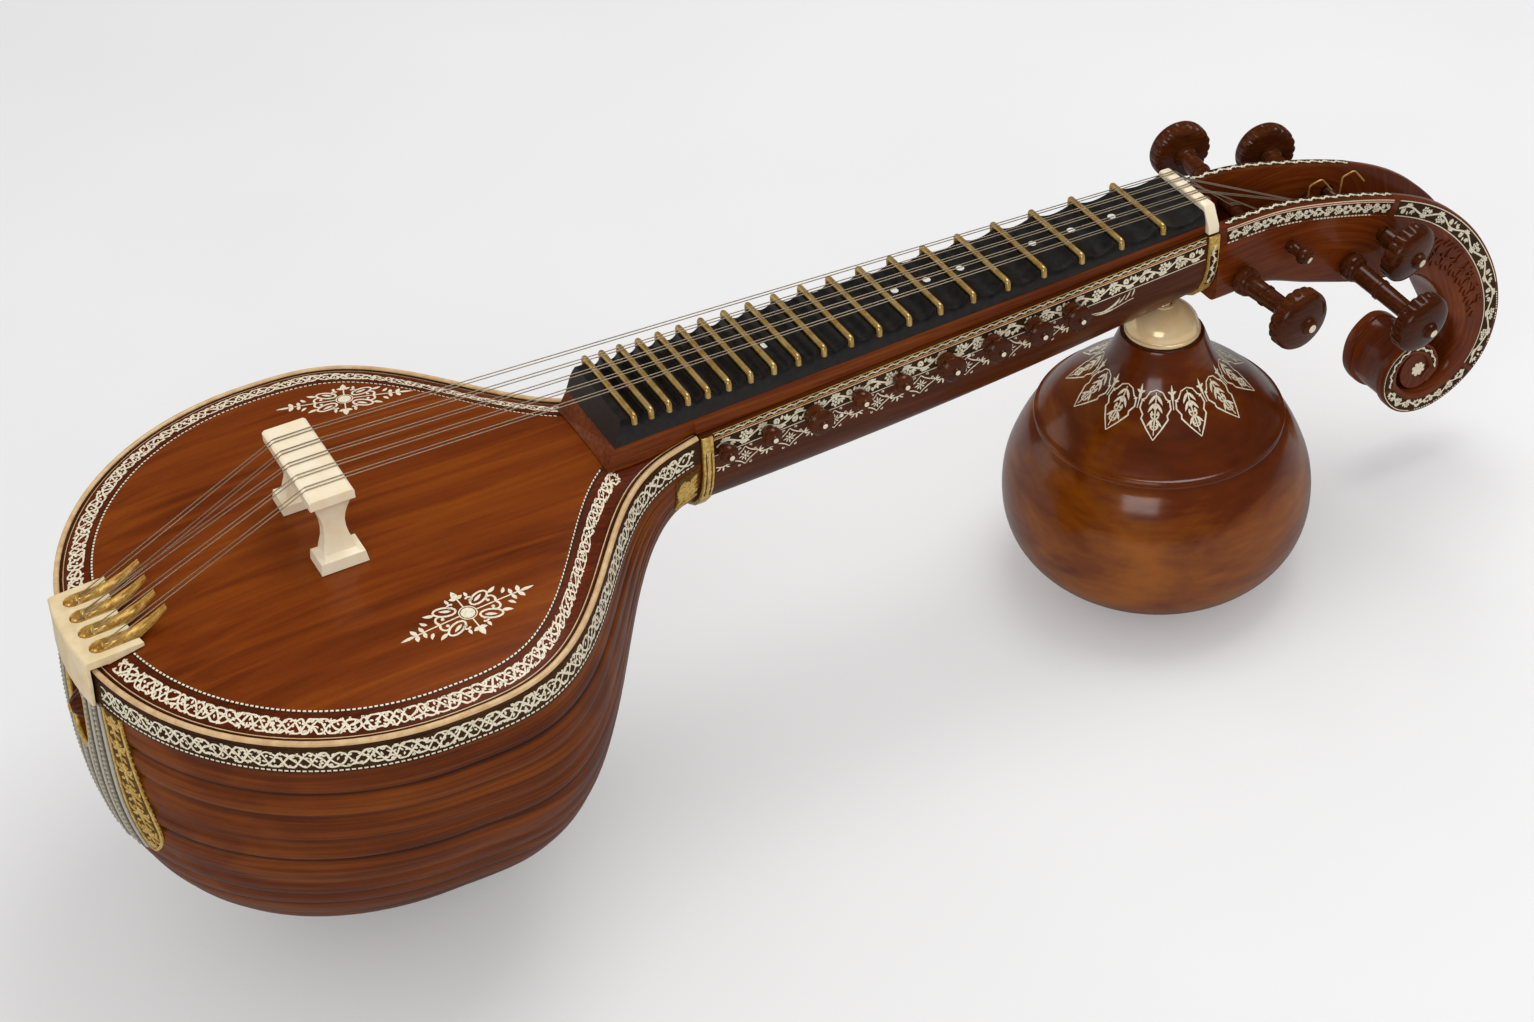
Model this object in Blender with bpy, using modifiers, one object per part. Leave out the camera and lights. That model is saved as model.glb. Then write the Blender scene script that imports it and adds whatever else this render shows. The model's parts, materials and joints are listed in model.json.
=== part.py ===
# Veena: a long plucked lute with a carved wooden bowl, a fretted neck, a curled pegbox
# and a second resonator, a gourd, that screws on below the neck.
# Metres, +Z up. The neck runs along +X, the player's near side is -Y, and the
# instrument stands on its bowl and its gourd.

import bpy
import bmesh
from math import sin, cos, pi, sqrt, radians
from mathutils import Vector, Matrix

# Clearances
GAP = 0.0003            # between pieces that touch
BORE_GAP = 0.0004       # round a peg's shaft

# Playing length and frets
SCALE_LENGTH = 0.7155   # nut to bridge
BRIDGE_X = -0.0145      # bridge, measured from the middle of the bowl
FRET_COUNT = 20
FRET_RADIUS = 0.0022
FRET_TOP = 0.3565       # height of the frets' crowns
FRET_LEG = 0.0065       # the part bent down over each side
FRET_HALF_BODY = 0.0405  # half the length of the fret nearest the bowl
FRET_HALF_NUT = 0.0333

# Bowl
RIM_Z = 0.302           # height of the bowl's rim
RIM_HALF_WIDTH = 0.2135
RIM_TAIL = 0.200        # rim, from the middle of the bowl to the tail
JOINT_X = 0.258         # where the bowl ends and the neck starts
BOWL_BULGE = 0.017      # how far the sides swell out below the rim
SHOULDER_BULGE = 0.021
BOWL_ROUND = 1.70       # section exponent, 2 is an ellipse
KEEL_ROUND = 2.5
BOWL_WALL = 0.010
BOWL_FLAT = 0.0022      # how much the flat under the bowl takes off its depth
FLUTES = 18
FLUTE_DEPTH = 0.0022

# Soundboard and edge
BOARD_THICKNESS = 0.0032
BOARD_RISE = 0.0155     # height of the soundboard's middle over its rim
BINDING_RADIUS = 0.0030
BINDING_PROUD = 0.0005  # how far the bead stands out from the side
BINDING_DROP = 0.0006   # of the bead's middle under the rim's height

# Neck
NECK_HALF_BODY = 0.0465
NECK_HALF_NUT = 0.0385
DECK_BODY = 0.3190      # top of the neck at the bowl
DECK_NUT = 0.3335
NECK_BOTTOM_BODY = 0.2372
NECK_BOTTOM_NUT = 0.2642
NECK_WALL = 0.010
DECK_LEDGE = 0.0040     # deck left bare beside the plinth

# Fretboard
BOARD_END = 0.0169      # black block beyond the last fret, at its foot
PLINTH_FLARE = 0.0080
FOOT_LIFT = 0.0012      # of the plinth over the curved soundboard
BLOCK_BOTTOM_BODY = 0.3320
BLOCK_BOTTOM_NUT = 0.3415
BLOCK_TOP = 0.3520
BLOCK_SIDE_BEVEL = 0.0040
BLOCK_END_BEVEL = 0.0080
SCALLOP_DEPTH = 0.0050

# Nut
NUT_LENGTH = 0.0100
NUT_RISE = 0.0008       # string height over the frets at the nut
NUT_BAND = 0.0022       # thickness of the band round the neck's end

# Bridge
BRIDGE_HEIGHT = 0.0610
BRIDGE_HALF_LENGTH = 0.0420
BRIDGE_HALF_WIDTH = 0.0135
BRIDGE_SLAB = 0.0095
BRIDGE_FOOT = 0.0085

# Strings
COURSES = 5
STRING_RADIUS = 0.0004
COURSE_PITCH_BRIDGE = 0.0157
COURSE_PITCH_NUT = 0.0108
PAIR_PITCH = 0.0036

# Tail
TAIL_OFFSET = -0.006    # the tail furniture sits a little to the near side
CLIP_COUNT = 4
CLIP_PITCH = 0.0186
CLIP_HALF = 0.0062
CLIP_LENGTH = 0.056
CLIP_SETBACK = 0.0095   # of a clip's round end from the saddle's back
CLIP_TIP_RISE = 0.0165
PIN_SETBACK = 0.0095
PIN_RADIUS = 0.0016
SADDLE_MARGIN = 0.0069  # beside the outer clips
SADDLE_CLEAR = 0.0035   # of the saddle's top over the board that rises under the clips
SADDLE_SKIRT = 0.027    # how far its front plate hangs below the rim
SADDLE_FRONT = 0.164    # its front edge, from the middle of the bowl
SLOT_DEPTH = 0.0036
COURSE_CLIP = (0, 1, 2, 2, 3)
COURSE_PEG = ("tuning_peg_near_1", "tuning_peg_near_3", "tuning_peg_near_2", "tuning_peg_far_2",
              "tuning_peg_far_1")

# Pegs
PEG_HEAD_RADIUS = 0.0218
PEG_HEAD_DEPTH = 0.022
PEG_SHAFT = 0.0062
DRONE_SHAFT = 0.0040
SIDE_PEG_SHAFT = 0.0036
SIDE_PEG_DROP = 0.0165   # of the side pegs' line under the deck
SIDE_PEG_FIRST = 0.018   # of the first side peg from the joint
# Share of the way from the first side peg to the nut, size
SIDE_PEGS = (
    (0.0000, "small"), (0.0847, "small"), (0.1741, "large"), (0.2635, "small"),
    (0.3459, "small"), (0.4400, "large"), (0.5341, "large"), (0.6212, "large"),
    (0.7012, "large"),
)

# Pegbox
BOX_WALL = 0.010
VOLUTE_EYE = (0.2244, 0.112)   # x from the pegbox's start, z

# Outer edge from the nut over the curl to its eye: x from the pegbox's start, z, thickness,
# half width, channel depth
SCROLL = (
    (0.0000, 0.3365, 0.0700, 0.0385, 0.0570),
    (0.0584, 0.3350, 0.0700, 0.0375, 0.0600),
    (0.1164, 0.3225, 0.0780, 0.0355, 0.0660),
    (0.1744, 0.3040, 0.0800, 0.0340, 0.0600),
    (0.2204, 0.2810, 0.0720, 0.0325, 0.0300),
    (0.2554, 0.2510, 0.0600, 0.0310, 0.0120),
    (0.2814, 0.2160, 0.0540, 0.0300, 0.0070),
    (0.2984, 0.1780, 0.0520, 0.0290, 0.0055),
    (0.3039, 0.1400, 0.0450, 0.0280, 0.0050),
    (0.2954, 0.1050, 0.0370, 0.0275, 0.0045),
    (0.2724, 0.0790, 0.0290, 0.0270, 0.0040),
    (0.2384, 0.0665, 0.0240, 0.0270, 0.0035),
    (0.2064, 0.0740, 0.0210, 0.0275, 0.0030),
    (0.1874, 0.0980, 0.0180, 0.0280, 0.0025),
    (0.1904, 0.1270, 0.0150, 0.0285, 0.0020),
    (0.2124, 0.1430, 0.0130, 0.0290, 0.0015),
    (0.2354, 0.1330, 0.0110, 0.0295, 0.0012),
    (0.2429, 0.1120, 0.0090, 0.0300, 0.0010),
    (0.2324, 0.0985, 0.0070, 0.0300, 0.0008),
)

# Wall point (x from the pegbox's start, z), head (x, y, z), side
PEGS = {
    "tuning_peg_near_1": ((0.0224, 0.284), (0.0314, -0.105, 0.279), -1),
    "tuning_peg_near_2": ((0.1304, 0.258), (0.1414, -0.118, 0.243), -1),
    "tuning_peg_near_3": ((0.1644, 0.273), (0.1704, -0.062, 0.267), -1),
    "tuning_peg_far_1": ((0.0524, 0.311), (0.0584, 0.103, 0.317), 1),
    "tuning_peg_far_2": ((0.1344, 0.286), (0.1444, 0.102, 0.288), 1),
    "drone_peg": ((0.0694, 0.297), (0.0734, -0.052, 0.293), -1),
}


# Gourd
GOURD_SETBACK = 0.0175   # of the gourd's axis from the nut
GOURD_Y = -0.008
GOURD_RADIUS = 0.1270
GOURD_MOUTH = 0.0325
GOURD_MOUTH_Z = 0.236
GOURD_WALL = 0.006
CUP_RADIUS = 0.0290
SCREW_RADIUS = 0.0058
SCREW_LENGTH = 0.0200

WOOD = ("7A3A18", 0.32, 0.0)
DARK_WOOD = ("3E1A10", 0.34, 0.0)
NECK_WOOD = ("6A2F16", 0.33, 0.0)
BONE = ("E9DDC0", 0.42, 0.0)
EBONY = ("1B1918", 0.30, 0.0)
BRASS = ("B8924A", 0.26, 1.0)
STEEL = ("A89A88", 0.30, 1.0)
GOURD_SKIN = ("8A4718", 0.22, 0.0)

NUT_X = BRIDGE_X + SCALE_LENGTH
BOARD_INSET = 2 * BINDING_RADIUS - BINDING_PROUD + GAP
BOX_START = NUT_X + NUT_LENGTH + 2 * GAP
GOURD_X = NUT_X - GOURD_SETBACK
LAST_FRET_X = NUT_X - SCALE_LENGTH * (1 - 2 ** (-FRET_COUNT / 12))
BOARD_START = LAST_FRET_X - BOARD_END
SADDLE_HALF = CLIP_PITCH * (CLIP_COUNT - 1) / 2 + CLIP_HALF + SADDLE_MARGIN
SADDLE_TOP = RIM_Z + SADDLE_CLEAR + 0.4065 * BOARD_RISE
SADDLE_BACK = RIM_TAIL + BINDING_PROUD + 0.0040
SADDLE_CENTRE = RIM_HALF_WIDTH ** 2 / RIM_TAIL - RIM_TAIL   # the rim's own curve at the tail
CLIP_FLOOR = SADDLE_TOP - SLOT_DEPTH + GAP


def clear_scene():
    for old in list(bpy.data.objects):
        bpy.data.objects.remove(old, do_unlink=True)


def new_collection(name):
    made = bpy.data.collections.new(name)
    bpy.context.scene.collection.children.link(made)
    return made


clear_scene()
PARTS = new_collection("Veena")
CUTTERS = new_collection("Cutters")
FRAME = bpy.data.objects.new("veena_frame", None)
PARTS.objects.link(FRAME)


def linear(value):
    return value / 12.92 if value <= 0.04045 else ((value + 0.055) / 1.055) ** 2.4


def paint(obj, look):
    colour, rough, metal = look
    made = bpy.data.materials.new(obj.name)
    made.use_nodes = True
    shader = made.node_tree.nodes["Principled BSDF"]
    rgb = [linear(int(colour[i:i + 2], 16) / 255) for i in (0, 2, 4)]
    shader.inputs["Base Color"].default_value = (*rgb, 1.0)
    shader.inputs["Roughness"].default_value = rough
    shader.inputs["Metallic"].default_value = metal
    obj.data.materials.append(made)


def place(obj, look=None, parent=FRAME, cutter=False):
    """Link an object, parent it and give it its material."""
    (CUTTERS if cutter else PARTS).objects.link(obj)
    obj.parent = parent
    if cutter:
        obj.hide_render = True
        obj.display_type = "WIRE"
    elif look:
        paint(obj, look)
    return obj


def smooth(obj, angle=35):
    obj.data.shade_smooth()
    obj.data.set_sharp_from_angle(angle=radians(angle))
    return obj


def mesh_from(name, build):
    """A mesh object whose shape a bmesh routine makes."""
    bm = bmesh.new()
    build(bm)
    bmesh.ops.remove_doubles(bm, verts=bm.verts, dist=1e-7)
    bmesh.ops.recalc_face_normals(bm, faces=bm.faces)
    mesh = bpy.data.meshes.new(name)
    bm.to_mesh(mesh)
    bm.free()
    return bpy.data.objects.new(name, mesh)


def loft(name, rings, look=None, cutter=False, angle=35, pinched=False):
    """Skin a row of closed sections and cap both ends, unless the first is pinched to a line."""
    def build(bm):
        rows = [[bm.verts.new(p) for p in ring] for ring in rings]
        for a, b in zip(rows, rows[1:]):
            for i in range(len(a)):
                j = (i + 1) % len(a)
                bm.faces.new((a[i], a[j], b[j], b[i]))
        bm.faces.new(rows[-1])
        if not pinched:
            bm.faces.new(rows[0])
    obj = place(mesh_from(name, build), look, cutter=cutter)
    return smooth(obj, angle)


def turned(name, profile, steps, look):
    """Turn a profile of (radius, height), top to bottom, about the local Z axis."""
    mesh = bpy.data.meshes.new(name)
    edges = [(i, i + 1) for i in range(len(profile) - 1)]
    mesh.from_pydata([(r, 0, z) for r, z in profile], edges, [])
    obj = place(bpy.data.objects.new(name, mesh), look)
    screw = obj.modifiers.new("Turn", "SCREW")
    screw.steps = steps
    screw.render_steps = steps
    screw.use_merge_vertices = True
    screw.merge_threshold = 0.00001
    screw.use_smooth_shade = True
    return obj


def wire(name, points, radius, look, resolution=2):
    """A round wire along points, with closed ends."""
    curve = bpy.data.curves.new(name, "CURVE")
    curve.dimensions = "3D"
    curve.bevel_depth = radius
    curve.bevel_resolution = resolution
    curve.use_fill_caps = True
    spline = curve.splines.new("POLY")
    spline.points.add(len(points) - 1)
    for spot, p in zip(spline.points, points):
        spot.co = (p[0], p[1], p[2], 1)
    return place(bpy.data.objects.new(name, curve), look)


def flat(name, points, thickness, look=None, cutter=False):
    """A closed outline in local XY, extruded evenly to both sides, as a mesh."""
    curve = bpy.data.curves.new(name, "CURVE")
    curve.dimensions = "2D"
    curve.fill_mode = "BOTH"
    curve.extrude = thickness / 2
    spline = curve.splines.new("POLY")
    spline.points.add(len(points) - 1)
    spline.use_cyclic_u = True
    for spot, p in zip(spline.points, points):
        spot.co = (p[0], p[1], 0, 1)
    guide = bpy.data.objects.new(name + "_outline", curve)
    CUTTERS.objects.link(guide)
    bpy.context.view_layer.update()
    graph = bpy.context.evaluated_depsgraph_get()
    mesh = bpy.data.meshes.new_from_object(guide.evaluated_get(graph))
    bpy.data.objects.remove(guide, do_unlink=True)
    mesh.name = name
    bm = bmesh.new()
    bm.from_mesh(mesh)
    bmesh.ops.remove_doubles(bm, verts=bm.verts, dist=1e-6)
    bmesh.ops.recalc_face_normals(bm, faces=bm.faces)
    bm.to_mesh(mesh)
    bm.free()
    return place(bpy.data.objects.new(name, mesh), look, cutter=cutter)


def boolean(obj, other, operation="DIFFERENCE"):
    step = obj.modifiers.new(operation.title(), "BOOLEAN")
    step.operation = operation
    step.solver = "EXACT"
    step.object = other
    return obj


def rod(name, start, end, radius, sides=12):
    """A cylinder cutter between two points."""
    start, end = Vector(start), Vector(end)
    axis = end - start

    def build(bm):
        bmesh.ops.create_cone(bm, cap_ends=True, segments=sides, radius1=radius,
                              radius2=radius, depth=axis.length)
    obj = place(mesh_from(name, build), cutter=True)
    obj.location = (start + end) / 2
    obj.rotation_euler = axis.to_track_quat("Z", "Y").to_euler()
    return obj


def box(name, low, high):
    """A block cutter between two corners."""
    low, high = Vector(low), Vector(high)

    def build(bm):
        bmesh.ops.create_cube(bm, size=1, matrix=Matrix.Diagonal((*(high - low), 1)))
    obj = place(mesh_from(name, build), cutter=True)
    obj.location = (low + high) / 2
    return obj


def joined(name, objects):
    """Several apart cutters made into one mesh."""
    def build(bm):
        for obj in objects:
            obj_matrix = Matrix.LocRotScale(obj.location, obj.rotation_euler.to_quaternion(), None)
            part = obj.data.copy()
            part.transform(obj_matrix)
            bm.from_mesh(part)
            bpy.data.meshes.remove(part)
    made = place(mesh_from(name, build), cutter=True)
    for obj in objects:
        bpy.data.objects.remove(obj, do_unlink=True)
    return made


def mix(a, b, t):
    return a + (b - a) * t


def ease(t):
    t = min(1.0, max(0.0, t))
    return t * t * (3 - 2 * t)


def spline_through(points, per_span):
    """Smooth curve through rows of numbers, with per_span steps a span."""
    rows = [Vector(p) for p in points]
    rows = [2 * rows[0] - rows[1]] + rows + [2 * rows[-1] - rows[-2]]
    out = []
    for i in range(1, len(rows) - 2):
        p0, p1, p2, p3 = rows[i - 1:i + 3]
        for k in range(per_span):
            t = k / per_span
            out.append(0.5 * (2 * p1 + (p2 - p0) * t + (2 * p0 - 5 * p1 + 4 * p2 - p3) * t * t
                              + (3 * p1 - p0 - 3 * p2 + p3) * t ** 3))
    out.append(rows[-2])
    return out


# Body outline

def neck_share(x):
    return (x - JOINT_X) / (NUT_X - JOINT_X)


def neck_half(x):
    return mix(NECK_HALF_BODY, NECK_HALF_NUT, neck_share(x))


def deck(x):
    return mix(DECK_BODY, DECK_NUT, neck_share(x))


def neck_bottom(x):
    return mix(NECK_BOTTOM_BODY, NECK_BOTTOM_NUT, max(0.0, neck_share(x)) ** 2.1)


def rim_half(x):
    """Half the width of the body at its rim."""
    if x < 0:
        return RIM_HALF_WIDTH * sqrt(max(0.0, 1 - (x / RIM_TAIL) ** 2))
    t = min(1.0, x / JOINT_X)
    return mix(NECK_HALF_BODY, RIM_HALF_WIDTH, (1 - t ** 3) ** 3.75)


def rim_z(x):
    """The rim rises to the neck's deck along the shoulders."""
    t = min(1.0, max(0.0, x / JOINT_X))
    return mix(RIM_Z, DECK_BODY, t ** 4)


def board_z(x, y):
    """Top of the domed soundboard."""
    half = max(1e-6, edge_half(x, BOARD_INSET))
    crown = RIM_Z + BOARD_RISE
    if x > 0:
        crown = mix(crown, deck(x), ease(x / (0.75 * JOINT_X)))
    elif x < 0:
        crown = mix(rim_z(x), crown, 1 - abs(x / RIM_TAIL) ** 3)
    side = min(1.0, abs(y) / half)
    return mix(crown, rim_z(x), side ** 3)


def rim_slope(x):
    step = 0.001
    return (rim_half(x + step) - rim_half(x)) / step if 0 < x < JOINT_X - step else 0.0


def edge_half(x, inset):
    """Half width at a distance, measured square to the rim, inside it."""
    if x < 0:
        return (RIM_HALF_WIDTH - inset) * sqrt(max(0.0, 1 - (x / (RIM_TAIL - inset)) ** 2))
    return rim_half(x) - inset * sqrt(1 + rim_slope(x) ** 2)


# The bowl, the binding and the soundboard all have their corners at these places
TAIL_STEPS = 7
NECK_STEPS = 9
TAIL_TURNS = [pi / 2 * (i / TAIL_STEPS) ** 1.25 for i in range(1, TAIL_STEPS)]
NECK_PLACES = [JOINT_X * i / NECK_STEPS for i in range(NECK_STEPS + 1)]


def bowl_stations():
    """(half of the body, share along it) for each section of the bowl."""
    tail = [("tail", 0.0)] + [("tail", turn / (pi / 2)) for turn in TAIL_TURNS]
    neck = [("neck", x / JOINT_X) for x in NECK_PLACES]
    return tail + neck


def tail_length(d, shrink=0.0):
    """How far the tail reaches back at a share d of the bowl's depth."""
    profile = max(0.0, 1 - d ** KEEL_ROUND) ** (1 / KEEL_ROUND)
    return (RIM_TAIL - shrink) * profile + BOWL_BULGE * sin(pi * d ** 1.2)


def bowl_point(station, side, s, shrink=0.0, flute=0.0):
    """A point on the bowl. s runs from 0 at the rim to 1 at the keel."""
    part, u = station
    power = BOWL_ROUND if part == "tail" else mix(BOWL_ROUND, 2.2, u ** 3)
    c = max(0.0, cos(pi / 2 * s)) ** (2 / power)
    d = min(1.0, sin(pi / 2 * s) ** (2 / power))
    swell = sin(pi * d ** 1.2)
    if part == "tail":
        turn = pi / 2 * u
        half = (RIM_HALF_WIDTH - shrink) * c + BOWL_BULGE * swell
        depth = RIM_Z + BOWL_FLAT - shrink
        point = Vector((-tail_length(d, shrink) * cos(turn), side * half * sin(turn), RIM_Z - depth * d))
        inward = Vector((cos(turn) * c, -side * sin(turn) * c, d))
        return point + inward * flute
    x = JOINT_X * u
    keel = mix(shrink - BOWL_FLAT, NECK_BOTTOM_BODY + shrink, 1 - (1 - u ** 2.7) ** 2)
    bulge = BOWL_BULGE * (1 - u) ** 2 * (1 + 2 * u) + SHOULDER_BULGE * (4 * u * (1 - u)) ** 2
    half = (rim_half(x) - shrink) * c + bulge * swell
    point = Vector((x, side * half, rim_z(x) - (rim_z(x) - keel) * d))
    return point + Vector((0, -side * c, d)) * flute


def flute_depth(station, s):
    """Carved flutes run from the tail to the neck and die out at both ends."""
    part, u = station
    fade = ease((u - 0.05) / 0.15) if part == "tail" else ease((1 - u) / 0.35)
    return FLUTE_DEPTH * fade


def bowl_rings(stations, shares, shrink=0.0, flutes=False, lift=0.0):
    rings = []
    for station in stations:
        ring = []
        for side, row in ((-1, shares), (1, list(reversed(shares)))):
            for n, s in enumerate(row):
                if side == 1 and n == 0:
                    continue
                valley = 0.0
                if flutes and s in FLUTE_VALLEYS:
                    valley = flute_depth(station, s)
                point = bowl_point(station, side, s, shrink, valley)
                if s == 0.0:
                    point.z += lift
                point.z = max(point.z, 0.0)
                ring.append(point)
        rings.append(ring)
    return rings


# Shares down the side: the plain band, then flutes of three points each
BAND_SHARE = 0.13
FLUTE_ROWS = []
FLUTE_VALLEYS = set()
for flute in range(FLUTES // 2 + 1):
    valley = mix(BAND_SHARE, 1.0, flute / (FLUTES // 2))
    if flute < FLUTES // 2:
        FLUTE_VALLEYS.add(valley)
    FLUTE_ROWS.append(valley)
    if flute < FLUTES // 2:
        step = (1.0 - BAND_SHARE) / (FLUTES // 2)
        FLUTE_ROWS += [valley + 0.3 * step, valley + 0.7 * step]

SHELL_TOP_DROP = BINDING_RADIUS + BINDING_DROP + GAP


def make_bowl():
    """Bowl of the body, hollowed from one block, with a recess in its tail."""
    shares = [0.0, BAND_SHARE / 2] + FLUTE_ROWS
    rings = bowl_rings(bowl_stations(), shares, flutes=True, lift=-SHELL_TOP_DROP)
    bowl = loft("bowl_shell", rings, WOOD, angle=25, pinched=True)
    stations = [("tail", i / 5) for i in range(5)] + [("neck", i / 6) for i in range(7)]
    inner = bowl_rings(stations, [0.0, 0.15, 0.35, 0.55, 0.75, 0.9, 1.0], BOWL_WALL, lift=0.02)
    inner.append([p + Vector((0.02, 0, 0)) for p in inner[-1]])
    hollow = loft("bowl_hollow", inner, cutter=True, pinched=True)
    low, high = (-0.26, TAIL_OFFSET - 0.036, RECESS_Z - 0.045), (-0.165, TAIL_OFFSET + 0.036, 0.34)
    block = box("tail_block", low, high)
    boolean(hollow, block)
    boolean(bowl, hollow)
    return bowl


RECESS_Z = 0.247
RECESS_HALF_WIDTH = 0.017
RECESS_HALF_HEIGHT = 0.030
RECESS_DEPTH = 0.012    # of the pocket's floor, from the rim's end


def make_tail_recess(bowl):
    """A round-ended pocket under the tail saddle, which holds a carved knob."""
    spread = RECESS_HALF_HEIGHT - RECESS_HALF_WIDTH
    outline = []
    for end, first in ((1, 0), (-1, pi)):
        for i in range(9):
            turn = first + pi * i / 8
            outline.append((RECESS_HALF_WIDTH * cos(turn), end * spread + RECESS_HALF_WIDTH * sin(turn)))
    pocket = flat("tail_pocket", outline, 0.06, cutter=True)
    pocket.rotation_euler = (pi / 2, 0, pi / 2)
    floor_x = -RIM_TAIL + RECESS_DEPTH
    pocket.location = (floor_x - 0.06 / 2, TAIL_OFFSET, RECESS_Z)
    boolean(bowl, pocket)
    # The shaft's hole goes on from the pocket's floor
    hole = rod("tail_peg_hole", (floor_x - 0.01, TAIL_OFFSET, RECESS_Z),
               (floor_x + 0.012, TAIL_OFFSET, RECESS_Z), 0.0060 + BORE_GAP)
    boolean(bowl, hole)
    profile = [(0, 0.0335), (0.003, 0.0328), (0.0062, 0.030), (0.0098, 0.0255), (0.0126, 0.0205),
               (0.0120, 0.0165), (0.0085, 0.0135), (0.0105, 0.0125), (0.0105, 0.0103),
               (0.0060, 0.0095), (0.0060, 0.0), (0, 0)]
    knob = turned("tail_peg", profile, 10, DARK_WOOD)
    knob.location = (floor_x + 0.009, TAIL_OFFSET, RECESS_Z)
    knob.rotation_euler = (0, -pi / 2, 0)
    return knob


def make_soundboard():
    """Domed plate whose edge stops short of the binding."""
    inset = BOARD_INSET
    columns = 8
    places = [-(RIM_TAIL - inset) * cos(turn) for turn in TAIL_TURNS]
    places += NECK_PLACES[:-1] + [JOINT_X - 4 * GAP]

    def build(bm):
        grid = []
        for x in places:
            half = edge_half(x, inset)
            row = []
            for j in range(columns + 1):
                y = half * sin(pi * (j / columns - 0.5))
                row.append(bm.verts.new((x, y, board_z(x, y))))
            grid.append(row)
        tip = bm.verts.new((-(RIM_TAIL - inset), 0, RIM_Z))
        for j in range(columns):
            bm.faces.new((tip, grid[0][j + 1], grid[0][j]))
        for a, b in zip(grid, grid[1:]):
            for j in range(columns):
                bm.faces.new((a[j], a[j + 1], b[j + 1], b[j]))
        if bm.faces[:][-1].normal.z < 0:
            bmesh.ops.reverse_faces(bm, faces=bm.faces)
    board = place(mesh_from("soundboard", build), WOOD)
    shell = board.modifiers.new("Plate", "SOLIDIFY")
    shell.thickness = BOARD_THICKNESS
    shell.offset = -1
    return smooth(board, 30)


def rim_path(inset, drop):
    """Points round the rim, from the neck's near side round the tail to its far side."""
    near = []
    for x in [JOINT_X - 0.001] + NECK_PLACES[-2::-1]:
        near.append(Vector((x, -edge_half(x, inset), rim_z(x) - drop)))
    for turn in reversed([0.0] + TAIL_TURNS):
        half = (RIM_HALF_WIDTH - inset) * sin(turn)
        near.append(Vector((-(RIM_TAIL - inset) * cos(turn), -half, RIM_Z - drop)))
    far = [Vector((p.x, -p.y, p.z)) for p in reversed(near[:-1])]
    return near + far


def make_binding():
    """Bone bead let into the corner between the soundboard and the side."""
    path = rim_path(BINDING_RADIUS - BINDING_PROUD, BINDING_DROP)
    return wire("bone_binding", path, BINDING_RADIUS, BONE)


def rounded_section(x, half, top, bottom, count, power=2.2, straight=0.012):
    """Neck section: flat top, short straight sides, round below."""
    points = [Vector((x, -half, top))]
    spring = top - straight
    for i in range(count + 1):
        turn = pi * i / count
        c, s = cos(turn), sin(turn)
        y = -half * (abs(c) ** (2 / power)) * (1 if c > 0 else -1)
        points.append(Vector((x, y, spring - (spring - bottom) * s ** (2 / power))))
    points.append(Vector((x, half, top)))
    return points


def neck_stations(count, start, end):
    return [mix(start, end, i / count) for i in range(count + 1)]


def side_peg_x(share):
    return mix(JOINT_X + SIDE_PEG_FIRST, NUT_X, share)


def make_neck():
    """Hollow neck, open towards the bowl, with a hole for each side peg."""
    end = NUT_X + NUT_LENGTH
    rings = [rounded_section(x, neck_half(x), deck(x), neck_bottom(x), 12)
             for x in neck_stations(5, JOINT_X + GAP, end)]
    neck = loft("neck", rings, NECK_WOOD)
    hollow = [rounded_section(x, neck_half(x) - NECK_WALL, deck(x) - NECK_WALL,
                              neck_bottom(x) + NECK_WALL, 8)
              for x in neck_stations(3, JOINT_X - 0.01, end - 0.09)]
    boolean(neck, loft("neck_hollow", hollow, cutter=True))
    holes = []
    for n, (share, size) in enumerate(SIDE_PEGS):
        x = side_peg_x(share)
        z = deck(x) - SIDE_PEG_DROP
        holes.append(rod(f"side_hole_{n}", (x, -neck_half(x) - 0.01, z),
                         (x, -neck_half(x) + NECK_WALL + 0.012, z), SIDE_PEG_SHAFT + BORE_GAP, 8))
    boolean(neck, joined("side_holes", holes))
    low = neck_bottom(GOURD_X)
    screw_hole = rod("gourd_screw_hole", (GOURD_X, GOURD_Y, low - 0.01), (GOURD_X, GOURD_Y, low + 0.018),
                     SCREW_RADIUS + BORE_GAP)
    boolean(neck, screw_hole)
    return neck


def make_side_pegs():
    for n, (share, size) in enumerate(SIDE_PEGS):
        x = side_peg_x(share)
        big = size == "large"
        reach = 0.0205 if big else 0.0150
        head = 0.0088 if big else 0.0062
        barrel = 0.0072 if big else 0.0052
        base = NECK_WALL + 0.008
        profile = [(0, base + reach), (0.0022, base + reach - 0.0006), (0.0026, base + reach - 0.0018),
                   (head - 0.0012, base + reach - 0.0034), (head, base + reach - 0.0062),
                   (barrel - 0.0012, base + reach - 0.0096), (barrel, base + 0.0012),
                   (SIDE_PEG_SHAFT, base + GAP * 2), (SIDE_PEG_SHAFT - 0.0006, 0), (0, 0)]
        peg = turned(f"side_peg_{n + 1}", profile, 8, DARK_WOOD)
        peg.location = (x, -neck_half(x) + base, deck(x) - SIDE_PEG_DROP)
        peg.rotation_euler = (pi / 2, 0, 0)


# Fretboard

def fret_x(number):
    """Twelve equal steps to the octave, measured from the nut."""
    return NUT_X - SCALE_LENGTH * (1 - 2 ** (-number / 12))


def fret_half(x):
    last = fret_x(FRET_COUNT)
    return mix(FRET_HALF_BODY, FRET_HALF_NUT, (x - last) / (NUT_X - last))


def block_bottom(x):
    return mix(BLOCK_BOTTOM_BODY, BLOCK_BOTTOM_NUT, (x - BOARD_START) / (NUT_X - BOARD_START))


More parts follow.
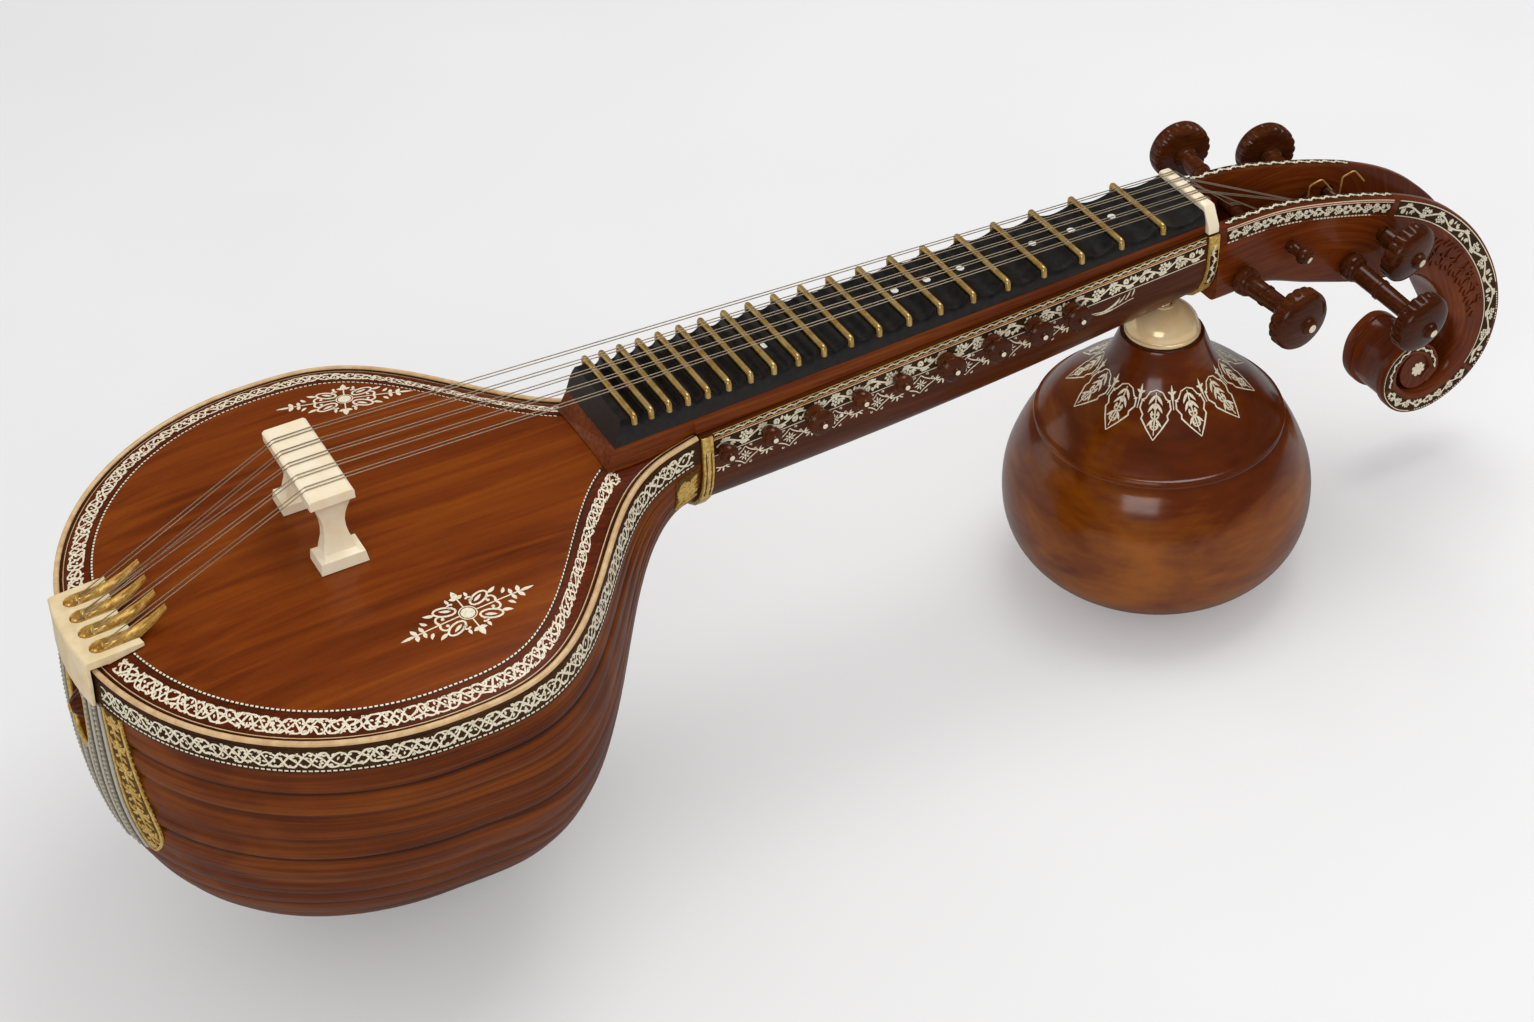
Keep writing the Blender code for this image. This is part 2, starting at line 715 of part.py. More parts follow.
def make_plinth():
    """Wooden plinth, flared at its foot, that lifts the fretboard off the deck."""
    rings = []
    foot = BOARD_START - PLINTH_FLARE
    over_bowl = [foot] + [x for x in NECK_PLACES[:-1] if x > BOARD_START] + [JOINT_X - 4 * GAP]
    over_neck = [mix(JOINT_X, NUT_X - GAP, i / 5) for i in range(6)]
    for x_foot in over_bowl + over_neck:
        x_top = max(BOARD_START, x_foot)
        top = block_bottom(x_top) - GAP
        half_top = block_half(x_top)
        half_foot = half_top + 0.0026
        if x_foot < JOINT_X:
            half_foot = min(half_foot, edge_half(x_foot, 2 * BINDING_RADIUS + 2 * GAP))
        else:
            half_foot = min(half_foot, neck_half(x_foot) - DECK_LEDGE)
        row = []
        for share in (-1, -0.8, -0.5, 0, 0.5, 0.8, 1):
            y = half_foot * share
            base = board_z(x_foot, y) + FOOT_LIFT if x_foot < JOINT_X else deck(x_foot) + 2 * GAP
            row.append(Vector((x_foot, y, base)))
        row += [Vector((x_top, half_top, top)), Vector((x_top, -half_top, top))]
        rings.append(row)
    return loft("fretboard_plinth", rings, WOOD)


def block_half(x):
    """Half the width of the black block at its foot."""
    return fret_half(x) + 0.0010


def block_ring(x, top):
    half = block_half(x)
    shoulder = half - BLOCK_SIDE_BEVEL
    bevel_z = BLOCK_TOP - 0.0085
    lean = (half - shoulder) * (BLOCK_TOP - top) / (BLOCK_TOP - bevel_z)
    bottom = block_bottom(x)
    return [Vector((x, -half, bottom)), Vector((x, -half, bevel_z)), Vector((x, -shoulder - lean, top)),
            Vector((x, shoulder + lean, top)), Vector((x, half, bevel_z)), Vector((x, half, bottom))]


def make_fretboard():
    """Black block, hollowed between the frets, with a bevelled end."""
    rings = []
    start = block_ring(BOARD_START, BLOCK_TOP)
    for p in start[1:5]:
        p.x += BLOCK_END_BEVEL * (p.z - start[0].z) / (BLOCK_TOP - start[0].z)
    rings.append(start)
    land = FRET_RADIUS + 0.0012
    edges = [fret_x(n) for n in range(FRET_COUNT, 0, -1)] + [NUT_X + land]
    for here, there in zip(edges, edges[1:]):
        first, last = here + land, there - land
        if here == edges[0]:
            rings.append(block_ring(here - land, BLOCK_TOP))
        for k in range(5):
            t = k / 4
            dip = SCALLOP_DEPTH * (1 - (2 * t - 1) ** 2)
            rings.append(block_ring(min(mix(first, last, t), NUT_X - GAP), BLOCK_TOP - dip))
    return loft("fretboard", rings, EBONY, angle=30)


def make_frets():
    """Brass rods laid over the block and bent down at both ends."""
    for number in range(1, FRET_COUNT + 1):
        x = fret_x(number)
        half = fret_half(x)
        z = BLOCK_TOP + GAP + FRET_RADIUS
        side = half + 0.0016
        points = [(x, -side, z - FRET_LEG), (x, -side, z), (x, side, z), (x, side, z - FRET_LEG)]
        wire(f"fret_{number:02d}", points, FRET_RADIUS, BRASS, resolution=1)


def make_nut():
    """Bone nut: a bar with sloping shoulders, seated on the neck's end."""
    base = DECK_NUT + 0.0004
    top = FRET_TOP + NUT_RISE - STRING_RADIUS - GAP
    rings = []
    for x in (NUT_X + GAP, NUT_X + 0.0015, NUT_X + NUT_LENGTH - 0.002, NUT_X + NUT_LENGTH):
        drop = 0.0012 if x in (NUT_X + GAP, NUT_X + NUT_LENGTH) else 0.0
        row = [(-NECK_HALF_NUT, base), (-NECK_HALF_NUT, base + 0.006), (-0.031, top - drop - 0.001),
               (-0.0295, top - drop), (0.0295, top - drop), (0.031, top - drop - 0.001),
               (NECK_HALF_NUT, base + 0.006), (NECK_HALF_NUT, base)]
        rings.append([Vector((x, y, z)) for y, z in row])
    return loft("nut", rings, BONE)


def make_band(name, x, width, thickness, look, top_in):
    """Metal band that wraps the neck's sides and back, open on top."""
    rings = []
    for offset in (GAP, GAP + thickness):
        rows = []
        for at in (x - width / 2, x + width / 2):
            half, top, bottom = neck_half(at) + offset, deck(at) - top_in, neck_bottom(at) - offset
            row = rounded_section(at, half, top, bottom, 12)
            rows.append(row)
        rings.append(rows)
    inner, outer = rings

    def build(bm):
        grid = [[bm.verts.new(p) for p in row] for row in (inner[0], inner[1], outer[1], outer[0])]
        for k in range(4):
            a, b = grid[k], grid[(k + 1) % 4]
            for i in range(len(a) - 1):
                bm.faces.new((a[i], a[i + 1], b[i + 1], b[i]))
        bm.faces.new([row[0] for row in grid])
        bm.faces.new([row[-1] for row in grid])
    return smooth(place(mesh_from(name, build), look), 40)


# Pegbox and scroll

def scroll_rings(per_span):
    stations = spline_through(tuple((BOX_START + row[0], *row[1:]) for row in SCROLL), per_span)
    rings = []
    for i, row in enumerate(stations):
        ahead = stations[min(i + 1, len(stations) - 1)]
        behind = stations[max(i - 1, 0)]
        along = Vector((ahead[0] - behind[0], 0, ahead[1] - behind[1])).normalized()
        if i == 0:
            along = Vector((1, 0, 0))
        inward = Vector((along.z, 0, -along.x))
        edge = Vector((row[0], 0, row[1]))
        thick, half, deep = row[2], row[3], row[4]
        wall = min(BOX_WALL, half * 0.36)
        corner = min(0.010, thick * 0.3)
        across = Vector((0, 1, 0))
        crown = min(0.002, deep * 0.5)
        ring = []
        for side in (-1, 1):
            half_row = [
                (half - wall, deep), (half - wall, crown), (half - wall + 0.002, 0.0),
                (half - 0.002, 0.0), (half, crown), (half, thick - corner), (half - corner, thick),
            ]
            if side == 1:
                half_row.reverse()
            ring += [edge + across * side * a + inward * b for a, b in half_row]
        rings.append(ring)
    return rings


def make_pegbox():
    """Open pegbox that runs on into a curled scroll, bored for the pegs."""
    box = loft("pegbox_scroll", scroll_rings(2), DARK_WOOD, angle=32)
    eye_x, eye_z = BOX_START + VOLUTE_EYE[0], VOLUTE_EYE[1]
    core = rod("volute_core", (eye_x, -0.0255, eye_z), (eye_x, 0.0255, eye_z), 0.0185, 16)
    boolean(box, core, "UNION")
    eye = rod("volute_eye", (eye_x, -0.0325, eye_z), (eye_x, 0.0325, eye_z), 0.0075, 10)
    boolean(box, eye, "UNION")
    for name in PEGS:
        wall, end = peg_line(name)
        axis = (end - wall).normalized()
        radius = (DRONE_SHAFT if name == "drone_peg" else PEG_SHAFT) + BORE_GAP
        bore = rod(name + "_bore", wall + axis * 0.01, wall - axis * (peg_inside(name) + 0.001), radius)
        boolean(box, bore)
    return box


def peg_line(name):
    (x, z), head, side = PEGS[name]
    start = Vector((BOX_START, 0, 0))
    return start + Vector((x, side * box_half(x), z)), start + Vector(head)


def box_half(x):
    """Half the pegbox's width, at a distance from its start."""
    for a, b in zip(SCROLL, SCROLL[1:]):
        if a[0] <= x <= b[0]:
            return mix(a[3], b[3], (x - a[0]) / (b[0] - a[0]))
    return SCROLL[0][3]


def peg_inside(name):
    """How far a shaft reaches in from the wall's outside."""
    if name == "drone_peg":
        return BOX_WALL + 0.004
    half = box_half(PEGS[name][0][0])
    return 2 * half - BOX_WALL + 0.005


def make_pegs():
    for name in PEGS:
        wall, head = peg_line(name)
        axis = (head - wall).normalized()
        small = name == "drone_peg"
        inside = peg_inside(name)
        reach = (head - wall).length
        if small:
            end = inside + reach + 0.006
            profile = [(0, end), (0.003, end - 0.0006), (0.0062, end - 0.003), (0.0076, end - 0.0065),
                       (0.0064, end - 0.010), (0.0046, end - 0.0115), (0.0055, inside + 0.0034),
                       (DRONE_SHAFT, inside + 2 * GAP), (DRONE_SHAFT - 0.0006, 0), (0, 0)]
            peg = turned(name, profile, 10, DARK_WOOD)
        else:
            front = inside + reach + 0.014
            radius = PEG_HEAD_RADIUS
            back = front - PEG_HEAD_DEPTH
            profile = [(0, front), (0.0055, front - 0.0012), (0.0068, front - 0.0045),
                       (0.0150, front - 0.0065), (radius - 0.0020, front - 0.0105),
                       (radius, front - 0.0140), (radius, back + 0.0015), (radius - 0.0045, back - 0.001),
                       (0.0095, back - 0.002), (0.0095, back - 0.0055), (PEG_SHAFT + 0.0006, back - 0.0070),
                       (PEG_SHAFT + 0.0006, inside + 0.0130), (0.0105, inside + 0.0105),
                       (0.0112, inside + 0.0050), (0.0095, inside + 0.0020),
                       (PEG_SHAFT, inside + 0.0010), (PEG_SHAFT - 0.0012, 0), (0, 0)]
            if name == "tuning_peg_near_3":
                profile = profile[:8] + [(0.0095, back - 0.004), (0.0085, inside + 0.0036)] + profile[-3:]
            peg = turned(name, profile, 12, DARK_WOOD)
        peg.location = wall - axis * inside
        peg.rotation_euler = axis.to_track_quat("Z", "Y").to_euler()


# Gourd

def make_gourd():
    """Hollow gourd resonator with a raised seam, its brass cup and its screw."""
    seat = Vector((GOURD_X, GOURD_Y, 0))
    outer = [(GOURD_MOUTH, GOURD_MOUTH_Z), (0.0375, 0.2260), (0.0435, 0.2110), (0.0525, 0.1985),
             (0.0670, 0.1870), (0.0850, 0.1735), (0.0970, 0.1605), (0.1015, 0.1585), (0.1008, 0.1530),
             (0.1100, 0.1395), (0.1197, 0.1200), (0.1258, 0.0980), (GOURD_RADIUS, 0.0780),
             (0.1240, 0.0600), (0.1150, 0.0410), (0.1000, 0.0240), (0.0760, 0.0085), (0.0480, 0.0),
             (0, 0.0)]
    inner = [(0, GOURD_WALL), (0.0440, GOURD_WALL + 0.001), (0.0880, 0.0270), (0.1150, 0.0580),
             (0.1175, 0.1000), (0.1010, 0.1390), (0.0800, 0.1680), (0.0470, 0.1930),
             (GOURD_MOUTH - 0.0050, 0.2150), (GOURD_MOUTH - 0.0050, GOURD_MOUTH_Z)]
    gourd = turned("gourd", outer + inner + [outer[0]], 22, GOURD_SKIN)
    gourd.location = seat
    low = GOURD_MOUTH_Z + GAP
    top = neck_bottom(GOURD_X) - 0.0010
    cup_outer = [(0.0085, top)]
    for i in range(1, 5):
        turn = pi / 2 * i / 4
        height = low + 0.0035 + (top - low - 0.0035) * cos(turn)
        cup_outer.append((max(0.0085, CUP_RADIUS * sin(turn)), height))
    cup_outer += [(CUP_RADIUS + 0.0016, low + 0.0025), (CUP_RADIUS + 0.0016, low)]
    cup_inner = [(CUP_RADIUS - 0.0040, low)]
    for i in range(3, -1, -1):
        turn = pi / 2 * i / 4
        cup_inner.append((max(0.0065, (CUP_RADIUS - 0.0040) * sin(turn)),
                          low + 0.0015 + (top - low - 0.0035) * cos(turn)))
    cup = turned("brass_cup", cup_outer + cup_inner + [cup_outer[0]], 16, BRASS)
    cup.location = seat
    profile = [(0, SCREW_LENGTH), (SCREW_RADIUS - 0.001, SCREW_LENGTH),
               (SCREW_RADIUS, SCREW_LENGTH - 0.001),
               (SCREW_RADIUS, 0.0030), (0.0085, 0.0010), (0.0085, -0.0012), (0, -0.0012)]
    screw = turned("gourd_screw", profile, 10, BRASS)
    screw.location = seat + Vector((0, 0, top - 0.0020 - 0.0036))
    return gourd, cup


# Bridge

def make_bridge():
    """Bone bridge: a table on two waisted legs, shaped from two outlines that cross."""
    base = board_z(BRIDGE_X, 0.0) + GAP
    height = BRIDGE_HEIGHT
    foot, slab, half = BRIDGE_FOOT, BRIDGE_SLAB, BRIDGE_HALF_WIDTH
    waist = 0.0066
    side = [(half + 0.001, 0), (half, foot), (half - 0.0035, foot + 0.001)]
    for i in range(1, 7):
        turn = pi * i / 7
        side.append((mix(half - 0.003, waist, sin(turn)), mix(foot + 0.002, height - slab - 0.001, i / 7)))
    side += [(half - 0.003, height - slab), (half, height - slab + 0.001), (half, height - 0.0015),
             (half - 0.0015, height)]
    outline = side + [(-x, z) for x, z in reversed(side)]
    bridge = flat("bridge", outline, 2 * BRIDGE_HALF_LENGTH + 0.02, BONE)
    bridge.rotation_euler = (pi / 2, 0, 0)
    bridge.location = (BRIDGE_X, 0, base)
    reach = BRIDGE_HALF_LENGTH
    front = [(reach + 0.0025, 0), (reach + 0.0015, foot), (reach - 0.0035, foot + 0.002)]
    for i in range(1, 6):
        t = i / 6
        front.append((reach - 0.0035 - 0.0030 * sin(pi * t), mix(foot + 0.004, height - slab - 0.003, t)))
    front += [(reach - 0.0020, height - slab), (reach, height - slab + 0.002), (reach, height)]
    arch = [(0.0235, 0), (0.0235, foot - 0.001), (0.0270, foot + 0.002), (0.0285, 0.022), (0.0270, 0.034)]
    for i in range(1, 5):
        turn = pi / 2 * i / 4
        arch.append((0.0270 * cos(turn), 0.034 + (height - slab - 0.036) * sin(turn)))
    outline = front + [(-x, z) for x, z in reversed(front)]
    outline += [(-x, z) for x, z in arch[:-1]] + [(x, z) for x, z in reversed(arch)]
    shape = flat("bridge_front", outline, 0.05, cutter=True)
    shape.rotation_euler = (pi / 2, 0, pi / 2)
    shape.location = (BRIDGE_X, 0, base)
    return boolean(bridge, shape, "INTERSECT")


# Tail

def clip_y(n):
    return TAIL_OFFSET + CLIP_PITCH * (n - (CLIP_COUNT - 1) / 2)


def make_saddle():
    """Bone saddle that wraps the rim at the tail, slotted for the string clips."""
    over = RIM_Z + BINDING_RADIUS + 2 * GAP
    skirt = tail_length(SADDLE_SKIRT / RIM_Z) + 4 * GAP
    section = [(SADDLE_BACK, SADDLE_TOP - 0.0015), (SADDLE_BACK + 0.0005, RIM_Z - 0.008),
               (skirt + 0.0026, RIM_Z - SADDLE_SKIRT + 0.0005), (skirt, RIM_Z - SADDLE_SKIRT),
               (SADDLE_BACK - 0.0022, RIM_Z - 0.008), (SADDLE_BACK - 0.0026, over),
               (RIM_TAIL - 2 * BINDING_RADIUS - 0.004, over),
               (RIM_TAIL - 2 * BINDING_RADIUS - 0.0045, None),
               (SADDLE_FRONT, None), (SADDLE_FRONT, SADDLE_TOP + 0.0018), (SADDLE_BACK - 0.0015, SADDLE_TOP)]
    centre = SADDLE_CENTRE
    rings = []
    for i in range(7):
        y = TAIL_OFFSET + SADDLE_HALF * (2 * i / 6 - 1)
        ring = []
        for radius, z in section:
            arm = radius + centre
            x = centre - sqrt(arm * arm - y * y)
            if z is None:
                z = board_z(x, y) + 3 * GAP
            ring.append(Vector((x, y, z)))
        rings.append(ring)
    saddle = loft("tail_saddle", rings, BONE)
    slots = []
    for n in range(CLIP_COUNT):
        outline = []
        half = CLIP_HALF + GAP
        back = clip_back(n) - GAP
        for i in range(7):
            turn = pi / 2 + pi * i / 6
            outline.append((back + half + half * cos(turn), clip_y(n) + half * sin(turn)))
        outline += [(-0.14, clip_y(n) - half), (-0.14, clip_y(n) + half)]
        slot = flat(f"clip_slot_{n}", outline, 0.02, cutter=True)
        slot.location = (0, 0, SADDLE_TOP - SLOT_DEPTH + 0.01)
        slots.append(slot)
    boolean(saddle, joined("clip_slots", slots))
    return saddle


def clip_back(n):
    arm = SADDLE_BACK + SADDLE_CENTRE
    return SADDLE_CENTRE - sqrt(arm * arm - clip_y(n) ** 2) + CLIP_SETBACK


def make_clips():
    """Brass channels that hold the strings' looped ends, their tongues raised."""
    for n in range(CLIP_COUNT):
        back, y = clip_back(n), clip_y(n)
        rows = ((0.0006, 0.40, 0.0032, 0.0), (0.0029, 0.80, 0.0038, 0.0), (0.0066, 1.0, 0.0042, 0.0),
                (0.0260, 1.0, 0.0044, 0.0), (0.0300, 0.92, 0.0034, 0.08), (0.0450, 0.60, 0.0024, 0.55),
                (CLIP_LENGTH, 0.34, 0.0018, 1.0))
        rings = []
        for along, width, wall, rise in rows:
            half = CLIP_HALF * width
            z = CLIP_FLOOR + rise * CLIP_TIP_RISE
            x = back + along
            sheet = 0.0012
            rings.append([Vector((x, y - half, z)), Vector((x, y - half, z + wall)),
                          Vector((x, y - half + sheet, z + wall)), Vector((x, y - half + sheet, z + sheet)),
                          Vector((x, y + half - sheet, z + sheet)), Vector((x, y + half - sheet, z + wall)),
                          Vector((x, y + half, z + wall)), Vector((x, y + half, z))])
        clip = loft(f"tail_clip_{n + 1}", rings, BRASS)
        pin = rod(f"clip_pin_{n}", (back + PIN_SETBACK, y, CLIP_FLOOR + 0.0005),
                  (back + PIN_SETBACK, y, CLIP_FLOOR + 0.0075), PIN_RADIUS, 8)
        boolean(clip, pin, "UNION")


def make_strings():
    """Each course is one wire, looped round its clip's pin, whose two strands run to one peg."""
    bridge_top = board_z(BRIDGE_X, 0.0) + GAP + BRIDGE_HEIGHT + STRING_RADIUS + GAP
    nut_top = FRET_TOP + NUT_RISE
    for n in range(COURSES):
        rank = n - (COURSES - 1) / 2
        clip = COURSE_CLIP[n]
        back, y_clip = clip_back(clip), clip_y(clip)
        lift = 0.0035 + (0.0016 if n == 2 else 0.0)
        loop_z = CLIP_FLOOR + lift
        pin_x = back + PIN_SETBACK
        arm = PIN_RADIUS + STRING_RADIUS + GAP
        y_bridge = rank * COURSE_PITCH_BRIDGE
        y_nut = rank * COURSE_PITCH_NUT
        wall, head = peg_line(COURSE_PEG[n])
        axis = (head - wall).normalized()
        share = (y_nut * 0.55 - wall.y) / axis.y
        on_peg = wall + axis * share
        over = PEG_SHAFT + STRING_RADIUS + GAP
        strands = []
        for side in (-1, 1):
            y = y_bridge + side * PAIR_PITCH / 2
            y2 = y_nut + side * PAIR_PITCH / 2 * 0.8
            y3 = on_peg.y + side * 0.0012
            strand = [
                (BRIDGE_X - BRIDGE_HALF_WIDTH + 0.0010, y, bridge_top),
                (BRIDGE_X + BRIDGE_HALF_WIDTH - 0.001, y, bridge_top),
                (NUT_X + 0.0015, y2, nut_top),
                (NUT_X + NUT_LENGTH - 0.0022, y2, nut_top),
                (NUT_X + NUT_LENGTH + 0.0008, y2, nut_top - 0.0014),
                (on_peg.x - 0.004, y3, on_peg.z + over + 0.0003),
                (on_peg.x, y3, on_peg.z + over),
                (on_peg.x + over * 0.75, y3, on_peg.z + over * 0.70),
            ]
            strands.append(strand)
        loop = []
        for i in range(5):
            turn = -pi / 2 - pi * i / 4
            loop.append((pin_x + arm * cos(turn), y_clip + arm * sin(turn), loop_z))
        points = list(reversed(strands[0])) + loop + strands[1]
        wire(f"string_course_{n + 1}", points, STRING_RADIUS, STEEL, resolution=1)


def centre_the_frame():
    """Put the origin under the middle of the object."""
    bpy.context.view_layer.update()
    graph = bpy.context.evaluated_depsgraph_get()
    low, high = [], []
    for name in ("bowl_shell", "pegbox_scroll", "tail_saddle", "tail_peg"):
        obj = bpy.data.objects[name].evaluated_get(graph)
        xs = [(obj.matrix_world @ Vector(corner)).x for corner in obj.bound_box]
        low.append(min(xs))
        high.append(max(xs))
    FRAME.location.x = -(min(low) + max(high)) / 2
    print(f"bowl's middle at x = {FRAME.location.x:.4f}, length {max(high) - min(low):.4f}")


bowl = make_bowl()
make_tail_recess(bowl)
make_soundboard()
make_binding()
make_neck()
make_side_pegs()
make_plinth()
make_fretboard()
make_frets()
make_nut()
make_band("joint_ring", JOINT_X + 0.0052, 0.0085, 0.0022, BRASS, 0.001)
make_band("nut_ring", NUT_X + NUT_LENGTH / 2, 0.0090, NUT_BAND, BRASS, 0.001)
make_pegbox()
make_pegs()
make_gourd()
make_bridge()
make_saddle()
make_clips()
make_strings()
centre_the_frame()
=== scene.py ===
import json
from math import asin, cos, pi, radians, sin, sqrt
from random import Random

import bmesh
import bpy
from mathutils import Matrix, Vector

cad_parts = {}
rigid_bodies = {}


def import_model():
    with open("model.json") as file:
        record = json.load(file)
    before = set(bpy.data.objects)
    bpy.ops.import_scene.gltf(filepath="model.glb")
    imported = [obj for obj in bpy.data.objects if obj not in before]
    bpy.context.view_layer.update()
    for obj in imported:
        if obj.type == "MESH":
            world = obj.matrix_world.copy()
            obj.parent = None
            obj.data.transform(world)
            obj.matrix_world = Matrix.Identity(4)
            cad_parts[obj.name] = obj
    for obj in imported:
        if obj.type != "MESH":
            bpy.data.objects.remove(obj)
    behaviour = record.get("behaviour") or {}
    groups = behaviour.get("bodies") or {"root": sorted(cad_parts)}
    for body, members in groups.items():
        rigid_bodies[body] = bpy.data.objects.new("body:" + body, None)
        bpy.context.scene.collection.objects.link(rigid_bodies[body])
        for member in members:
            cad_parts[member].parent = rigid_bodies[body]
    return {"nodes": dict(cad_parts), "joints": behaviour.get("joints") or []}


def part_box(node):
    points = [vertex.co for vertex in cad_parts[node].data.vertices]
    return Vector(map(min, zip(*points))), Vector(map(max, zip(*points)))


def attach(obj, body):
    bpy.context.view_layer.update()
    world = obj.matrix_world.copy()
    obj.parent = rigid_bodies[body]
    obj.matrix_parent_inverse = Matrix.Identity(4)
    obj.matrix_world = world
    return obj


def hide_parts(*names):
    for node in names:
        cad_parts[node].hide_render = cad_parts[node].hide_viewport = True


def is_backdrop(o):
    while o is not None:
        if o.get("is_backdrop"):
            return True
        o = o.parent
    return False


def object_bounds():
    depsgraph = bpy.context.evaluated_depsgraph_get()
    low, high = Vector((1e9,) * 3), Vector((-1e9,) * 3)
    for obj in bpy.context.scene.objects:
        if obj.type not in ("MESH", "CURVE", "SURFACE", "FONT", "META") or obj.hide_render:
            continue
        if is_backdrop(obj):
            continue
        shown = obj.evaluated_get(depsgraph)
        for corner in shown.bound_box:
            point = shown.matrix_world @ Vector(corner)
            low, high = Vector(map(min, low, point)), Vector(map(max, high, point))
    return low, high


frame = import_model()
cadLow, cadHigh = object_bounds()
nodes = frame["nodes"]
print("frame loaded:", len(nodes), "pieces")


# --- small helpers ---

def toLinear(hexCode):
    # sRGB hex to the linear values that a shader takes
    parts = [int(hexCode[k:k + 2], 16) / 255 for k in (0, 2, 4)]
    return tuple(p / 12.92 if p < 0.04045 else ((p + 0.055) / 1.055) ** 2.4 for p in parts) + (1.0,)


def addNode(tree, kind, values=None, feeds=None, **settings):
    made = tree.nodes.new(kind)
    for name, value in settings.items():
        setattr(made, name, value)
    for name, value in (values or {}).items():
        made.inputs[name].default_value = value
    for name, socket in (feeds or {}).items():
        tree.links.new(socket, made.inputs[name])
    return made


def mix(a, b, t):
    return a + (b - a) * t


def ease(t):
    t = min(1.0, max(0.0, t))
    return t * t * (3 - 2 * t)


def smoothThrough(rows, steps):
    # a smooth run through rows of numbers, with so many steps between two of them
    rows = [list(row) for row in rows]
    ends = [[2 * a - b for a, b in zip(rows[0], rows[1])], [2 * a - b for a, b in zip(rows[-1], rows[-2])]]
    rows = [ends[0]] + rows + [ends[1]]
    out = []
    for i in range(1, len(rows) - 2):
        for k in range(steps):
            t = k / steps
            out.append([0.5 * (2 * b + (c - a) * t + (2 * a - 5 * b + 4 * c - d) * t * t
                               + (3 * b - a - 3 * c + d) * t ** 3)
                        for a, b, c, d in zip(*rows[i - 1:i + 3])])
    return out + [rows[-2]]


def meshFrom(name, points, faces, material, uv=None, marks=None):
    # marks gives each face its material, as an index into a list of them
    mesh = bpy.data.meshes.new(name)
    mesh.from_pydata([tuple(p) for p in points], [], faces)
    for one in material if isinstance(material, (list, tuple)) else [material]:
        mesh.materials.append(one)
    if marks:
        mesh.polygons.foreach_set("material_index", marks)
    if uv:
        layer = mesh.uv_layers.new(name="flow")
        corners = [0] * len(mesh.loops)
        mesh.loops.foreach_get("vertex_index", corners)
        layer.data.foreach_set("uv", [value for corner in corners for value in uv[corner]])
    return mesh


def closeUp(mesh, turnOut=True):
    # doubles merged first, so that the faces can then be turned outward
    work = bmesh.new()
    work.from_mesh(mesh)
    bmesh.ops.remove_doubles(work, verts=work.verts, dist=1e-6)
    bmesh.ops.dissolve_degenerate(work, edges=work.edges, dist=1e-7)
    if turnOut:
        bmesh.ops.recalc_face_normals(work, faces=work.faces)
    work.to_mesh(mesh)
    work.free()


def finishPiece(name, mesh, body, slot, stands=(), sharp=35):
    if name in bpy.data.objects:
        name = name + "_look"
    mesh.name = name
    mesh.shade_smooth()
    mesh.set_sharp_from_angle(angle=radians(sharp))
    piece = bpy.data.objects.new(name, mesh)
    bpy.context.scene.collection.objects.link(piece)
    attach(piece, body)
    if stands:
        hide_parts(*stands)
    return piece


def gridFaces(rows, columns):
    return [(r * columns + c, r * columns + c + 1, (r + 1) * columns + c + 1, (r + 1) * columns + c)
            for r in range(rows - 1) for c in range(columns - 1)]


def loftMesh(name, rings, material, caps=(True, True), along=None, marks=None, hollowShadeAndGrime=None):
    # rings are closed sections; the first point comes again at the end of each, for an even pattern.
    # the last argument gives each point a value from 0 to 1, which a material reads to darken hollows: painted shade
    # with dust on the bowl, tarnish on the silver
    count = len(rings[0]) + 1
    points, uv = [], []
    travel = 0.0
    for k, ring in enumerate(rings):
        if k:
            travel += (Vector(ring[0]) - Vector(rings[k - 1][0])).length if along is None else 0.0
        reach = travel if along is None else along[k]
        round_ = 0.0
        for i in range(count):
            point = Vector(ring[i % len(ring)])
            if i:
                round_ += (point - points[-1]).length
            points.append(point)
            uv.append((reach, round_))
    faces = gridFaces(len(rings), count)
    marked = [marks(r, c) for r in range(len(rings) - 1) for c in range(count - 1)] if marks else None
    for wanted, start in zip(caps, (0, (len(rings) - 1) * count)):
        if wanted:
            faces.append(tuple(range(start, start + count - 1)))
            if marked is not None:
                marked.append(0)
    mesh = meshFrom(name, points, faces, material, uv, marked)
    if hollowShadeAndGrime:
        layer = mesh.attributes.new("hollowShadeAndGrime", "FLOAT", "POINT")
        layer.data.foreach_set("value", [value for row in hollowShadeAndGrime for value in row])
    closeUp(mesh)
    return mesh


def turnedMesh(name, profile, steps, material, place, axis, marks=None):
    # a profile of (radius, height) turned about an axis; axis points where height grows
    axis = Vector(axis).normalized()
    side = axis.orthogonal().normalized()
    other = axis.cross(side)
    rings = []
    for radius, height in profile:
        rings.append([Vector(place) + axis * height + (side * cos(a) + other * sin(a)) * radius
                      for a in (2 * pi * k / steps for k in range(steps))])
    heights = [0.0]
    for (r1, h1), (r2, h2) in zip(profile, profile[1:]):
        heights.append(heights[-1] + sqrt((r2 - r1) ** 2 + (h2 - h1) ** 2))
    return loftMesh(name, rings, material, (False, False), heights, marks)


def smoothNode(nodeName, material, slot, sharp=35, bevelMm=0.0, body="body"):
    # a merged copy of a plain piece, smooth to the light, with its edges broken
    mesh = nodes[nodeName].data.copy()
    mesh.materials.clear()
    mesh.materials.append(material)
    closeUp(mesh, turnOut=False)
    if bevelMm:
        work = bmesh.new()
        work.from_mesh(mesh)
        bmesh.ops.dissolve_limit(work, angle_limit=radians(1), verts=work.verts, edges=work.edges)
        work.to_mesh(mesh)
        work.free()
    piece = finishPiece(nodeName + "_look", mesh, body, slot, [nodeName], sharp)
    if bevelMm:
        edge = piece.modifiers.new("brokenEdge", "BEVEL")
        edge.width = bevelMm / 1000
        edge.segments = 2
        edge.limit_method = "ANGLE"
        edge.angle_limit = radians(38)
        edge.harden_normals = True
    return piece


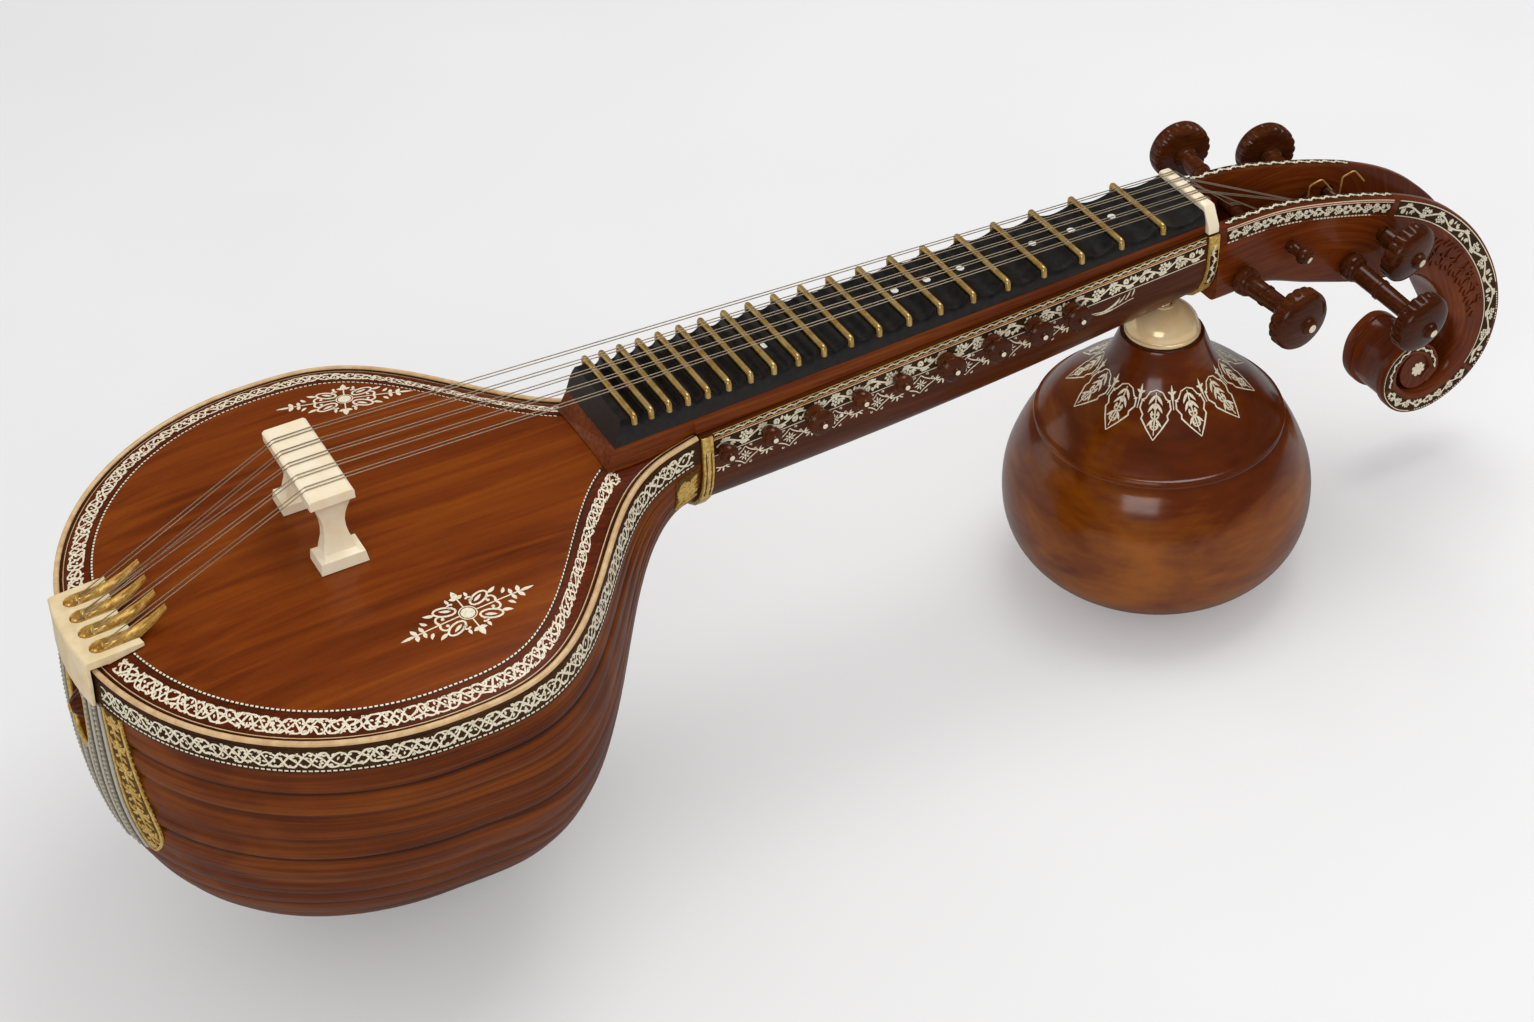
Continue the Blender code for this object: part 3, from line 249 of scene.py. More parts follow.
def rodMesh(a, b, radius, steps, material):
    # a plain pin between two points, for cuts and cores
    a, b = Vector(a), Vector(b)
    axis = (b - a).normalized()
    side = axis.orthogonal().normalized()
    other = axis.cross(side)
    rings = [[end + (side * cos(t) + other * sin(t)) * radius for t in (2 * pi * k / steps for k in range(steps))]
             for end in (a, b)]
    return loftMesh("pin", rings, material)


def joinWith(mesh, other, operation):
    work = bpy.data.objects.new("joinWork", mesh)
    tool = bpy.data.objects.new("joinTool", other)
    for obj in (work, tool):
        bpy.context.scene.collection.objects.link(obj)
    step = work.modifiers.new("join", "BOOLEAN")
    step.operation = operation
    step.solver = "EXACT"
    step.object = tool
    graph = bpy.context.evaluated_depsgraph_get()
    made = bpy.data.meshes.new_from_object(work.evaluated_get(graph))
    for obj in (work, tool):
        bpy.data.objects.remove(obj)
    return made


joints = {joint["child"]: (Vector(joint["pos_m"]), Vector(joint["axis"]).normalized())
          for joint in frame["joints"]}


# --- materials: each is named for what the real one is ---

def startMaterial(name):
    material = bpy.data.materials.new(name)
    material.use_nodes = True
    tree = material.node_tree
    return material, tree, tree.nodes["Principled BSDF"]


def setRamp(ramp, stops):
    elements = ramp.color_ramp.elements
    while len(elements) < len(stops):
        elements.new(1.0)
    for element, (place, hexCode) in zip(elements, stops):
        element.position = place
        element.color = toLinear(hexCode)


woodLooks = {
    # real sizes in millimetres: how wide a streak is, and how long it runs; flow follows the piece's own map
    "bowlJackwood": {"dark": "3C1504", "mid": "622B08", "light": "82420D", "wideMm": 5.0, "longMm": 220.0,
                     "gloss": 0.28, "coat": 0.25, "shine": 0.07, "flow": True, "valleyShadeAndDust": True},
    "boardJackwood": {"dark": "471803", "mid": "723108", "light": "8E450A", "wideMm": 11.0, "longMm": 190.0,
                      "gloss": 0.30, "coat": 0.24, "shine": 0.08, "flow": False, "spread": 0.25},
    "plinthJackwood": {"dark": "401606", "mid": "662B0A", "light": "824010", "wideMm": 3.0, "longMm": 110.0,
                       "gloss": 0.28, "coat": 0.12, "shine": 0.12, "flow": False},
    "neckRosewood": {"dark": "2E1308", "mid": "4E230E", "light": "6A3615", "wideMm": 3.0, "longMm": 90.0,
                     "gloss": 0.28, "coat": 0.12, "shine": 0.14, "flow": False, "spread": 0.23},
    "scrollRosewood": {"dark": "35140A", "mid": "64290B", "light": "874313", "wideMm": 3.5, "longMm": 80.0,
                       "gloss": 0.24, "coat": 0.30, "shine": 0.14, "flow": True, "spread": 0.26},
    "pegRosewood": {"dark": "1E0A04", "mid": "431C08", "light": "663412", "wideMm": 2.0, "longMm": 30.0,
                    "gloss": 0.22, "coat": 0.35, "shine": 0.14, "flow": False, "spread": 0.30},
    "bandEbony": {"dark": "2A180D", "mid": "3A2412", "light": "4A321C", "wideMm": 2.0, "longMm": 40.0,
                  "gloss": 0.36, "coat": 0.03, "shine": 0.07, "flow": False},
    "bandRedwood": {"dark": "3C1203", "mid": "581F06", "light": "6E2B0A", "wideMm": 2.0, "longMm": 60.0,
                    "gloss": 0.34, "coat": 0.03, "shine": 0.07, "flow": False},
}


def lacqueredWood(name, look):
    # long streaks under a clear lacquer: slow clouds of tone, then streaks, then fine dark pores
    material, tree, shader = startMaterial(name)
    if look["flow"]:
        place = addNode(tree, "ShaderNodeUVMap", uv_map="flow").outputs[0]
        body = addNode(tree, "ShaderNodeTexCoord").outputs["Object"]
    else:
        place = body = addNode(tree, "ShaderNodeTexCoord").outputs["Object"]
    across, along = 1000 / look["wideMm"], 1000 / look["longMm"]
    stretch = addNode(tree, "ShaderNodeMapping", {"Scale": (along, across, across)}, {"Vector": place})
    streaks = addNode(tree, "ShaderNodeTexNoise", {"Scale": 1.0, "Detail": 4.0, "Roughness": 0.55,
                                                   "Distortion": 0.8}, {"Vector": stretch.outputs[0]})
    slow = addNode(tree, "ShaderNodeMapping", {"Scale": (3.2, 14.0, 14.0)}, {"Vector": body})
    clouds = addNode(tree, "ShaderNodeTexNoise", {"Scale": 1.0, "Detail": 3.0, "Roughness": 0.5,
                                                  "Distortion": 1.2}, {"Vector": slow.outputs[0]})
    blend = addNode(tree, "ShaderNodeMix", {"Factor": 0.42}, {"A": streaks.outputs["Fac"],
                                                              "B": clouds.outputs["Fac"]})
    ramp = addNode(tree, "ShaderNodeValToRGB", feeds={"Fac": blend.outputs["Result"]})
    spread = look.get("spread", 0.18)
    setRamp(ramp, [(0.48 - spread, look["dark"]), (0.48, look["mid"]), (0.48 + spread, look["light"])])
    pores = addNode(tree, "ShaderNodeMapping", {"Scale": (180.0, 2600.0, 2600.0)}, {"Vector": place})
    specks = addNode(tree, "ShaderNodeTexNoise", {"Scale": 1.0, "Detail": 1.0}, {"Vector": pores.outputs[0]})
    pick = addNode(tree, "ShaderNodeMapRange", {"From Min": 0.60, "From Max": 0.74, "To Max": 0.30},
                   {"Value": specks.outputs["Fac"]})
    darker = addNode(tree, "ShaderNodeMix", data_type="RGBA", blend_type="MULTIPLY")
    tree.links.new(pick.outputs[0], darker.inputs["Factor"])
    tree.links.new(ramp.outputs["Color"], darker.inputs["A"])
    darker.inputs["B"].default_value = toLinear("6A4A38")
    tone = darker
    if look.get("valleyShadeAndDust"):
        # the carved valleys are darkened: painted shade, and the polish and dust that gather there
        valley = addNode(tree, "ShaderNodeAttribute", attribute_name="hollowShadeAndGrime")
        share = addNode(tree, "ShaderNodeMapRange", {"From Min": 0.15, "From Max": 1.0, "To Max": 0.88},
                        {"Value": valley.outputs["Fac"]})
        tone = addNode(tree, "ShaderNodeMix", data_type="RGBA", blend_type="MULTIPLY")
        tree.links.new(share.outputs[0], tone.inputs["Factor"])
        tree.links.new(darker.outputs["Result"], tone.inputs["A"])
        tone.inputs["B"].default_value = toLinear("4A2C22")
    tree.links.new(tone.outputs["Result"], shader.inputs["Base Color"])
    bump = addNode(tree, "ShaderNodeBump", {"Strength": 0.10, "Distance": 0.0003},
                   {"Height": streaks.outputs["Fac"]})
    tree.links.new(bump.outputs["Normal"], shader.inputs["Normal"])
    shader.inputs["Roughness"].default_value = look["gloss"]
    shader.inputs["Coat Weight"].default_value = look["coat"]
    shader.inputs["Coat Roughness"].default_value = 0.10
    shader.inputs["Specular IOR Level"].default_value = look["shine"]
    return material


woods = {name: lacqueredWood(name, look) for name, look in woodLooks.items()}


def speckled(name, dark, light, spotMm, roughness, metallic=0.0, bumpMm=0.02, coat=0.0, stretch=(1, 1, 1)):
    # a body colour with small tone changes, and a roughness that goes with them
    material, tree, shader = startMaterial(name)
    place = addNode(tree, "ShaderNodeTexCoord")
    pull = addNode(tree, "ShaderNodeMapping", {"Scale": stretch}, {"Vector": place.outputs["Object"]})
    spots = addNode(tree, "ShaderNodeTexNoise", {"Scale": 1000 / spotMm, "Detail": 4.0, "Roughness": 0.6},
                    {"Vector": pull.outputs[0]})
    ramp = addNode(tree, "ShaderNodeValToRGB", feeds={"Fac": spots.outputs["Fac"]})
    setRamp(ramp, [(0.35, dark), (0.62, light)])
    tree.links.new(ramp.outputs["Color"], shader.inputs["Base Color"])
    spread = addNode(tree, "ShaderNodeMapRange", {"To Min": roughness * 0.8, "To Max": roughness * 1.25},
                     {"Value": spots.outputs["Fac"]})
    tree.links.new(spread.outputs[0], shader.inputs["Roughness"])
    if bumpMm:
        bump = addNode(tree, "ShaderNodeBump", {"Strength": 0.3, "Distance": bumpMm / 1000},
                       {"Height": spots.outputs["Fac"]})
        tree.links.new(bump.outputs["Normal"], shader.inputs["Normal"])
    shader.inputs["Metallic"].default_value = metallic
    shader.inputs["Coat Weight"].default_value = coat
    return material


polishedBone = speckled("polishedBone", "F2DDB8", "F8EACE", 22.0, 0.30, bumpMm=0.0, coat=0.15)  # warm cream
yellowedBone = speckled("yellowedBone", "DEC392", "ECD6AC", 18.0, 0.34, bumpMm=0.0, coat=0.1)  # handled bone
agedBone = speckled("agedBone", "C89F6E", "DEBB8A", 9.0, 0.34, bumpMm=0.0, coat=0.1)       # bone gone tan with age
inlaidBone = speckled("inlaidBone", "D8CAA8", "F2E8D0", 1.6, 0.42, bumpMm=0.03)     # cut thin, ink in its scratches
gildedBrass = speckled("gildedBrass", "CC9836", "F8D67C", 2.4, 0.36, 0.45, 0.05)     # chased, dark in the hollows
antiqueGilt = speckled("antiqueGilt", "4C320E", "7E5A1E", 1.8, 0.50, 0.5, 0.05)     # the sunk ground of gilt work
brassPaintedReflection = speckled("brassPaintedReflection", "FCD494", "FFE2B2", 30.0, 0.20, 0.3, 0.0, 0.6)  # buffed; the pale colour is partly the metal's own and partly a painted reflection of the bright room
clipBrass = speckled("clipBrass", "C08A34", "F0C870", 6.0, 0.34, 0.55, 0.02)         # worn sheet brass
fretBrass = speckled("fretBrass", "CFA050", "EAC67C", 9.0, 0.28, 0.7, 0.0)          # drawn rod, rubbed bright
drawnSteel = speckled("drawnSteel", "A0907C", "BCAA90", 30.0, 0.34, 0.6, bumpMm=0.0, stretch=(0.2, 1, 1))  # wire
blackWax = speckled("blackWax", "121010", "201C1A", 6.0, 0.34, bumpMm=0.03, coat=0.05)   # black wax, satin
redStripe = speckled("redStripe", "96390C", "C4601C", 3.0, 0.38)                    # orange-red stained line
pearl = speckled("pearl", "E4E0D4", "FAF7F0", 2.5, 0.22, coat=0.5)                  # shell dots, bright


def beatenSilver():
    # silver sheet beaten over ribs: bright on the crests, black with age in the furrows
    material, tree, shader = startMaterial("embossedSilver")
    furrow = addNode(tree, "ShaderNodeAttribute", attribute_name="hollowShadeAndGrime")
    place = addNode(tree, "ShaderNodeTexCoord")
    dents = addNode(tree, "ShaderNodeTexNoise", {"Scale": 420.0, "Detail": 2.0}, {"Vector": place.outputs["Object"]})
    blend = addNode(tree, "ShaderNodeMix", {"Factor": 0.22}, {"A": furrow.outputs["Fac"], "B": dents.outputs["Fac"]})
    ramp = addNode(tree, "ShaderNodeValToRGB", feeds={"Fac": blend.outputs["Result"]})
    setRamp(ramp, [(0.16, "D0C7B4"), (0.42, "8A8070"), (0.74, "2A241C")])
    tree.links.new(ramp.outputs["Color"], shader.inputs["Base Color"])
    shader.inputs["Metallic"].default_value = 0.35
    shader.inputs["Roughness"].default_value = 0.40
    return material


embossedSilver = beatenSilver()


def lacqueredGourd():
    # a dried gourd, stained and lacquered: amber where the skin is thin, dark clouds where stain gathers
    material, tree, shader = startMaterial("lacqueredGourd")
    place = addNode(tree, "ShaderNodeTexCoord")
    slow = addNode(tree, "ShaderNodeMapping", {"Scale": (9.0, 9.0, 16.0)}, {"Vector": place.outputs["Object"]})
    clouds = addNode(tree, "ShaderNodeTexNoise", {"Scale": 1.0, "Detail": 5.0, "Roughness": 0.55,
                                                  "Distortion": 0.7}, {"Vector": slow.outputs[0]})
    fine = addNode(tree, "ShaderNodeMapping", {"Scale": (40.0, 40.0, 190.0)},
                   {"Vector": place.outputs["Object"]})
    rings = addNode(tree, "ShaderNodeTexNoise", {"Scale": 1.0, "Detail": 3.0}, {"Vector": fine.outputs[0]})
    blend = addNode(tree, "ShaderNodeMix", {"Factor": 0.22}, {"A": clouds.outputs["Fac"],
                                                              "B": rings.outputs["Fac"]})
    # darker over the shoulder and more amber round the belly, going by height
    parts = addNode(tree, "ShaderNodeSeparateXYZ", feeds={"Vector": place.outputs["Object"]})
    lower = addNode(tree, "ShaderNodeMapRange", {"From Min": 0.176, "From Max": 0.108, "To Min": -0.07, "To Max": 0.13},
                    {"Value": parts.outputs["Z"]})
    shift = addNode(tree, "ShaderNodeMath", feeds={0: blend.outputs["Result"], 1: lower.outputs["Result"]})
    ramp = addNode(tree, "ShaderNodeValToRGB", feeds={"Fac": shift.outputs["Value"]})
    setRamp(ramp, [(0.22, "3E1502"), (0.46, "602602"), (0.74, "945008")])
    tree.links.new(ramp.outputs["Color"], shader.inputs["Base Color"])
    shader.inputs["Roughness"].default_value = 0.28
    shader.inputs["Specular IOR Level"].default_value = 0.12
    shader.inputs["Coat Weight"].default_value = 1.0
    shader.inputs["Coat Roughness"].default_value = 0.15
    return material


gourdLacquer = lacqueredGourd()
print("materials made")


# --- pieces that keep their plain shape, with smooth light and broken edges ---

plainLooks = {
    "tail_saddle": (yellowedBone, "bone", 40, 1.0),
    "bridge": (polishedBone, "bone", 40, 0.9),
    "nut": (polishedBone, "bone", 40, 0.7),
    "fretboard_plinth": (woods["plinthJackwood"], "plinth_wood", 30, 0.3),
    "nut_ring": (gildedBrass, "gilt_brass", 40, 0.0),
    "joint_ring": (gildedBrass, "gilt_brass", 40, 0.0),
    "tail_clip_1": (clipBrass, "polished_brass", 30, 0.0),
    "tail_clip_2": (clipBrass, "polished_brass", 30, 0.0),
    "tail_clip_3": (clipBrass, "polished_brass", 30, 0.0),
    "tail_clip_4": (clipBrass, "polished_brass", 30, 0.0),
    "string_course_1": (drawnSteel, "string_steel", 60, 0.0),
    "string_course_2": (drawnSteel, "string_steel", 60, 0.0),
    "string_course_3": (drawnSteel, "string_steel", 60, 0.0),
    "string_course_4": (drawnSteel, "string_steel", 60, 0.0),
    "string_course_5": (drawnSteel, "string_steel", 60, 0.0),
}
for nodeName, (material, slot, sharp, bevelMm) in plainLooks.items():
    smoothNode(nodeName, material, slot, sharp, bevelMm)
# the photo's bridge is stouter than the plain one: it grows about its own middle, its height kept
bridgeLook = {"stout": 1.20, "broad": 1.13}
bridgeMesh = bpy.data.objects["bridge_look"].data
middle = sum((v.co for v in bridgeMesh.vertices), Vector()) / len(bridgeMesh.vertices)
for v in bridgeMesh.vertices:
    v.co.x = middle.x + (v.co.x - middle.x) * bridgeLook["stout"]
    v.co.y = middle.y + (v.co.y - middle.y) * bridgeLook["broad"]
print("plain pieces dressed:", len(plainLooks))


# --- the body's outline, as the frame has it: x runs from the bowl's middle to the scroll ---

body = {
    "rimZ": 0.302, "rimHalf": 0.2135, "rimTail": 0.200, "jointX": 0.258, "bulge": 0.017,
    "shoulderBulge": 0.021, "round": 1.70, "keelRound": 2.5, "wall": 0.010, "flat": 0.0022,
    "fluteCount": 34, "fluteDepth": 0.0023, "boardRise": 0.0155, "boardInset": 0.0058,
    "nutX": 0.701, "neckHalf": (0.0465, 0.0385), "deckZ": (0.319, 0.3335), "bottomZ": (0.2372, 0.2642),
}
gourdLow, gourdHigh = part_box("gourd")
bodyX = (gourdLow.x + gourdHigh.x) / 2 - 0.6835   # where the bowl's middle lies in the frame


def neckShare(x):
    return (x - body["jointX"]) / (body["nutX"] - body["jointX"])


def neckHalf(x):
    return mix(*body["neckHalf"], neckShare(x))


def deckZ(x):
    return mix(*body["deckZ"], neckShare(x))


def neckBottom(x):
    return mix(*body["bottomZ"], max(0.0, neckShare(x)) ** 2.1)


def rimHalf(x):
    if x < 0:
        return body["rimHalf"] * sqrt(max(0.0, 1 - (x / body["rimTail"]) ** 2))
    t = min(1.0, x / body["jointX"])
    return mix(body["neckHalf"][0], body["rimHalf"], (1 - t ** 3) ** 3.75)


def rimZ(x):
    t = min(1.0, max(0.0, x / body["jointX"]))
    return mix(body["rimZ"], body["deckZ"][0], t ** 4)


def edgeHalf(x, inset):
    # half the width at a distance, square to the rim, inside it
    if x < 0:
        reach = max(0.0, 1 - (x / (body["rimTail"] - inset)) ** 2)
        return (body["rimHalf"] - inset) * sqrt(reach)
    slope = (rimHalf(x + 0.001) - rimHalf(x)) / 0.001 if 0 < x < body["jointX"] - 0.001 else 0.0
    return rimHalf(x) - inset * sqrt(1 + slope ** 2)


def boardZ(x, y):
    half = max(1e-6, edgeHalf(x, body["boardInset"]))
    crown = body["rimZ"] + body["boardRise"]
    if x > 0:
        crown = mix(crown, deckZ(x), ease(x / (0.75 * body["jointX"])))
    elif x < 0:
        crown = mix(rimZ(x), crown, 1 - min(1.0, abs(x / body["rimTail"])) ** 3)
    return mix(crown, rimZ(x), min(1.0, abs(y) / half) ** 3)


def tailLength(d, shrink=0.0):
    k = body["keelRound"]
    return (body["rimTail"] - shrink) * max(0.0, 1 - d ** k) ** (1 / k) + body["bulge"] * sin(pi * d ** 1.2)


def bowlPoint(station, side, s, shrink=0.0, flute=0.0):
    # s runs from 0 at the rim to 1 at the keel
    part, u = station
    power = body["round"] if part == "tail" else mix(body["round"], 2.2, u ** 3)
    c = max(0.0, cos(pi / 2 * s)) ** (2 / power)
    d = min(1.0, sin(pi / 2 * s) ** (2 / power))
    swell = sin(pi * d ** 1.2)
    if part == "tail":
        turn = pi / 2 * u
        half = (body["rimHalf"] - shrink) * c + body["bulge"] * swell
        depth = body["rimZ"] + body["flat"] - shrink
        point = Vector((-tailLength(d, shrink) * cos(turn), side * half * sin(turn), body["rimZ"] - depth * d))
        inward = Vector((cos(turn) * c, -side * sin(turn) * c, d))
    else:
        x = body["jointX"] * u
        keel = mix(shrink - body["flat"], body["bottomZ"][0] + shrink, 1 - (1 - u ** 2.7) ** 2)
        bulge = body["bulge"] * (1 - u) ** 2 * (1 + 2 * u) + body["shoulderBulge"] * (4 * u * (1 - u)) ** 2
        point = Vector((x, side * ((rimHalf(x) - shrink) * c + bulge * swell),
                        rimZ(x) - (rimZ(x) - keel) * d))
        inward = Vector((0, -side * c, d))
    point += inward * flute
    point.z = max(point.z, 0.0)
    point.x += bodyX
    return point


def tailAt(y, z):
    # the point of the bowl's tail at a width and a height
    depth = body["rimZ"] + body["flat"]
    d = min(0.999, max(1e-4, (body["rimZ"] - z) / depth))
    s = asin(d ** (body["round"] / 2)) * 2 / pi
    c = max(0.0, cos(pi / 2 * s)) ** (2 / body["round"])
    half = body["rimHalf"] * c + body["bulge"] * sin(pi * d ** 1.2)
    turn = asin(max(-1.0, min(1.0, y / half)))
    return Vector((bodyX - tailLength(d) * cos(turn), y, z))


def fluteDepth(station):
    part, u = station
    fade = ease((u - 0.05) / 0.15) if part == "tail" else ease((1 - u) / 0.30)
    return body["fluteDepth"] * fade


# stations round the body: the tail's turn, then the way to the neck
tailSteps, neckSteps = 30, 52
stations = [("tail", (k / tailSteps) ** 1.15) for k in range(tailSteps)]
stations += [("neck", k / neckSteps) for k in range(neckSteps + 1)]


def sideShare(station, drop):
    # the share down the side at which the bowl lies so far below its rim
    part, u = station
    power, depth = body["round"], body["rimZ"] + body["flat"]
    if part == "neck":
        power = mix(body["round"], 2.2, u ** 3)
        depth = rimZ(body["jointX"] * u) - mix(-body["flat"], body["bottomZ"][0], 1 - (1 - u ** 2.7) ** 2)
    return asin(min(1.0, (drop / depth) ** (power / 2))) * 2 / pi


sideDrops = [0.0041, 0.0068, 0.0102, 0.0138, 0.0172, 0.0202, 0.0228, 0.0245]


# the furrows are cut by hand: no two of them lie or bite the same
handCut = Random(7)
furrowShift = [0.0] + [handCut.uniform(-0.22, 0.22) for _ in range(body["fluteCount"] // 2 - 1)] + [0.0]
furrowBite = [1.0 if n % 3 == 1 else handCut.uniform(0.35, 0.8) for n in range(body["fluteCount"] // 2 + 1)]


def fluteShares(station):
    # (share down the side, how deep the carving is there, of its full depth)
    shares = [(sideShare(station, drop), 0.0) for drop in sideDrops]
    lobes = body["fluteCount"] // 2
    for n in range(lobes):
        for k in range(1, 9):
            t = k / 8
            valley = abs(2 * t - 1) ** 2.4 * furrowBite[n if t < 0.5 else n + 1]
            way = (n + t + mix(furrowShift[n], furrowShift[n + 1], t)) / lobes
            shares.append((mix(shares[len(sideDrops) - 1][0], 1.0, way), valley if n + t < lobes else 0))
    return shares


def bowlMesh():
    rings, hollowShadeAndGrime = [], []
    for station in stations:
        depth, shares = fluteDepth(station), fluteShares(station)
        near = [bowlPoint(station, -1, s, 0, cut * depth) for s, cut in shares]
        far = [bowlPoint(station, 1, s, 0, cut * depth) for s, cut in reversed(shares[:-1])]
        inner = []
        first = shares[0][0]
        for side, row in ((1, (first, 0.2, 0.4, 0.6, 0.8)), (-1, (1.0, 0.8, 0.6, 0.4, 0.2, first))):
            for s in row:
                p = bowlPoint(station, side, s, body["wall"])
                p.x = max(p.x, bodyX - 0.163)
                p.y = max(-0.125, min(0.125, p.y)) if p.x == bodyX - 0.163 else p.y
                inner.append(p)
        rings.append(near + far + inner)
        # how dark each valley is painted, as shade with the dust there, follows the carving's depth
        share = depth / body["fluteDepth"]
        cuts = [cut ** 2.5 * share for s, cut in shares]
        hollowShadeAndGrime.append(cuts + cuts[-2::-1] + [0.0] * (len(inner) + 1))
    count = len(fluteShares(stations[0]))
    bandEnd = sideDrops.index(0.0228)

    def marks(r, c):
        if c < bandEnd or 2 * count - 2 - bandEnd <= c < 2 * count - 2:
            return 1
        return 0
    travel = [0.0]
    for a, b in zip(stations, stations[1:]):
        step = bowlPoint(b, -1, 0.3) - bowlPoint(a, -1, 0.3)
        travel.append(travel[-1] + step.length)
    return loftMesh("bowl_carved", rings, [woods["bowlJackwood"], woods["bandEbony"]], (False, True), travel, marks,
                    hollowShadeAndGrime)


recess = {"y": -0.006, "z": 0.247, "halfWide": 0.017, "halfHigh": 0.030, "floorX": -0.188}


def recessOutline(grow=0.0, steps=20):
    # a round-ended slot, as (y, z)
    reach = recess["halfHigh"] - recess["halfWide"]
    wide = recess["halfWide"] + grow
    out = []
    for end, first in ((1, 0.0), (-1, pi)):
        for k in range(steps + 1):
            turn = first + pi * k / steps
            out.append((recess["y"] + wide * cos(turn), recess["z"] + end * reach + wide * sin(turn)))
    return out


bowlCut = bowlMesh()
pocket = [[Vector((x + bodyX, y, z)) for y, z in recessOutline()] for x in (-0.26, recess["floorX"])]
bowlCut = joinWith(bowlCut, loftMesh("pocketCutter", pocket, woods["pegRosewood"]), "DIFFERENCE")
knobHole = rodMesh((bodyX - 0.198, recess["y"], recess["z"]), (bodyX - 0.150, recess["y"], recess["z"]), 0.0064, 32,
                   woods["pegRosewood"])
bowlCut = joinWith(bowlCut, knobHole, "DIFFERENCE")
finishPiece("bowl_carved", bowlCut, "body", "bowl_wood", ["bowl_shell"], 50)
print("bowl carved:", len(bowlCut.polygons), "faces")


# --- soundboard: strips follow the rim, so that the edge lines stay even ---

board = {
    # how far each line lies inside the rim, and what the strip before it is made of
    "lines": [(0.0050, None), (0.0058, "bandEbony"), (0.0064, "bandRedwood"), (0.0070, "bone"),
              (0.0076, "bandRedwood"), (0.0084, "bandEbony"), (0.0156, "bandRedwood"), (0.0226, "bandRedwood"),
              (0.0232, "bandEbony"), (0.0256, "bandRedwood"), (0.0282, "bandEbony"), (0.0370, "boardJackwood"),
              (0.0460, "boardJackwood")],
    "thick": 0.0032,
}
boardMaterials = {"boardJackwood": woods["boardJackwood"], "bandEbony": woods["bandEbony"],
                  "bandRedwood": woods["bandRedwood"], "bone": agedBone}


def boardPoint(station, side, inset, lift=0.0):
    part, u = station
    if part == "tail":
        x = -(body["rimTail"] - inset) * cos(pi / 2 * u)
        y = side * (body["rimHalf"] - inset) * sin(pi / 2 * u)
    else:
        x = min(body["jointX"] * u, body["jointX"] - 0.0012)
        y = side * edgeHalf(x, inset)
    return Vector((x + bodyX, y, boardZ(x, y) + lift))


def boardMesh():
    insets = [line[0] for line in board["lines"]]
    names = list(boardMaterials)
    inner = 26
    rows = []
    for station in stations:
        near = [boardPoint(station, -1, inset) for inset in insets]
        far = [boardPoint(station, 1, inset) for inset in reversed(insets)]
        a, b = near[-1], far[0]
        middle = []
        for k in range(1, inner):
            y = mix(a.y, b.y, 0.5 - 0.5 * cos(pi * k / inner))
            middle.append(Vector((a.x, y, boardZ(a.x - bodyX, y))))
        rows.append(near + middle + far)
    count = len(rows[0])
    points = [p for row in rows for p in row]
    faces = gridFaces(len(rows), count)
    strips = len(insets) - 1
    marks = []
    for r in range(len(rows) - 1):
        for c in range(count - 1):
            k = min(c, count - 2 - c)
            marks.append(names.index(board["lines"][k + 1][1]) if k < strips else 0)
    mesh = meshFrom("soundboard_inlaid", points, faces, list(boardMaterials.values()), None, marks)
    closeUp(mesh)
    if sum(p.normal.z for p in mesh.polygons) < 0:
        mesh.flip_normals()
    return mesh


boardPiece = finishPiece("soundboard_inlaid", boardMesh(), "body", "soundboard_wood", ["soundboard"], 40)
plate = boardPiece.modifiers.new("plate", "SOLIDIFY")
plate.thickness = board["thick"]
plate.offset = -1
print("soundboard laid")


# --- neck and fretboard ---

def neckSection(x, grow=0.0, steps=36, straight=0.012, power=2.2):
    half, top, bottom = neckHalf(x) + grow, deckZ(x), neckBottom(x) - grow
    spring = top - straight
    ring = [Vector((x + bodyX, -half, top)), Vector((x + bodyX, -half, top - 0.006))]
    for k in range(steps + 1):
        c, s = cos(pi * k / steps), sin(pi * k / steps)
        y = -half * abs(c) ** (2 / power) * (1 if c > 0 else -1)
        ring.append(Vector((x + bodyX, y, spring - (spring - bottom) * s ** (2 / power))))
    return ring + [Vector((x + bodyX, half, top - 0.006)), Vector((x + bodyX, half, top))]


neck = {"steps": 14}


def neckMesh():
    start, end = body["jointX"] + 0.0003, body["nutX"] + 0.010
    rings = []
    for k in range(neck["steps"] + 1):
        rings.append(neckSection(mix(start, end, k / neck["steps"])))
    mesh = loftMesh("neck_inlaid", rings, woods["neckRosewood"])
    # the hollow opens towards the bowl; a hole for each side peg, and one for the gourd's screw
    hollow = []
    for k in range(9):
        x = mix(body["jointX"] - 0.010, body["nutX"] - 0.080, k / 8)
        ring = neckSection(x, -0.010)
        hollow.append([Vector((p.x, p.y, min(p.z, deckZ(x) - 0.010))) for p in ring])
    mesh = joinWith(mesh, loftMesh("hollow", hollow, woods["neckRosewood"]), "DIFFERENCE")
    for n in range(1, 10):
        place, axis = joints["side_peg_%d" % n]
        hole = rodMesh(place - axis * 0.002, place + axis * 0.026, 0.0040, 24, woods["pegRosewood"])
        mesh = joinWith(mesh, hole, "DIFFERENCE")
    screwLow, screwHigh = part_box("gourd_screw")
    middle = (screwLow + screwHigh) / 2
    hole = rodMesh((middle.x, middle.y, screwHigh.z - 0.030), (middle.x, middle.y, screwHigh.z + 0.002), 0.0062, 32,
                   woods["pegRosewood"])
    return joinWith(mesh, hole, "DIFFERENCE")


finishPiece("neck_inlaid", neckMesh(), "body", "neck_wood", ["neck"], 50)

fretPlan = {"scale": 0.7155, "count": 20, "radius": 0.0022, "legs": 0.0065, "half": (0.0405, 0.0333),
            "blockTop": 0.352, "dip": 0.0050, "boardStart": 0.194, "bottomZ": (0.332, 0.3415)}


def fretX(number):
    return body["nutX"] - fretPlan["scale"] * (1 - 2 ** (-number / 12))


def fretHalf(x):
    last = fretX(fretPlan["count"])
    return mix(*fretPlan["half"], (x - last) / (body["nutX"] - last))


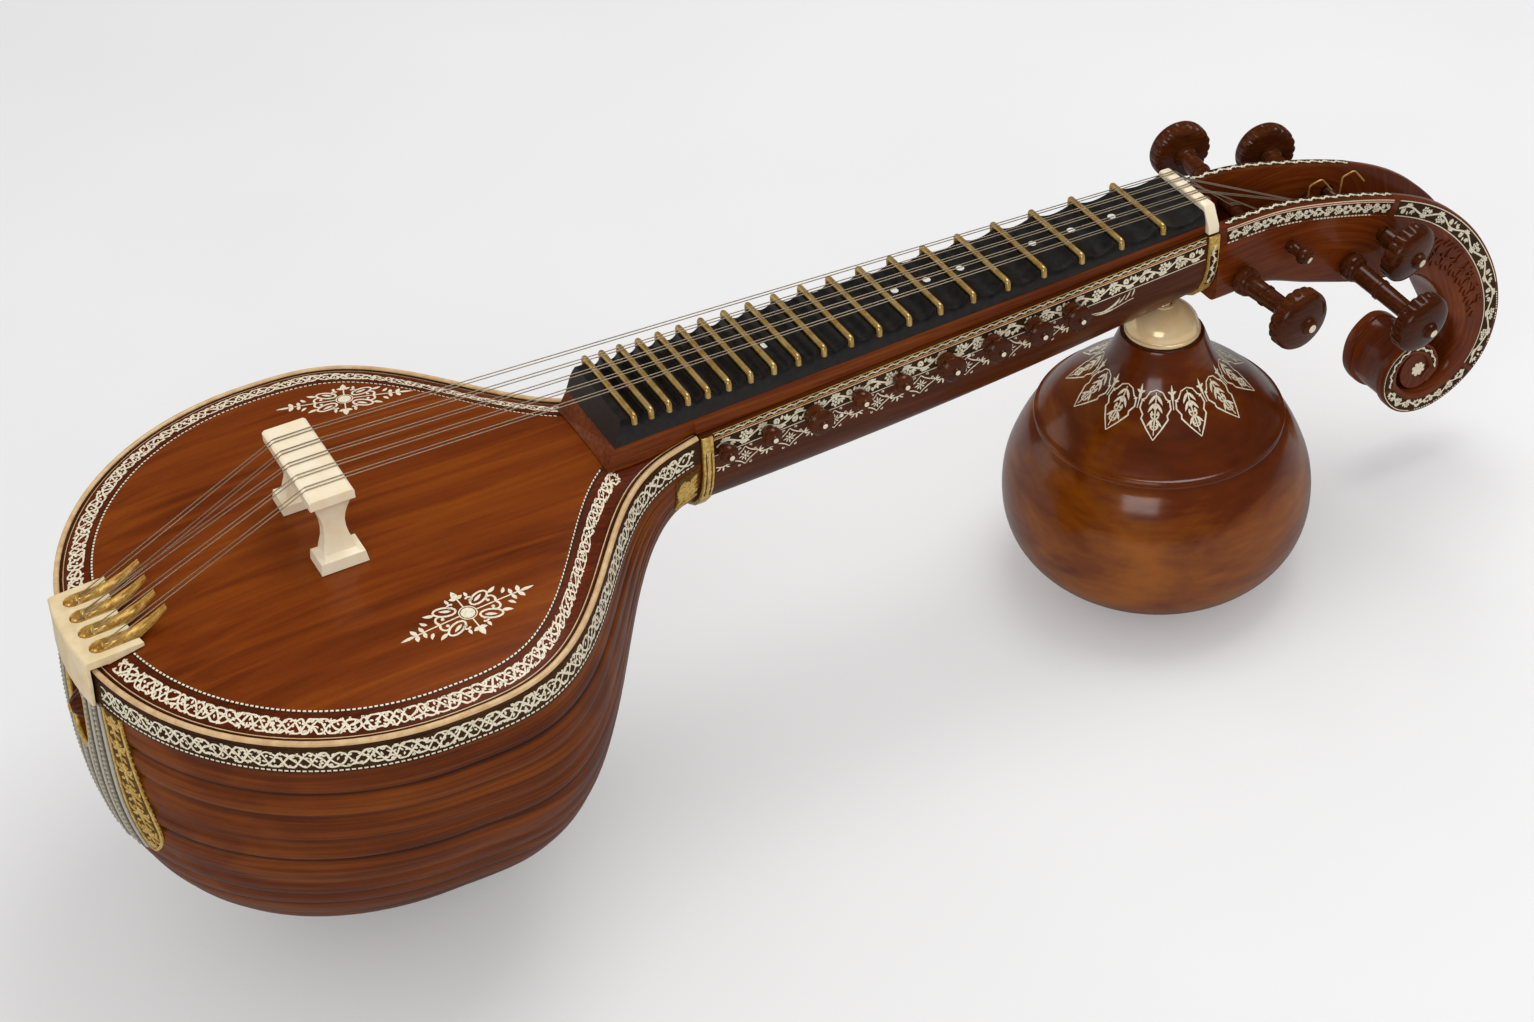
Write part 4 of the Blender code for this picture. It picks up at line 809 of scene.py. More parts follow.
def blockRing(x, top, pull=0.0):
    half = fretHalf(x) + 0.0010
    shoulder = half - 0.0040
    sideZ = fretPlan["blockTop"] - 0.0085
    lean = 0.0040 * (fretPlan["blockTop"] - top) / 0.0085
    start = fretPlan["boardStart"]
    bottom = mix(*fretPlan["bottomZ"], (x - start) / (body["nutX"] - start))
    row = [(-half, bottom), (-half, sideZ)]
    row += [(mix(-half, -shoulder - lean, t), sideZ + (top - sideZ) * sin(pi / 2 * t)) for t in (0.35, 0.7)]
    row += [(-shoulder - lean, top)]
    row += [(-y, z) for y, z in reversed(row)]
    height = fretPlan["blockTop"] - bottom
    return [Vector((x + bodyX + pull * (z - bottom) / height, y, z)) for y, z in row]


def fretboardMesh():
    rings = [blockRing(fretPlan["boardStart"], fretPlan["blockTop"], 0.008)]
    land = fretPlan["radius"] + 0.0012
    edges = [fretX(n) for n in range(fretPlan["count"], 0, -1)] + [body["nutX"] + land]
    rings.append(blockRing(edges[0] - 0.5 * land, fretPlan["blockTop"]))
    for here, there in zip(edges, edges[1:]):
        first, last = here + land, there - land
        for k in range(13):
            t = k / 12
            x = min(mix(first, last, t), body["nutX"] - 0.0003)
            rings.append(blockRing(x, fretPlan["blockTop"] - fretPlan["dip"] * (1 - (2 * t - 1) ** 2)))
    return loftMesh("fretboard_hollowed", rings, blackWax)


finishPiece("fretboard_hollowed", fretboardMesh(), "body", "black_fretboard", ["fretboard"], 32)
print("neck and fretboard made")


# --- geometry trees: what follows a path ---

def startTree(name, inputs):
    # a geometry tree with named inputs; the first is always the geometry itself
    tree = bpy.data.node_groups.new(name, "GeometryNodeTree")
    tree.interface.new_socket(name="Geometry", in_out="INPUT", socket_type="NodeSocketGeometry")
    for label, kind in inputs:
        tree.interface.new_socket(name=label, in_out="INPUT", socket_type="NodeSocket" + kind)
    tree.interface.new_socket(name="Geometry", in_out="OUTPUT", socket_type="NodeSocketGeometry")
    return tree, addNode(tree, "NodeGroupInput"), addNode(tree, "NodeGroupOutput")


def runTree(name, mesh, tree, values):
    # lets the tree work on a mesh and gives back its plain result
    holder = bpy.data.objects.new(name + "_holder", mesh)
    bpy.context.scene.collection.objects.link(holder)
    step = holder.modifiers.new("tree", "NODES")
    step.node_group = tree
    for item in tree.interface.items_tree:
        if item.item_type == "SOCKET" and item.in_out == "INPUT" and item.name in values:
            step[item.identifier] = values[item.name]
    graph = bpy.context.evaluated_depsgraph_get()
    made = bpy.data.meshes.new_from_object(holder.evaluated_get(graph))
    holder.modifiers.remove(step)
    bpy.data.objects.remove(holder)
    return made


def rodTree():
    # a round rod along the mesh's edges, its bends eased, its ends closed
    tree, start, end = startTree("rodAlongPath", [("Radius", "Float"), ("Sides", "Int"), ("Bend", "Float"),
                                                  ("Finish", "Material")])
    path = addNode(tree, "GeometryNodeMeshToCurve", feeds={"Mesh": start.outputs["Geometry"]})
    bend = addNode(tree, "GeometryNodeFilletCurve", feeds={"Curve": path.outputs[0],
                                                           "Radius": start.outputs["Bend"]})
    if "Mode" in bend.inputs:
        bend.inputs["Mode"].default_value = "Poly"
    else:
        bend.mode = "POLY"
    bend.inputs["Count"].default_value = 4
    ring = addNode(tree, "GeometryNodeCurvePrimitiveCircle", feeds={"Resolution": start.outputs["Sides"],
                                                                    "Radius": start.outputs["Radius"]})
    rod = addNode(tree, "GeometryNodeCurveToMesh", {"Fill Caps": True},
                  {"Curve": bend.outputs[0], "Profile Curve": ring.outputs[0]})
    smooth = addNode(tree, "GeometryNodeRealizeInstances", feeds={"Geometry": rod.outputs[0]})
    dressed = addNode(tree, "GeometryNodeSetMaterial", feeds={"Geometry": smooth.outputs[0],
                                                              "Material": start.outputs["Finish"]})
    tree.links.new(dressed.outputs[0], end.inputs[0])
    return tree


rodAlongPath = rodTree()


def pathMesh(points, breaks=()):
    # a chain of edges; breaks are the indices at which a new chain begins
    mesh = bpy.data.meshes.new("path")
    edges = [(k, k + 1) for k in range(len(points) - 1) if k + 1 not in breaks]
    mesh.from_pydata([tuple(p) for p in points], edges, [])
    return mesh


def lawNode(tree, operation, a, b=None):
    # a or b is a number or a socket
    made = addNode(tree, "ShaderNodeMath", operation=operation)
    for socket, value in zip(made.inputs, (a, b)):
        if hasattr(value, "is_linked"):
            tree.links.new(value, socket)
        elif value is not None:
            socket.default_value = value
    return made.outputs[0]


def fretTree():
    # one staple for each fret, set by the twelve-step law and stretched to the board's width
    tree, start, end = startTree("fretsByLaw", [
        ("Count", "Int"), ("Scale length", "Float"), ("Nut", "Float"), ("Half at body", "Float"),
        ("Half at nut", "Float"), ("Radius", "Float"), ("Bend", "Float"), ("Finish", "Material")])
    line = addNode(tree, "GeometryNodeMeshLine", {"Offset": (0, 0, 0)}, {"Count": start.outputs["Count"]},
                   mode="OFFSET")
    number = addNode(tree, "GeometryNodeInputIndex")
    step = lawNode(tree, "MULTIPLY", lawNode(tree, "ADD", number.outputs[0], 1.0), -1 / 12)
    share = lawNode(tree, "SUBTRACT", 1.0, lawNode(tree, "POWER", 2.0, step))
    fromNut = lawNode(tree, "MULTIPLY", share, start.outputs["Scale length"])
    lastStep = lawNode(tree, "MULTIPLY", start.outputs["Count"], -1 / 12)
    lastShare = lawNode(tree, "SUBTRACT", 1.0, lawNode(tree, "POWER", 2.0, lastStep))
    toward = lawNode(tree, "DIVIDE", share, lastShare)
    widening = lawNode(tree, "SUBTRACT", start.outputs["Half at body"], start.outputs["Half at nut"])
    half = lawNode(tree, "ADD", start.outputs["Half at nut"], lawNode(tree, "MULTIPLY", toward, widening))
    kept = addNode(tree, "GeometryNodeStoreNamedAttribute", {"Name": "halfWidth"},
                   {"Geometry": line.outputs[0], "Value": half}, data_type="FLOAT", domain="POINT")
    place = addNode(tree, "ShaderNodeCombineXYZ", feeds={
        "X": lawNode(tree, "SUBTRACT", start.outputs["Nut"], fromNut)})
    moved = addNode(tree, "GeometryNodeSetPosition", feeds={"Geometry": kept.outputs[0],
                                                            "Position": place.outputs[0]})
    copies = addNode(tree, "GeometryNodeInstanceOnPoints", feeds={"Points": moved.outputs[0],
                                                                  "Instance": start.outputs["Geometry"]})
    real = addNode(tree, "GeometryNodeRealizeInstances", feeds={"Geometry": copies.outputs[0]})
    where = addNode(tree, "GeometryNodeInputPosition")
    apart = addNode(tree, "ShaderNodeSeparateXYZ", feeds={"Vector": where.outputs[0]})
    width = addNode(tree, "GeometryNodeInputNamedAttribute", {"Name": "halfWidth"}, data_type="FLOAT")
    across = lawNode(tree, "MULTIPLY", apart.outputs["Y"], width.outputs[0])
    again = addNode(tree, "ShaderNodeCombineXYZ", feeds={"X": apart.outputs["X"], "Y": across,
                                                         "Z": apart.outputs["Z"]})
    shaped = addNode(tree, "GeometryNodeSetPosition", feeds={"Geometry": real.outputs[0],
                                                             "Position": again.outputs[0]})
    rods = addNode(tree, "GeometryNodeGroup", {"Sides": 14},
                   {"Geometry": shaped.outputs[0], "Radius": start.outputs["Radius"],
                    "Bend": start.outputs["Bend"], "Finish": start.outputs["Finish"]},
                   node_tree=rodAlongPath)
    tree.links.new(rods.outputs[0], end.inputs[0])
    return tree


fretZ = 0.352 + 0.0003 + fretPlan["radius"]
staple = pathMesh([(0, -1.0, fretZ - fretPlan["legs"]), (0, -1.0, fretZ), (0, 1.0, fretZ),
                   (0, 1.0, fretZ - fretPlan["legs"])])
fretMesh = runTree("frets", staple, fretTree(), {
    "Count": fretPlan["count"], "Scale length": fretPlan["scale"], "Nut": body["nutX"] + bodyX,
    "Half at body": fretPlan["half"][0] + 0.0016, "Half at nut": fretPlan["half"][1] + 0.0016,
    "Radius": fretPlan["radius"], "Bend": 0.0022, "Finish": fretBrass})
finishPiece("frets_row", fretMesh, "body", "fret_brass", ["fret_%02d" % n for n in range(1, 21)], 45)


# --- bone bead round the board, a rod along the rim ---

bead = {"inset": 0.0019, "drop": 0.0003, "radius": 0.0021}


def rimPath(inset, drop):
    near, far = [], []
    for part, u in stations:
        if part == "tail":
            x = -(body["rimTail"] - inset) * cos(pi / 2 * u)
            half = (body["rimHalf"] - inset) * sin(pi / 2 * u)
        else:
            x = min(body["jointX"] * u, body["jointX"] - 0.001)
            half = edgeHalf(x, inset)
        near.append(Vector((x + bodyX, -half, rimZ(x) - drop)))
        far.append(Vector((x + bodyX, half, rimZ(x) - drop)))
    return list(reversed(near)) + far[1:]


beadMesh = runTree("bead", pathMesh(rimPath(bead["inset"], bead["drop"])), rodAlongPath,
                   {"Radius": bead["radius"], "Sides": 20, "Bend": 0.0, "Finish": agedBone})
finishPiece("bone_bead", beadMesh, "body", "bone", ["bone_binding"], 60)
# a dark fillet fills the seat on both sides of the bead, which shows as a fine line
filletMesh = runTree("fillet", pathMesh(rimPath(0.0027, 0.0024)), rodAlongPath,
                     {"Radius": 0.0030, "Sides": 16, "Bend": 0.0, "Finish": woods["bandEbony"]})
finishPiece("bead_fillet", filletMesh, "body", "bowl_wood", [], 60)
print("frets and bead made by trees:", len(fretMesh.polygons), len(beadMesh.polygons))


# --- pegbox and scroll ---

scroll = {
    # outer edge from the nut over the curl to its eye: x from the nut, z, thickness, half width, channel
    "start": 0.7116,
    "rows": [(0.0000, 0.3365, 0.0700, 0.0385, 0.0570), (0.0584, 0.3350, 0.0700, 0.0375, 0.0600),
             (0.1164, 0.3225, 0.0780, 0.0355, 0.0660), (0.1744, 0.3040, 0.0800, 0.0340, 0.0600),
             (0.2204, 0.2810, 0.0720, 0.0325, 0.0300), (0.2554, 0.2510, 0.0600, 0.0310, 0.0120),
             (0.2814, 0.2160, 0.0540, 0.0300, 0.0070), (0.2984, 0.1780, 0.0520, 0.0290, 0.0055),
             (0.3039, 0.1400, 0.0450, 0.0280, 0.0050), (0.2954, 0.1050, 0.0370, 0.0275, 0.0045),
             (0.2724, 0.0790, 0.0290, 0.0270, 0.0040), (0.2384, 0.0665, 0.0240, 0.0270, 0.0035),
             (0.2064, 0.0740, 0.0210, 0.0275, 0.0030), (0.1874, 0.0980, 0.0180, 0.0280, 0.0025),
             (0.1904, 0.1270, 0.0150, 0.0285, 0.0020), (0.2124, 0.1430, 0.0130, 0.0290, 0.0015),
             (0.2354, 0.1330, 0.0110, 0.0295, 0.0012), (0.2429, 0.1120, 0.0090, 0.0300, 0.0010),
             (0.2324, 0.0985, 0.0070, 0.0300, 0.0008)],
    "steps": 8, "wall": 0.010, "eye": (0.2244, 0.112), "coreRadius": 0.0185, "eyeRadius": 0.0075,
}
scrollRows = smoothThrough(scroll["rows"], scroll["steps"])


def scrollFrame(i):
    # edge point, way inward, half width, thickness and channel depth at a station
    row = scrollRows[i]
    ahead, behind = scrollRows[min(i + 1, len(scrollRows) - 1)], scrollRows[max(i - 1, 0)]
    along = Vector((ahead[0] - behind[0], 0, ahead[1] - behind[1])).normalized()
    if i == 0:
        along = Vector((1, 0, 0))
    edge = Vector((row[0] + scroll["start"] + bodyX, 0, row[1]))
    return edge, Vector((along.z, 0, -along.x)), row[3], row[2], row[4]


def scrollMesh():
    rings, travel = [], [0.0]
    for i in range(len(scrollRows)):
        edge, inward, half, thick, deep = scrollFrame(i)
        wall = min(scroll["wall"], half * 0.36)
        corner = min(0.010, thick * 0.3)
        crown = min(0.002, deep * 0.5)
        side = [(half - wall - 0.001, deep), (half - wall, deep - min(0.001, deep * 0.3)), (half - wall, crown),
                (half - wall + 0.0006, crown * 0.3), (half - wall + 0.002, 0.0), (half - 0.002, 0.0),
                (half - 0.0006, crown * 0.3), (half, crown)]
        side += [(half, mix(crown, thick - corner, k / 6)) for k in range(1, 6)]
        side += [(half - corner * (1 - cos(pi / 2 * k / 6)), thick - corner + corner * sin(pi / 2 * k / 6))
                 for k in range(7)]
        ring = [edge + Vector((0, -a, 0)) + inward * b for a, b in side]
        ring += [edge + Vector((0, a, 0)) + inward * b for a, b in reversed(side)]
        rings.append(ring)
        if i:
            travel.append(travel[-1] + (edge - scrollFrame(i - 1)[0]).length)
    return loftMesh("scroll_carved", rings, woods["scrollRosewood"], (True, True), travel)


pegPlan = {
    # how far each shaft reaches in from the wall's outside, and the shaft's radius
    "tuning_peg_near_1": (0.0712, 0.0062), "tuning_peg_near_2": (0.0653, 0.0062),
    "tuning_peg_near_3": (0.0635, 0.0062), "tuning_peg_far_1": (0.0702, 0.0062),
    "tuning_peg_far_2": (0.0651, 0.0062), "drone_peg": (0.0140, 0.0040),
}
wholeScroll = scrollMesh()
eyeX, eyeZ = scroll["eye"][0] + scroll["start"] + bodyX, scroll["eye"][1]
core = rodMesh((eyeX, -0.0262, eyeZ), (eyeX, 0.0262, eyeZ), scroll["coreRadius"], 64, woods["scrollRosewood"])
wholeScroll = joinWith(wholeScroll, core, "UNION")
for pegName, (inside, shaft) in pegPlan.items():
    place, axis = joints[pegName]
    bore = rodMesh(place - axis * 0.001, place + axis * (inside + 0.010), shaft + 0.0004, 32,
                   woods["pegRosewood"])
    wholeScroll = joinWith(wholeScroll, bore, "DIFFERENCE")
finishPiece("scroll_carved", wholeScroll, "body", "scroll_wood", ["pegbox_scroll"], 36)
print("scroll carved:", len(wholeScroll.polygons), "faces")


# --- pegs ---

def lobedMesh(name, profile, steps, lobes, depth, materials, place, axis, marks=None):
    # like a turned shape, but rows with a third number are fluted by that share
    axis = Vector(axis).normalized()
    side = axis.orthogonal().normalized()
    other = axis.cross(side)
    rings, heights = [], [0.0]
    for k, row in enumerate(profile):
        radius, height = row[0], row[1]
        share = row[2] if len(row) > 2 else 0.0
        ring = []
        for n in range(steps):
            turn = 2 * pi * n / steps
            groove = 1 - abs(sin(lobes * turn / 2)) ** 0.7
            reach = radius * (1 - depth * share * groove)
            ring.append(Vector(place) + axis * height + (side * cos(turn) + other * sin(turn)) * reach)
        rings.append(ring)
        if k:
            before = profile[k - 1]
            heights.append(heights[-1] + sqrt((radius - before[0]) ** 2 + (height - before[1]) ** 2))
    return loftMesh(name, rings, materials, (False, False), heights, marks)


def farEnd(nodeName):
    # how far a piece reaches along its joint's axis
    place, axis = joints[nodeName]
    return max((v.co - place).dot(axis) for v in nodes[nodeName].data.vertices)


def bigPeg(nodeName):
    place, axis = joints[nodeName]
    inside, shaft = pegPlan[nodeName]
    front = farEnd(nodeName)
    head = [(0, 0), (0.0020, 0.0), (0.0033, -0.0001), (0.0034, -0.0005), (0.0044, -0.0005), (0.0056, -0.0012),
            (0.0068, -0.0028), (0.0070, -0.0042), (0.0080, -0.0052), (0.0105, -0.0056), (0.0155, -0.0062),
            (0.0200, -0.0074), (0.0230, -0.0092), (0.0248, -0.0114), (0.0254, -0.0134),
            (0.0256, -0.0148, 0.6), (0.0256, -0.0195, 1), (0.0253, -0.0220, 1), (0.0240, -0.0235, 1),
            (0.0215, -0.0243, 0.6), (0.0165, -0.0247, 0.1), (0.0105, -0.0248)]
    rows = [(row[0], front + row[1]) + tuple(row[2:]) for row in head]
    back = front - 0.0226
    if nodeName == "tuning_peg_near_3":
        rows += [(0.0092, back - 0.0030), (0.0095, back - 0.0042), (0.0088, back - 0.0050),
                 (0.0086, inside + 0.0036)]
    else:
        half = (back + inside) / 2
        rows += [(0.0094, back - 0.0024), (0.0082, back - 0.0030), (0.0096, back - 0.0038),
                 (0.0094, back - 0.0052), (0.0080, back - 0.0062), (0.0076, back - 0.0076),
                 (0.0079, half + 0.0022), (0.0088, half + 0.0012), (0.0088, half - 0.0010),
                 (0.0080, half - 0.0020), (0.0084, inside + 0.0158), (0.0092, inside + 0.0148),
                 (0.0086, inside + 0.0136), (0.0104, inside + 0.0126), (0.0111, inside + 0.0112),
                 (0.0103, inside + 0.0102), (0.0114, inside + 0.0090), (0.0119, inside + 0.0060),
                 (0.0113, inside + 0.0034), (0.0097, inside + 0.0018)]
    rows += [(shaft, inside + 0.0010), (shaft - 0.0012, 0.0004), (shaft - 0.0020, 0), (0, 0)]
    mesh = lobedMesh(nodeName, rows, 120, 20, 0.070, [woods["pegRosewood"], inlaidBone], place, axis,
                     lambda r, c: 1 if r < 3 else 0)
    finishPiece(nodeName + "_turned", mesh, nodeName, "peg_wood", [nodeName], 28)


def smallPeg(nodeName, large):
    place, axis = joints[nodeName]
    end, base = farEnd(nodeName), 0.018
    head, barrel = (0.0106, 0.0084) if large else (0.0078, 0.0062)
    rows = [(0, end), (0.0014, end), (0.0020, end - 0.0002), (0.0022, end - 0.0006), (0.0027, end - 0.0012),
            (0.0030, end - 0.0024), (head * 0.62, end - 0.0027), (head * 0.86, end - 0.0036),
            (head * 0.98, end - 0.0051), (head, end - 0.0064), (head * 0.93, end - 0.0080),
            (head * 0.74, end - 0.0090), (barrel * 0.72, end - 0.0096), (barrel * 0.78, end - 0.0104),
            (barrel * 0.95, end - 0.0112), (barrel, base + 0.0052), (barrel * 0.97, base + 0.0022),
            (barrel * 0.86, base + 0.0010), (0.0036, base + 0.0006), (0.0030, 0.0002), (0.0024, 0), (0, 0)]
    mesh = lobedMesh(nodeName, rows, 40, 1, 0.0, [woods["pegRosewood"], inlaidBone], place, axis,
                     lambda r, c: 1 if r < 2 else 0)
    finishPiece(nodeName + "_turned", mesh, nodeName, "peg_wood", [nodeName], 30)


for pegName in pegPlan:
    if pegName != "drone_peg":
        bigPeg(pegName)
for n in range(1, 10):
    smallPeg("side_peg_%d" % n, n in (3, 6, 7, 8, 9))

place, axis = joints["drone_peg"]
end, inside = farEnd("drone_peg"), pegPlan["drone_peg"][0]
ball = smoothThrough([(0.0010, end), (0.0038, end - 0.0010), (0.0064, end - 0.0034), (0.0075, end - 0.0066),
                      (0.0064, end - 0.0098), (0.0047, end - 0.0116), (0.0050, inside + 0.0050),
                      (0.0056, inside + 0.0030)], 3)
rows = [(0, end)] + [tuple(r) for r in ball] + [(0.0040, inside + 0.0006), (0.0034, 0.0002), (0.0028, 0), (0, 0)]
finishPiece("drone_peg_turned", lobedMesh("drone_peg", rows, 40, 1, 0.0, [woods["pegRosewood"], inlaidBone],
                                          place, axis, lambda r, c: 1 if r < 3 else 0),
            "drone_peg", "peg_wood", ["drone_peg"], 35)

knob = {"x": -0.179, "y": -0.006, "z": 0.247}
rows = [(0, 0.0335), (0.0016, 0.0334), (0.0027, 0.0329), (0.0034, 0.0319), (0.0046, 0.0312, 0.2), (0.0070, 0.0292, 0.7),
        (0.0094, 0.0262, 1), (0.0114, 0.0232, 1), (0.0125, 0.0204, 1), (0.0124, 0.0180, 0.8),
        (0.0108, 0.0155, 0.5), (0.0088, 0.0138), (0.0092, 0.0131), (0.0105, 0.0125), (0.0106, 0.0112),
        (0.0102, 0.0103), (0.0070, 0.0096), (0.0060, 0.0092), (0.0060, 0.0002), (0, 0)]
finishPiece("tail_knob", lobedMesh("tail_knob", rows, 80, 10, 0.14, [woods["pegRosewood"], gildedBrass],
                                   (knob["x"] + bodyX, knob["y"], knob["z"]), (-1, 0, 0),
                                   lambda r, c: 1 if r < 3 else 0),
            "body", "peg_wood", ["tail_peg"], 30)
print("pegs turned")


# --- gourd, its cup and its screw ---

gourd = {
    "x": 0.6835, "y": -0.008,
    "outer": [(0.0320, 0.2358), (0.0335, 0.2350), (0.0352, 0.2310), (0.0378, 0.2240), (0.0420, 0.2140),
              (0.0480, 0.2040), (0.0565, 0.1950), (0.0670, 0.1870), (0.0790, 0.1784), (0.0885, 0.1700),
              (0.0950, 0.1630), (0.0980, 0.1595)],
    "lip": [(0.0996, 0.1584), (0.1012, 0.1582), (0.1018, 0.1570), (0.1014, 0.1552), (0.1007, 0.1535)],
    "belly": [(0.1010, 0.1520), (0.1065, 0.1462), (0.1130, 0.1350), (0.1192, 0.1212), (0.1238, 0.1080),
              (0.1262, 0.0950), (0.1270, 0.0800), (0.1256, 0.0640), (0.1208, 0.0480), (0.1120, 0.0335),
              (0.1000, 0.0215), (0.0830, 0.0108), (0.0640, 0.0032), (0.0500, 0.0002)],
    "inner": [(0.0430, 0.0080), (0.0880, 0.0270), (0.1150, 0.0580), (0.1175, 0.1000), (0.1010, 0.1390),
              (0.0800, 0.1680), (0.0470, 0.1930), (0.0275, 0.2150), (0.0275, 0.2352), (0.0290, 0.2360)],
}


def gourdProfile():
    outer = smoothThrough(gourd["outer"], 3) + gourd["lip"]
    belly = smoothThrough(gourd["belly"], 4)
    return outer + belly + [(0.0450, 0.0), (0.0, 0.0)]


gourdPlace = (gourd["x"] + bodyX, gourd["y"], 0)
outside = gourdProfile()
rows = outside + [(0.0, 0.0062)] + gourd["inner"] + [outside[0]]
gourdMesh = turnedMesh("gourd_round", rows, 120, [gourdLacquer, woods["pegRosewood"]], gourdPlace, (0, 0, 1),
                       lambda r, c: 1 if r < 3 or r > len(outside) - 2 else 0)
finishPiece("gourd_round", gourdMesh, "gourd", "gourd_skin", ["gourd"], 32)

cupLow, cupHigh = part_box("brass_cup")
low, top = cupLow.z, cupHigh.z
rows = [(0.0090, top)]
for k in range(1, 17):
    turn = pi / 2 * k / 16
    rows.append((max(0.0090, 0.0290 * sin(turn)), low + 0.0035 + (top - low - 0.0035) * cos(turn)))
rows += [(0.0294, low + 0.0030), (0.0304, low + 0.0026), (0.0306, low + 0.0014), (0.0304, low + 0.0002),
         (0.0298, low), (0.0250, low)]
for k in range(15, -1, -1):
    turn = pi / 2 * k / 16
    rows.append((max(0.0066, 0.0250 * sin(turn)), low + 0.0015 + (top - low - 0.0035) * cos(turn)))
rows += [(0.0070, top), (0.0090, top)]
finishPiece("cup_spun", turnedMesh("cup_spun", rows, 96, brassPaintedReflection, gourdPlace, (0, 0, 1)),
            "gourd", "polished_brass", ["brass_cup"], 40)
smoothNode("gourd_screw", brassPaintedReflection, "polished_brass", 40, body="gourd")
print("gourd, cup and screw made")


# --- inlay: flat cut shapes, laid on the surface by one tree ---

inlay = {"proud": 0.00010, "sunk": 0.00035}   # how far it stands out of the wood, and how deep it goes


def startShape():
    return {"points": [], "faces": []}


def addStrip(shape, left, right):
    # a thin solid between two rows of (u, v)
    base, count = len(shape["points"]), len(left)
    for (a, b), (c, d) in zip(left, right):
        shape["points"] += [(a, b, inlay["proud"]), (c, d, inlay["proud"]), (a, b, -inlay["sunk"]),
                            (c, d, -inlay["sunk"])]
    for k in range(count - 1):
        p, q = base + 4 * k, base + 4 * k + 4
        shape["faces"] += [(p, p + 1, q + 1, q), (p + 2, q + 2, q + 3, p + 3), (p, q, q + 2, p + 2),
                           (p + 1, p + 3, q + 3, q + 1)]
    last = base + 4 * (count - 1)
    shape["faces"] += [(base, base + 2, base + 3, base + 1), (last, last + 1, last + 3, last + 2)]


def addRibbon(shape, path, widths):
    left, right = [], []
    for k, (x, y) in enumerate(path):
        ax, ay = path[max(0, k - 1)]
        bx, by = path[min(len(path) - 1, k + 1)]
        dx, dy = bx - ax, by - ay
        size = max(1e-9, sqrt(dx * dx + dy * dy))
        wide = widths[k] if isinstance(widths, (list, tuple)) else widths
        left.append((x - dy / size * wide / 2, y + dx / size * wide / 2))
        right.append((x + dy / size * wide / 2, y - dx / size * wide / 2))
    addStrip(shape, left, right)


def addDisc(shape, x, y, radius, sides=8):
    base = len(shape["points"])
    ring = [(x + radius * cos(2 * pi * k / sides), y + radius * sin(2 * pi * k / sides)) for k in range(sides)]
    shape["points"] += [(a, b, inlay["proud"]) for a, b in ring] + [(a, b, -inlay["sunk"]) for a, b in ring]
    shape["faces"] += [tuple(range(base, base + sides)), tuple(range(base + 2 * sides - 1, base + sides - 1, -1))]
    for k in range(sides):
        n = (k + 1) % sides
        shape["faces"].append((base + k, base + sides + k, base + sides + n, base + n))


def addLeaf(shape, x, y, angle, length, width, bend=0.0, steps=4):
    # a pointed leaf that curves by bend as it goes
    path, widths = [(x, y)], [width * 0.15]
    for k in range(1, steps + 1):
        turn = angle + bend * (k - 0.5) / steps
        x, y = x + cos(turn) * length / steps, y + sin(turn) * length / steps
        path.append((x, y))
        widths.append(width * max(0.02, sin(pi * (k / steps) ** 0.8) ** 0.8) if k < steps else 0.00004)
    addRibbon(shape, path, widths)


def addCurl(shape, x, y, angle, radius, turns, width, steps=10):
    # a tendril that winds in to a small round end
    path, widths = [], []
    side = 1 if turns > 0 else -1
    cx, cy = x - side * sin(angle) * radius, y + side * cos(angle) * radius
    for k in range(steps + 1):
        t = k / steps
        reach = radius * (1 - 0.72 * t)
        turn = angle - side * pi / 2 + 2 * pi * turns * t
        path.append((cx + reach * cos(turn), cy + reach * sin(turn)))
        widths.append(width * (1 - 0.45 * t))
    addRibbon(shape, path, widths)
    addDisc(shape, path[-1][0], path[-1][1], width * 0.75, 6)


def shapeMesh(shape):
    mesh = bpy.data.meshes.new("cutShape")
    mesh.from_pydata(shape["points"], [], shape["faces"])
    closeUp(mesh)
    return mesh


def addLoop(shape, x, y, a, b, turn, width, steps=14):
    # an oval ring
    path = []
    for k in range(steps + 1):
        t = 2 * pi * k / steps
        u, v = a * cos(t), b * sin(t)
        path.append((x + u * cos(turn) - v * sin(turn), y + u * sin(turn) + v * cos(turn)))
    addRibbon(shape, path[:-1] + [path[0]], width)


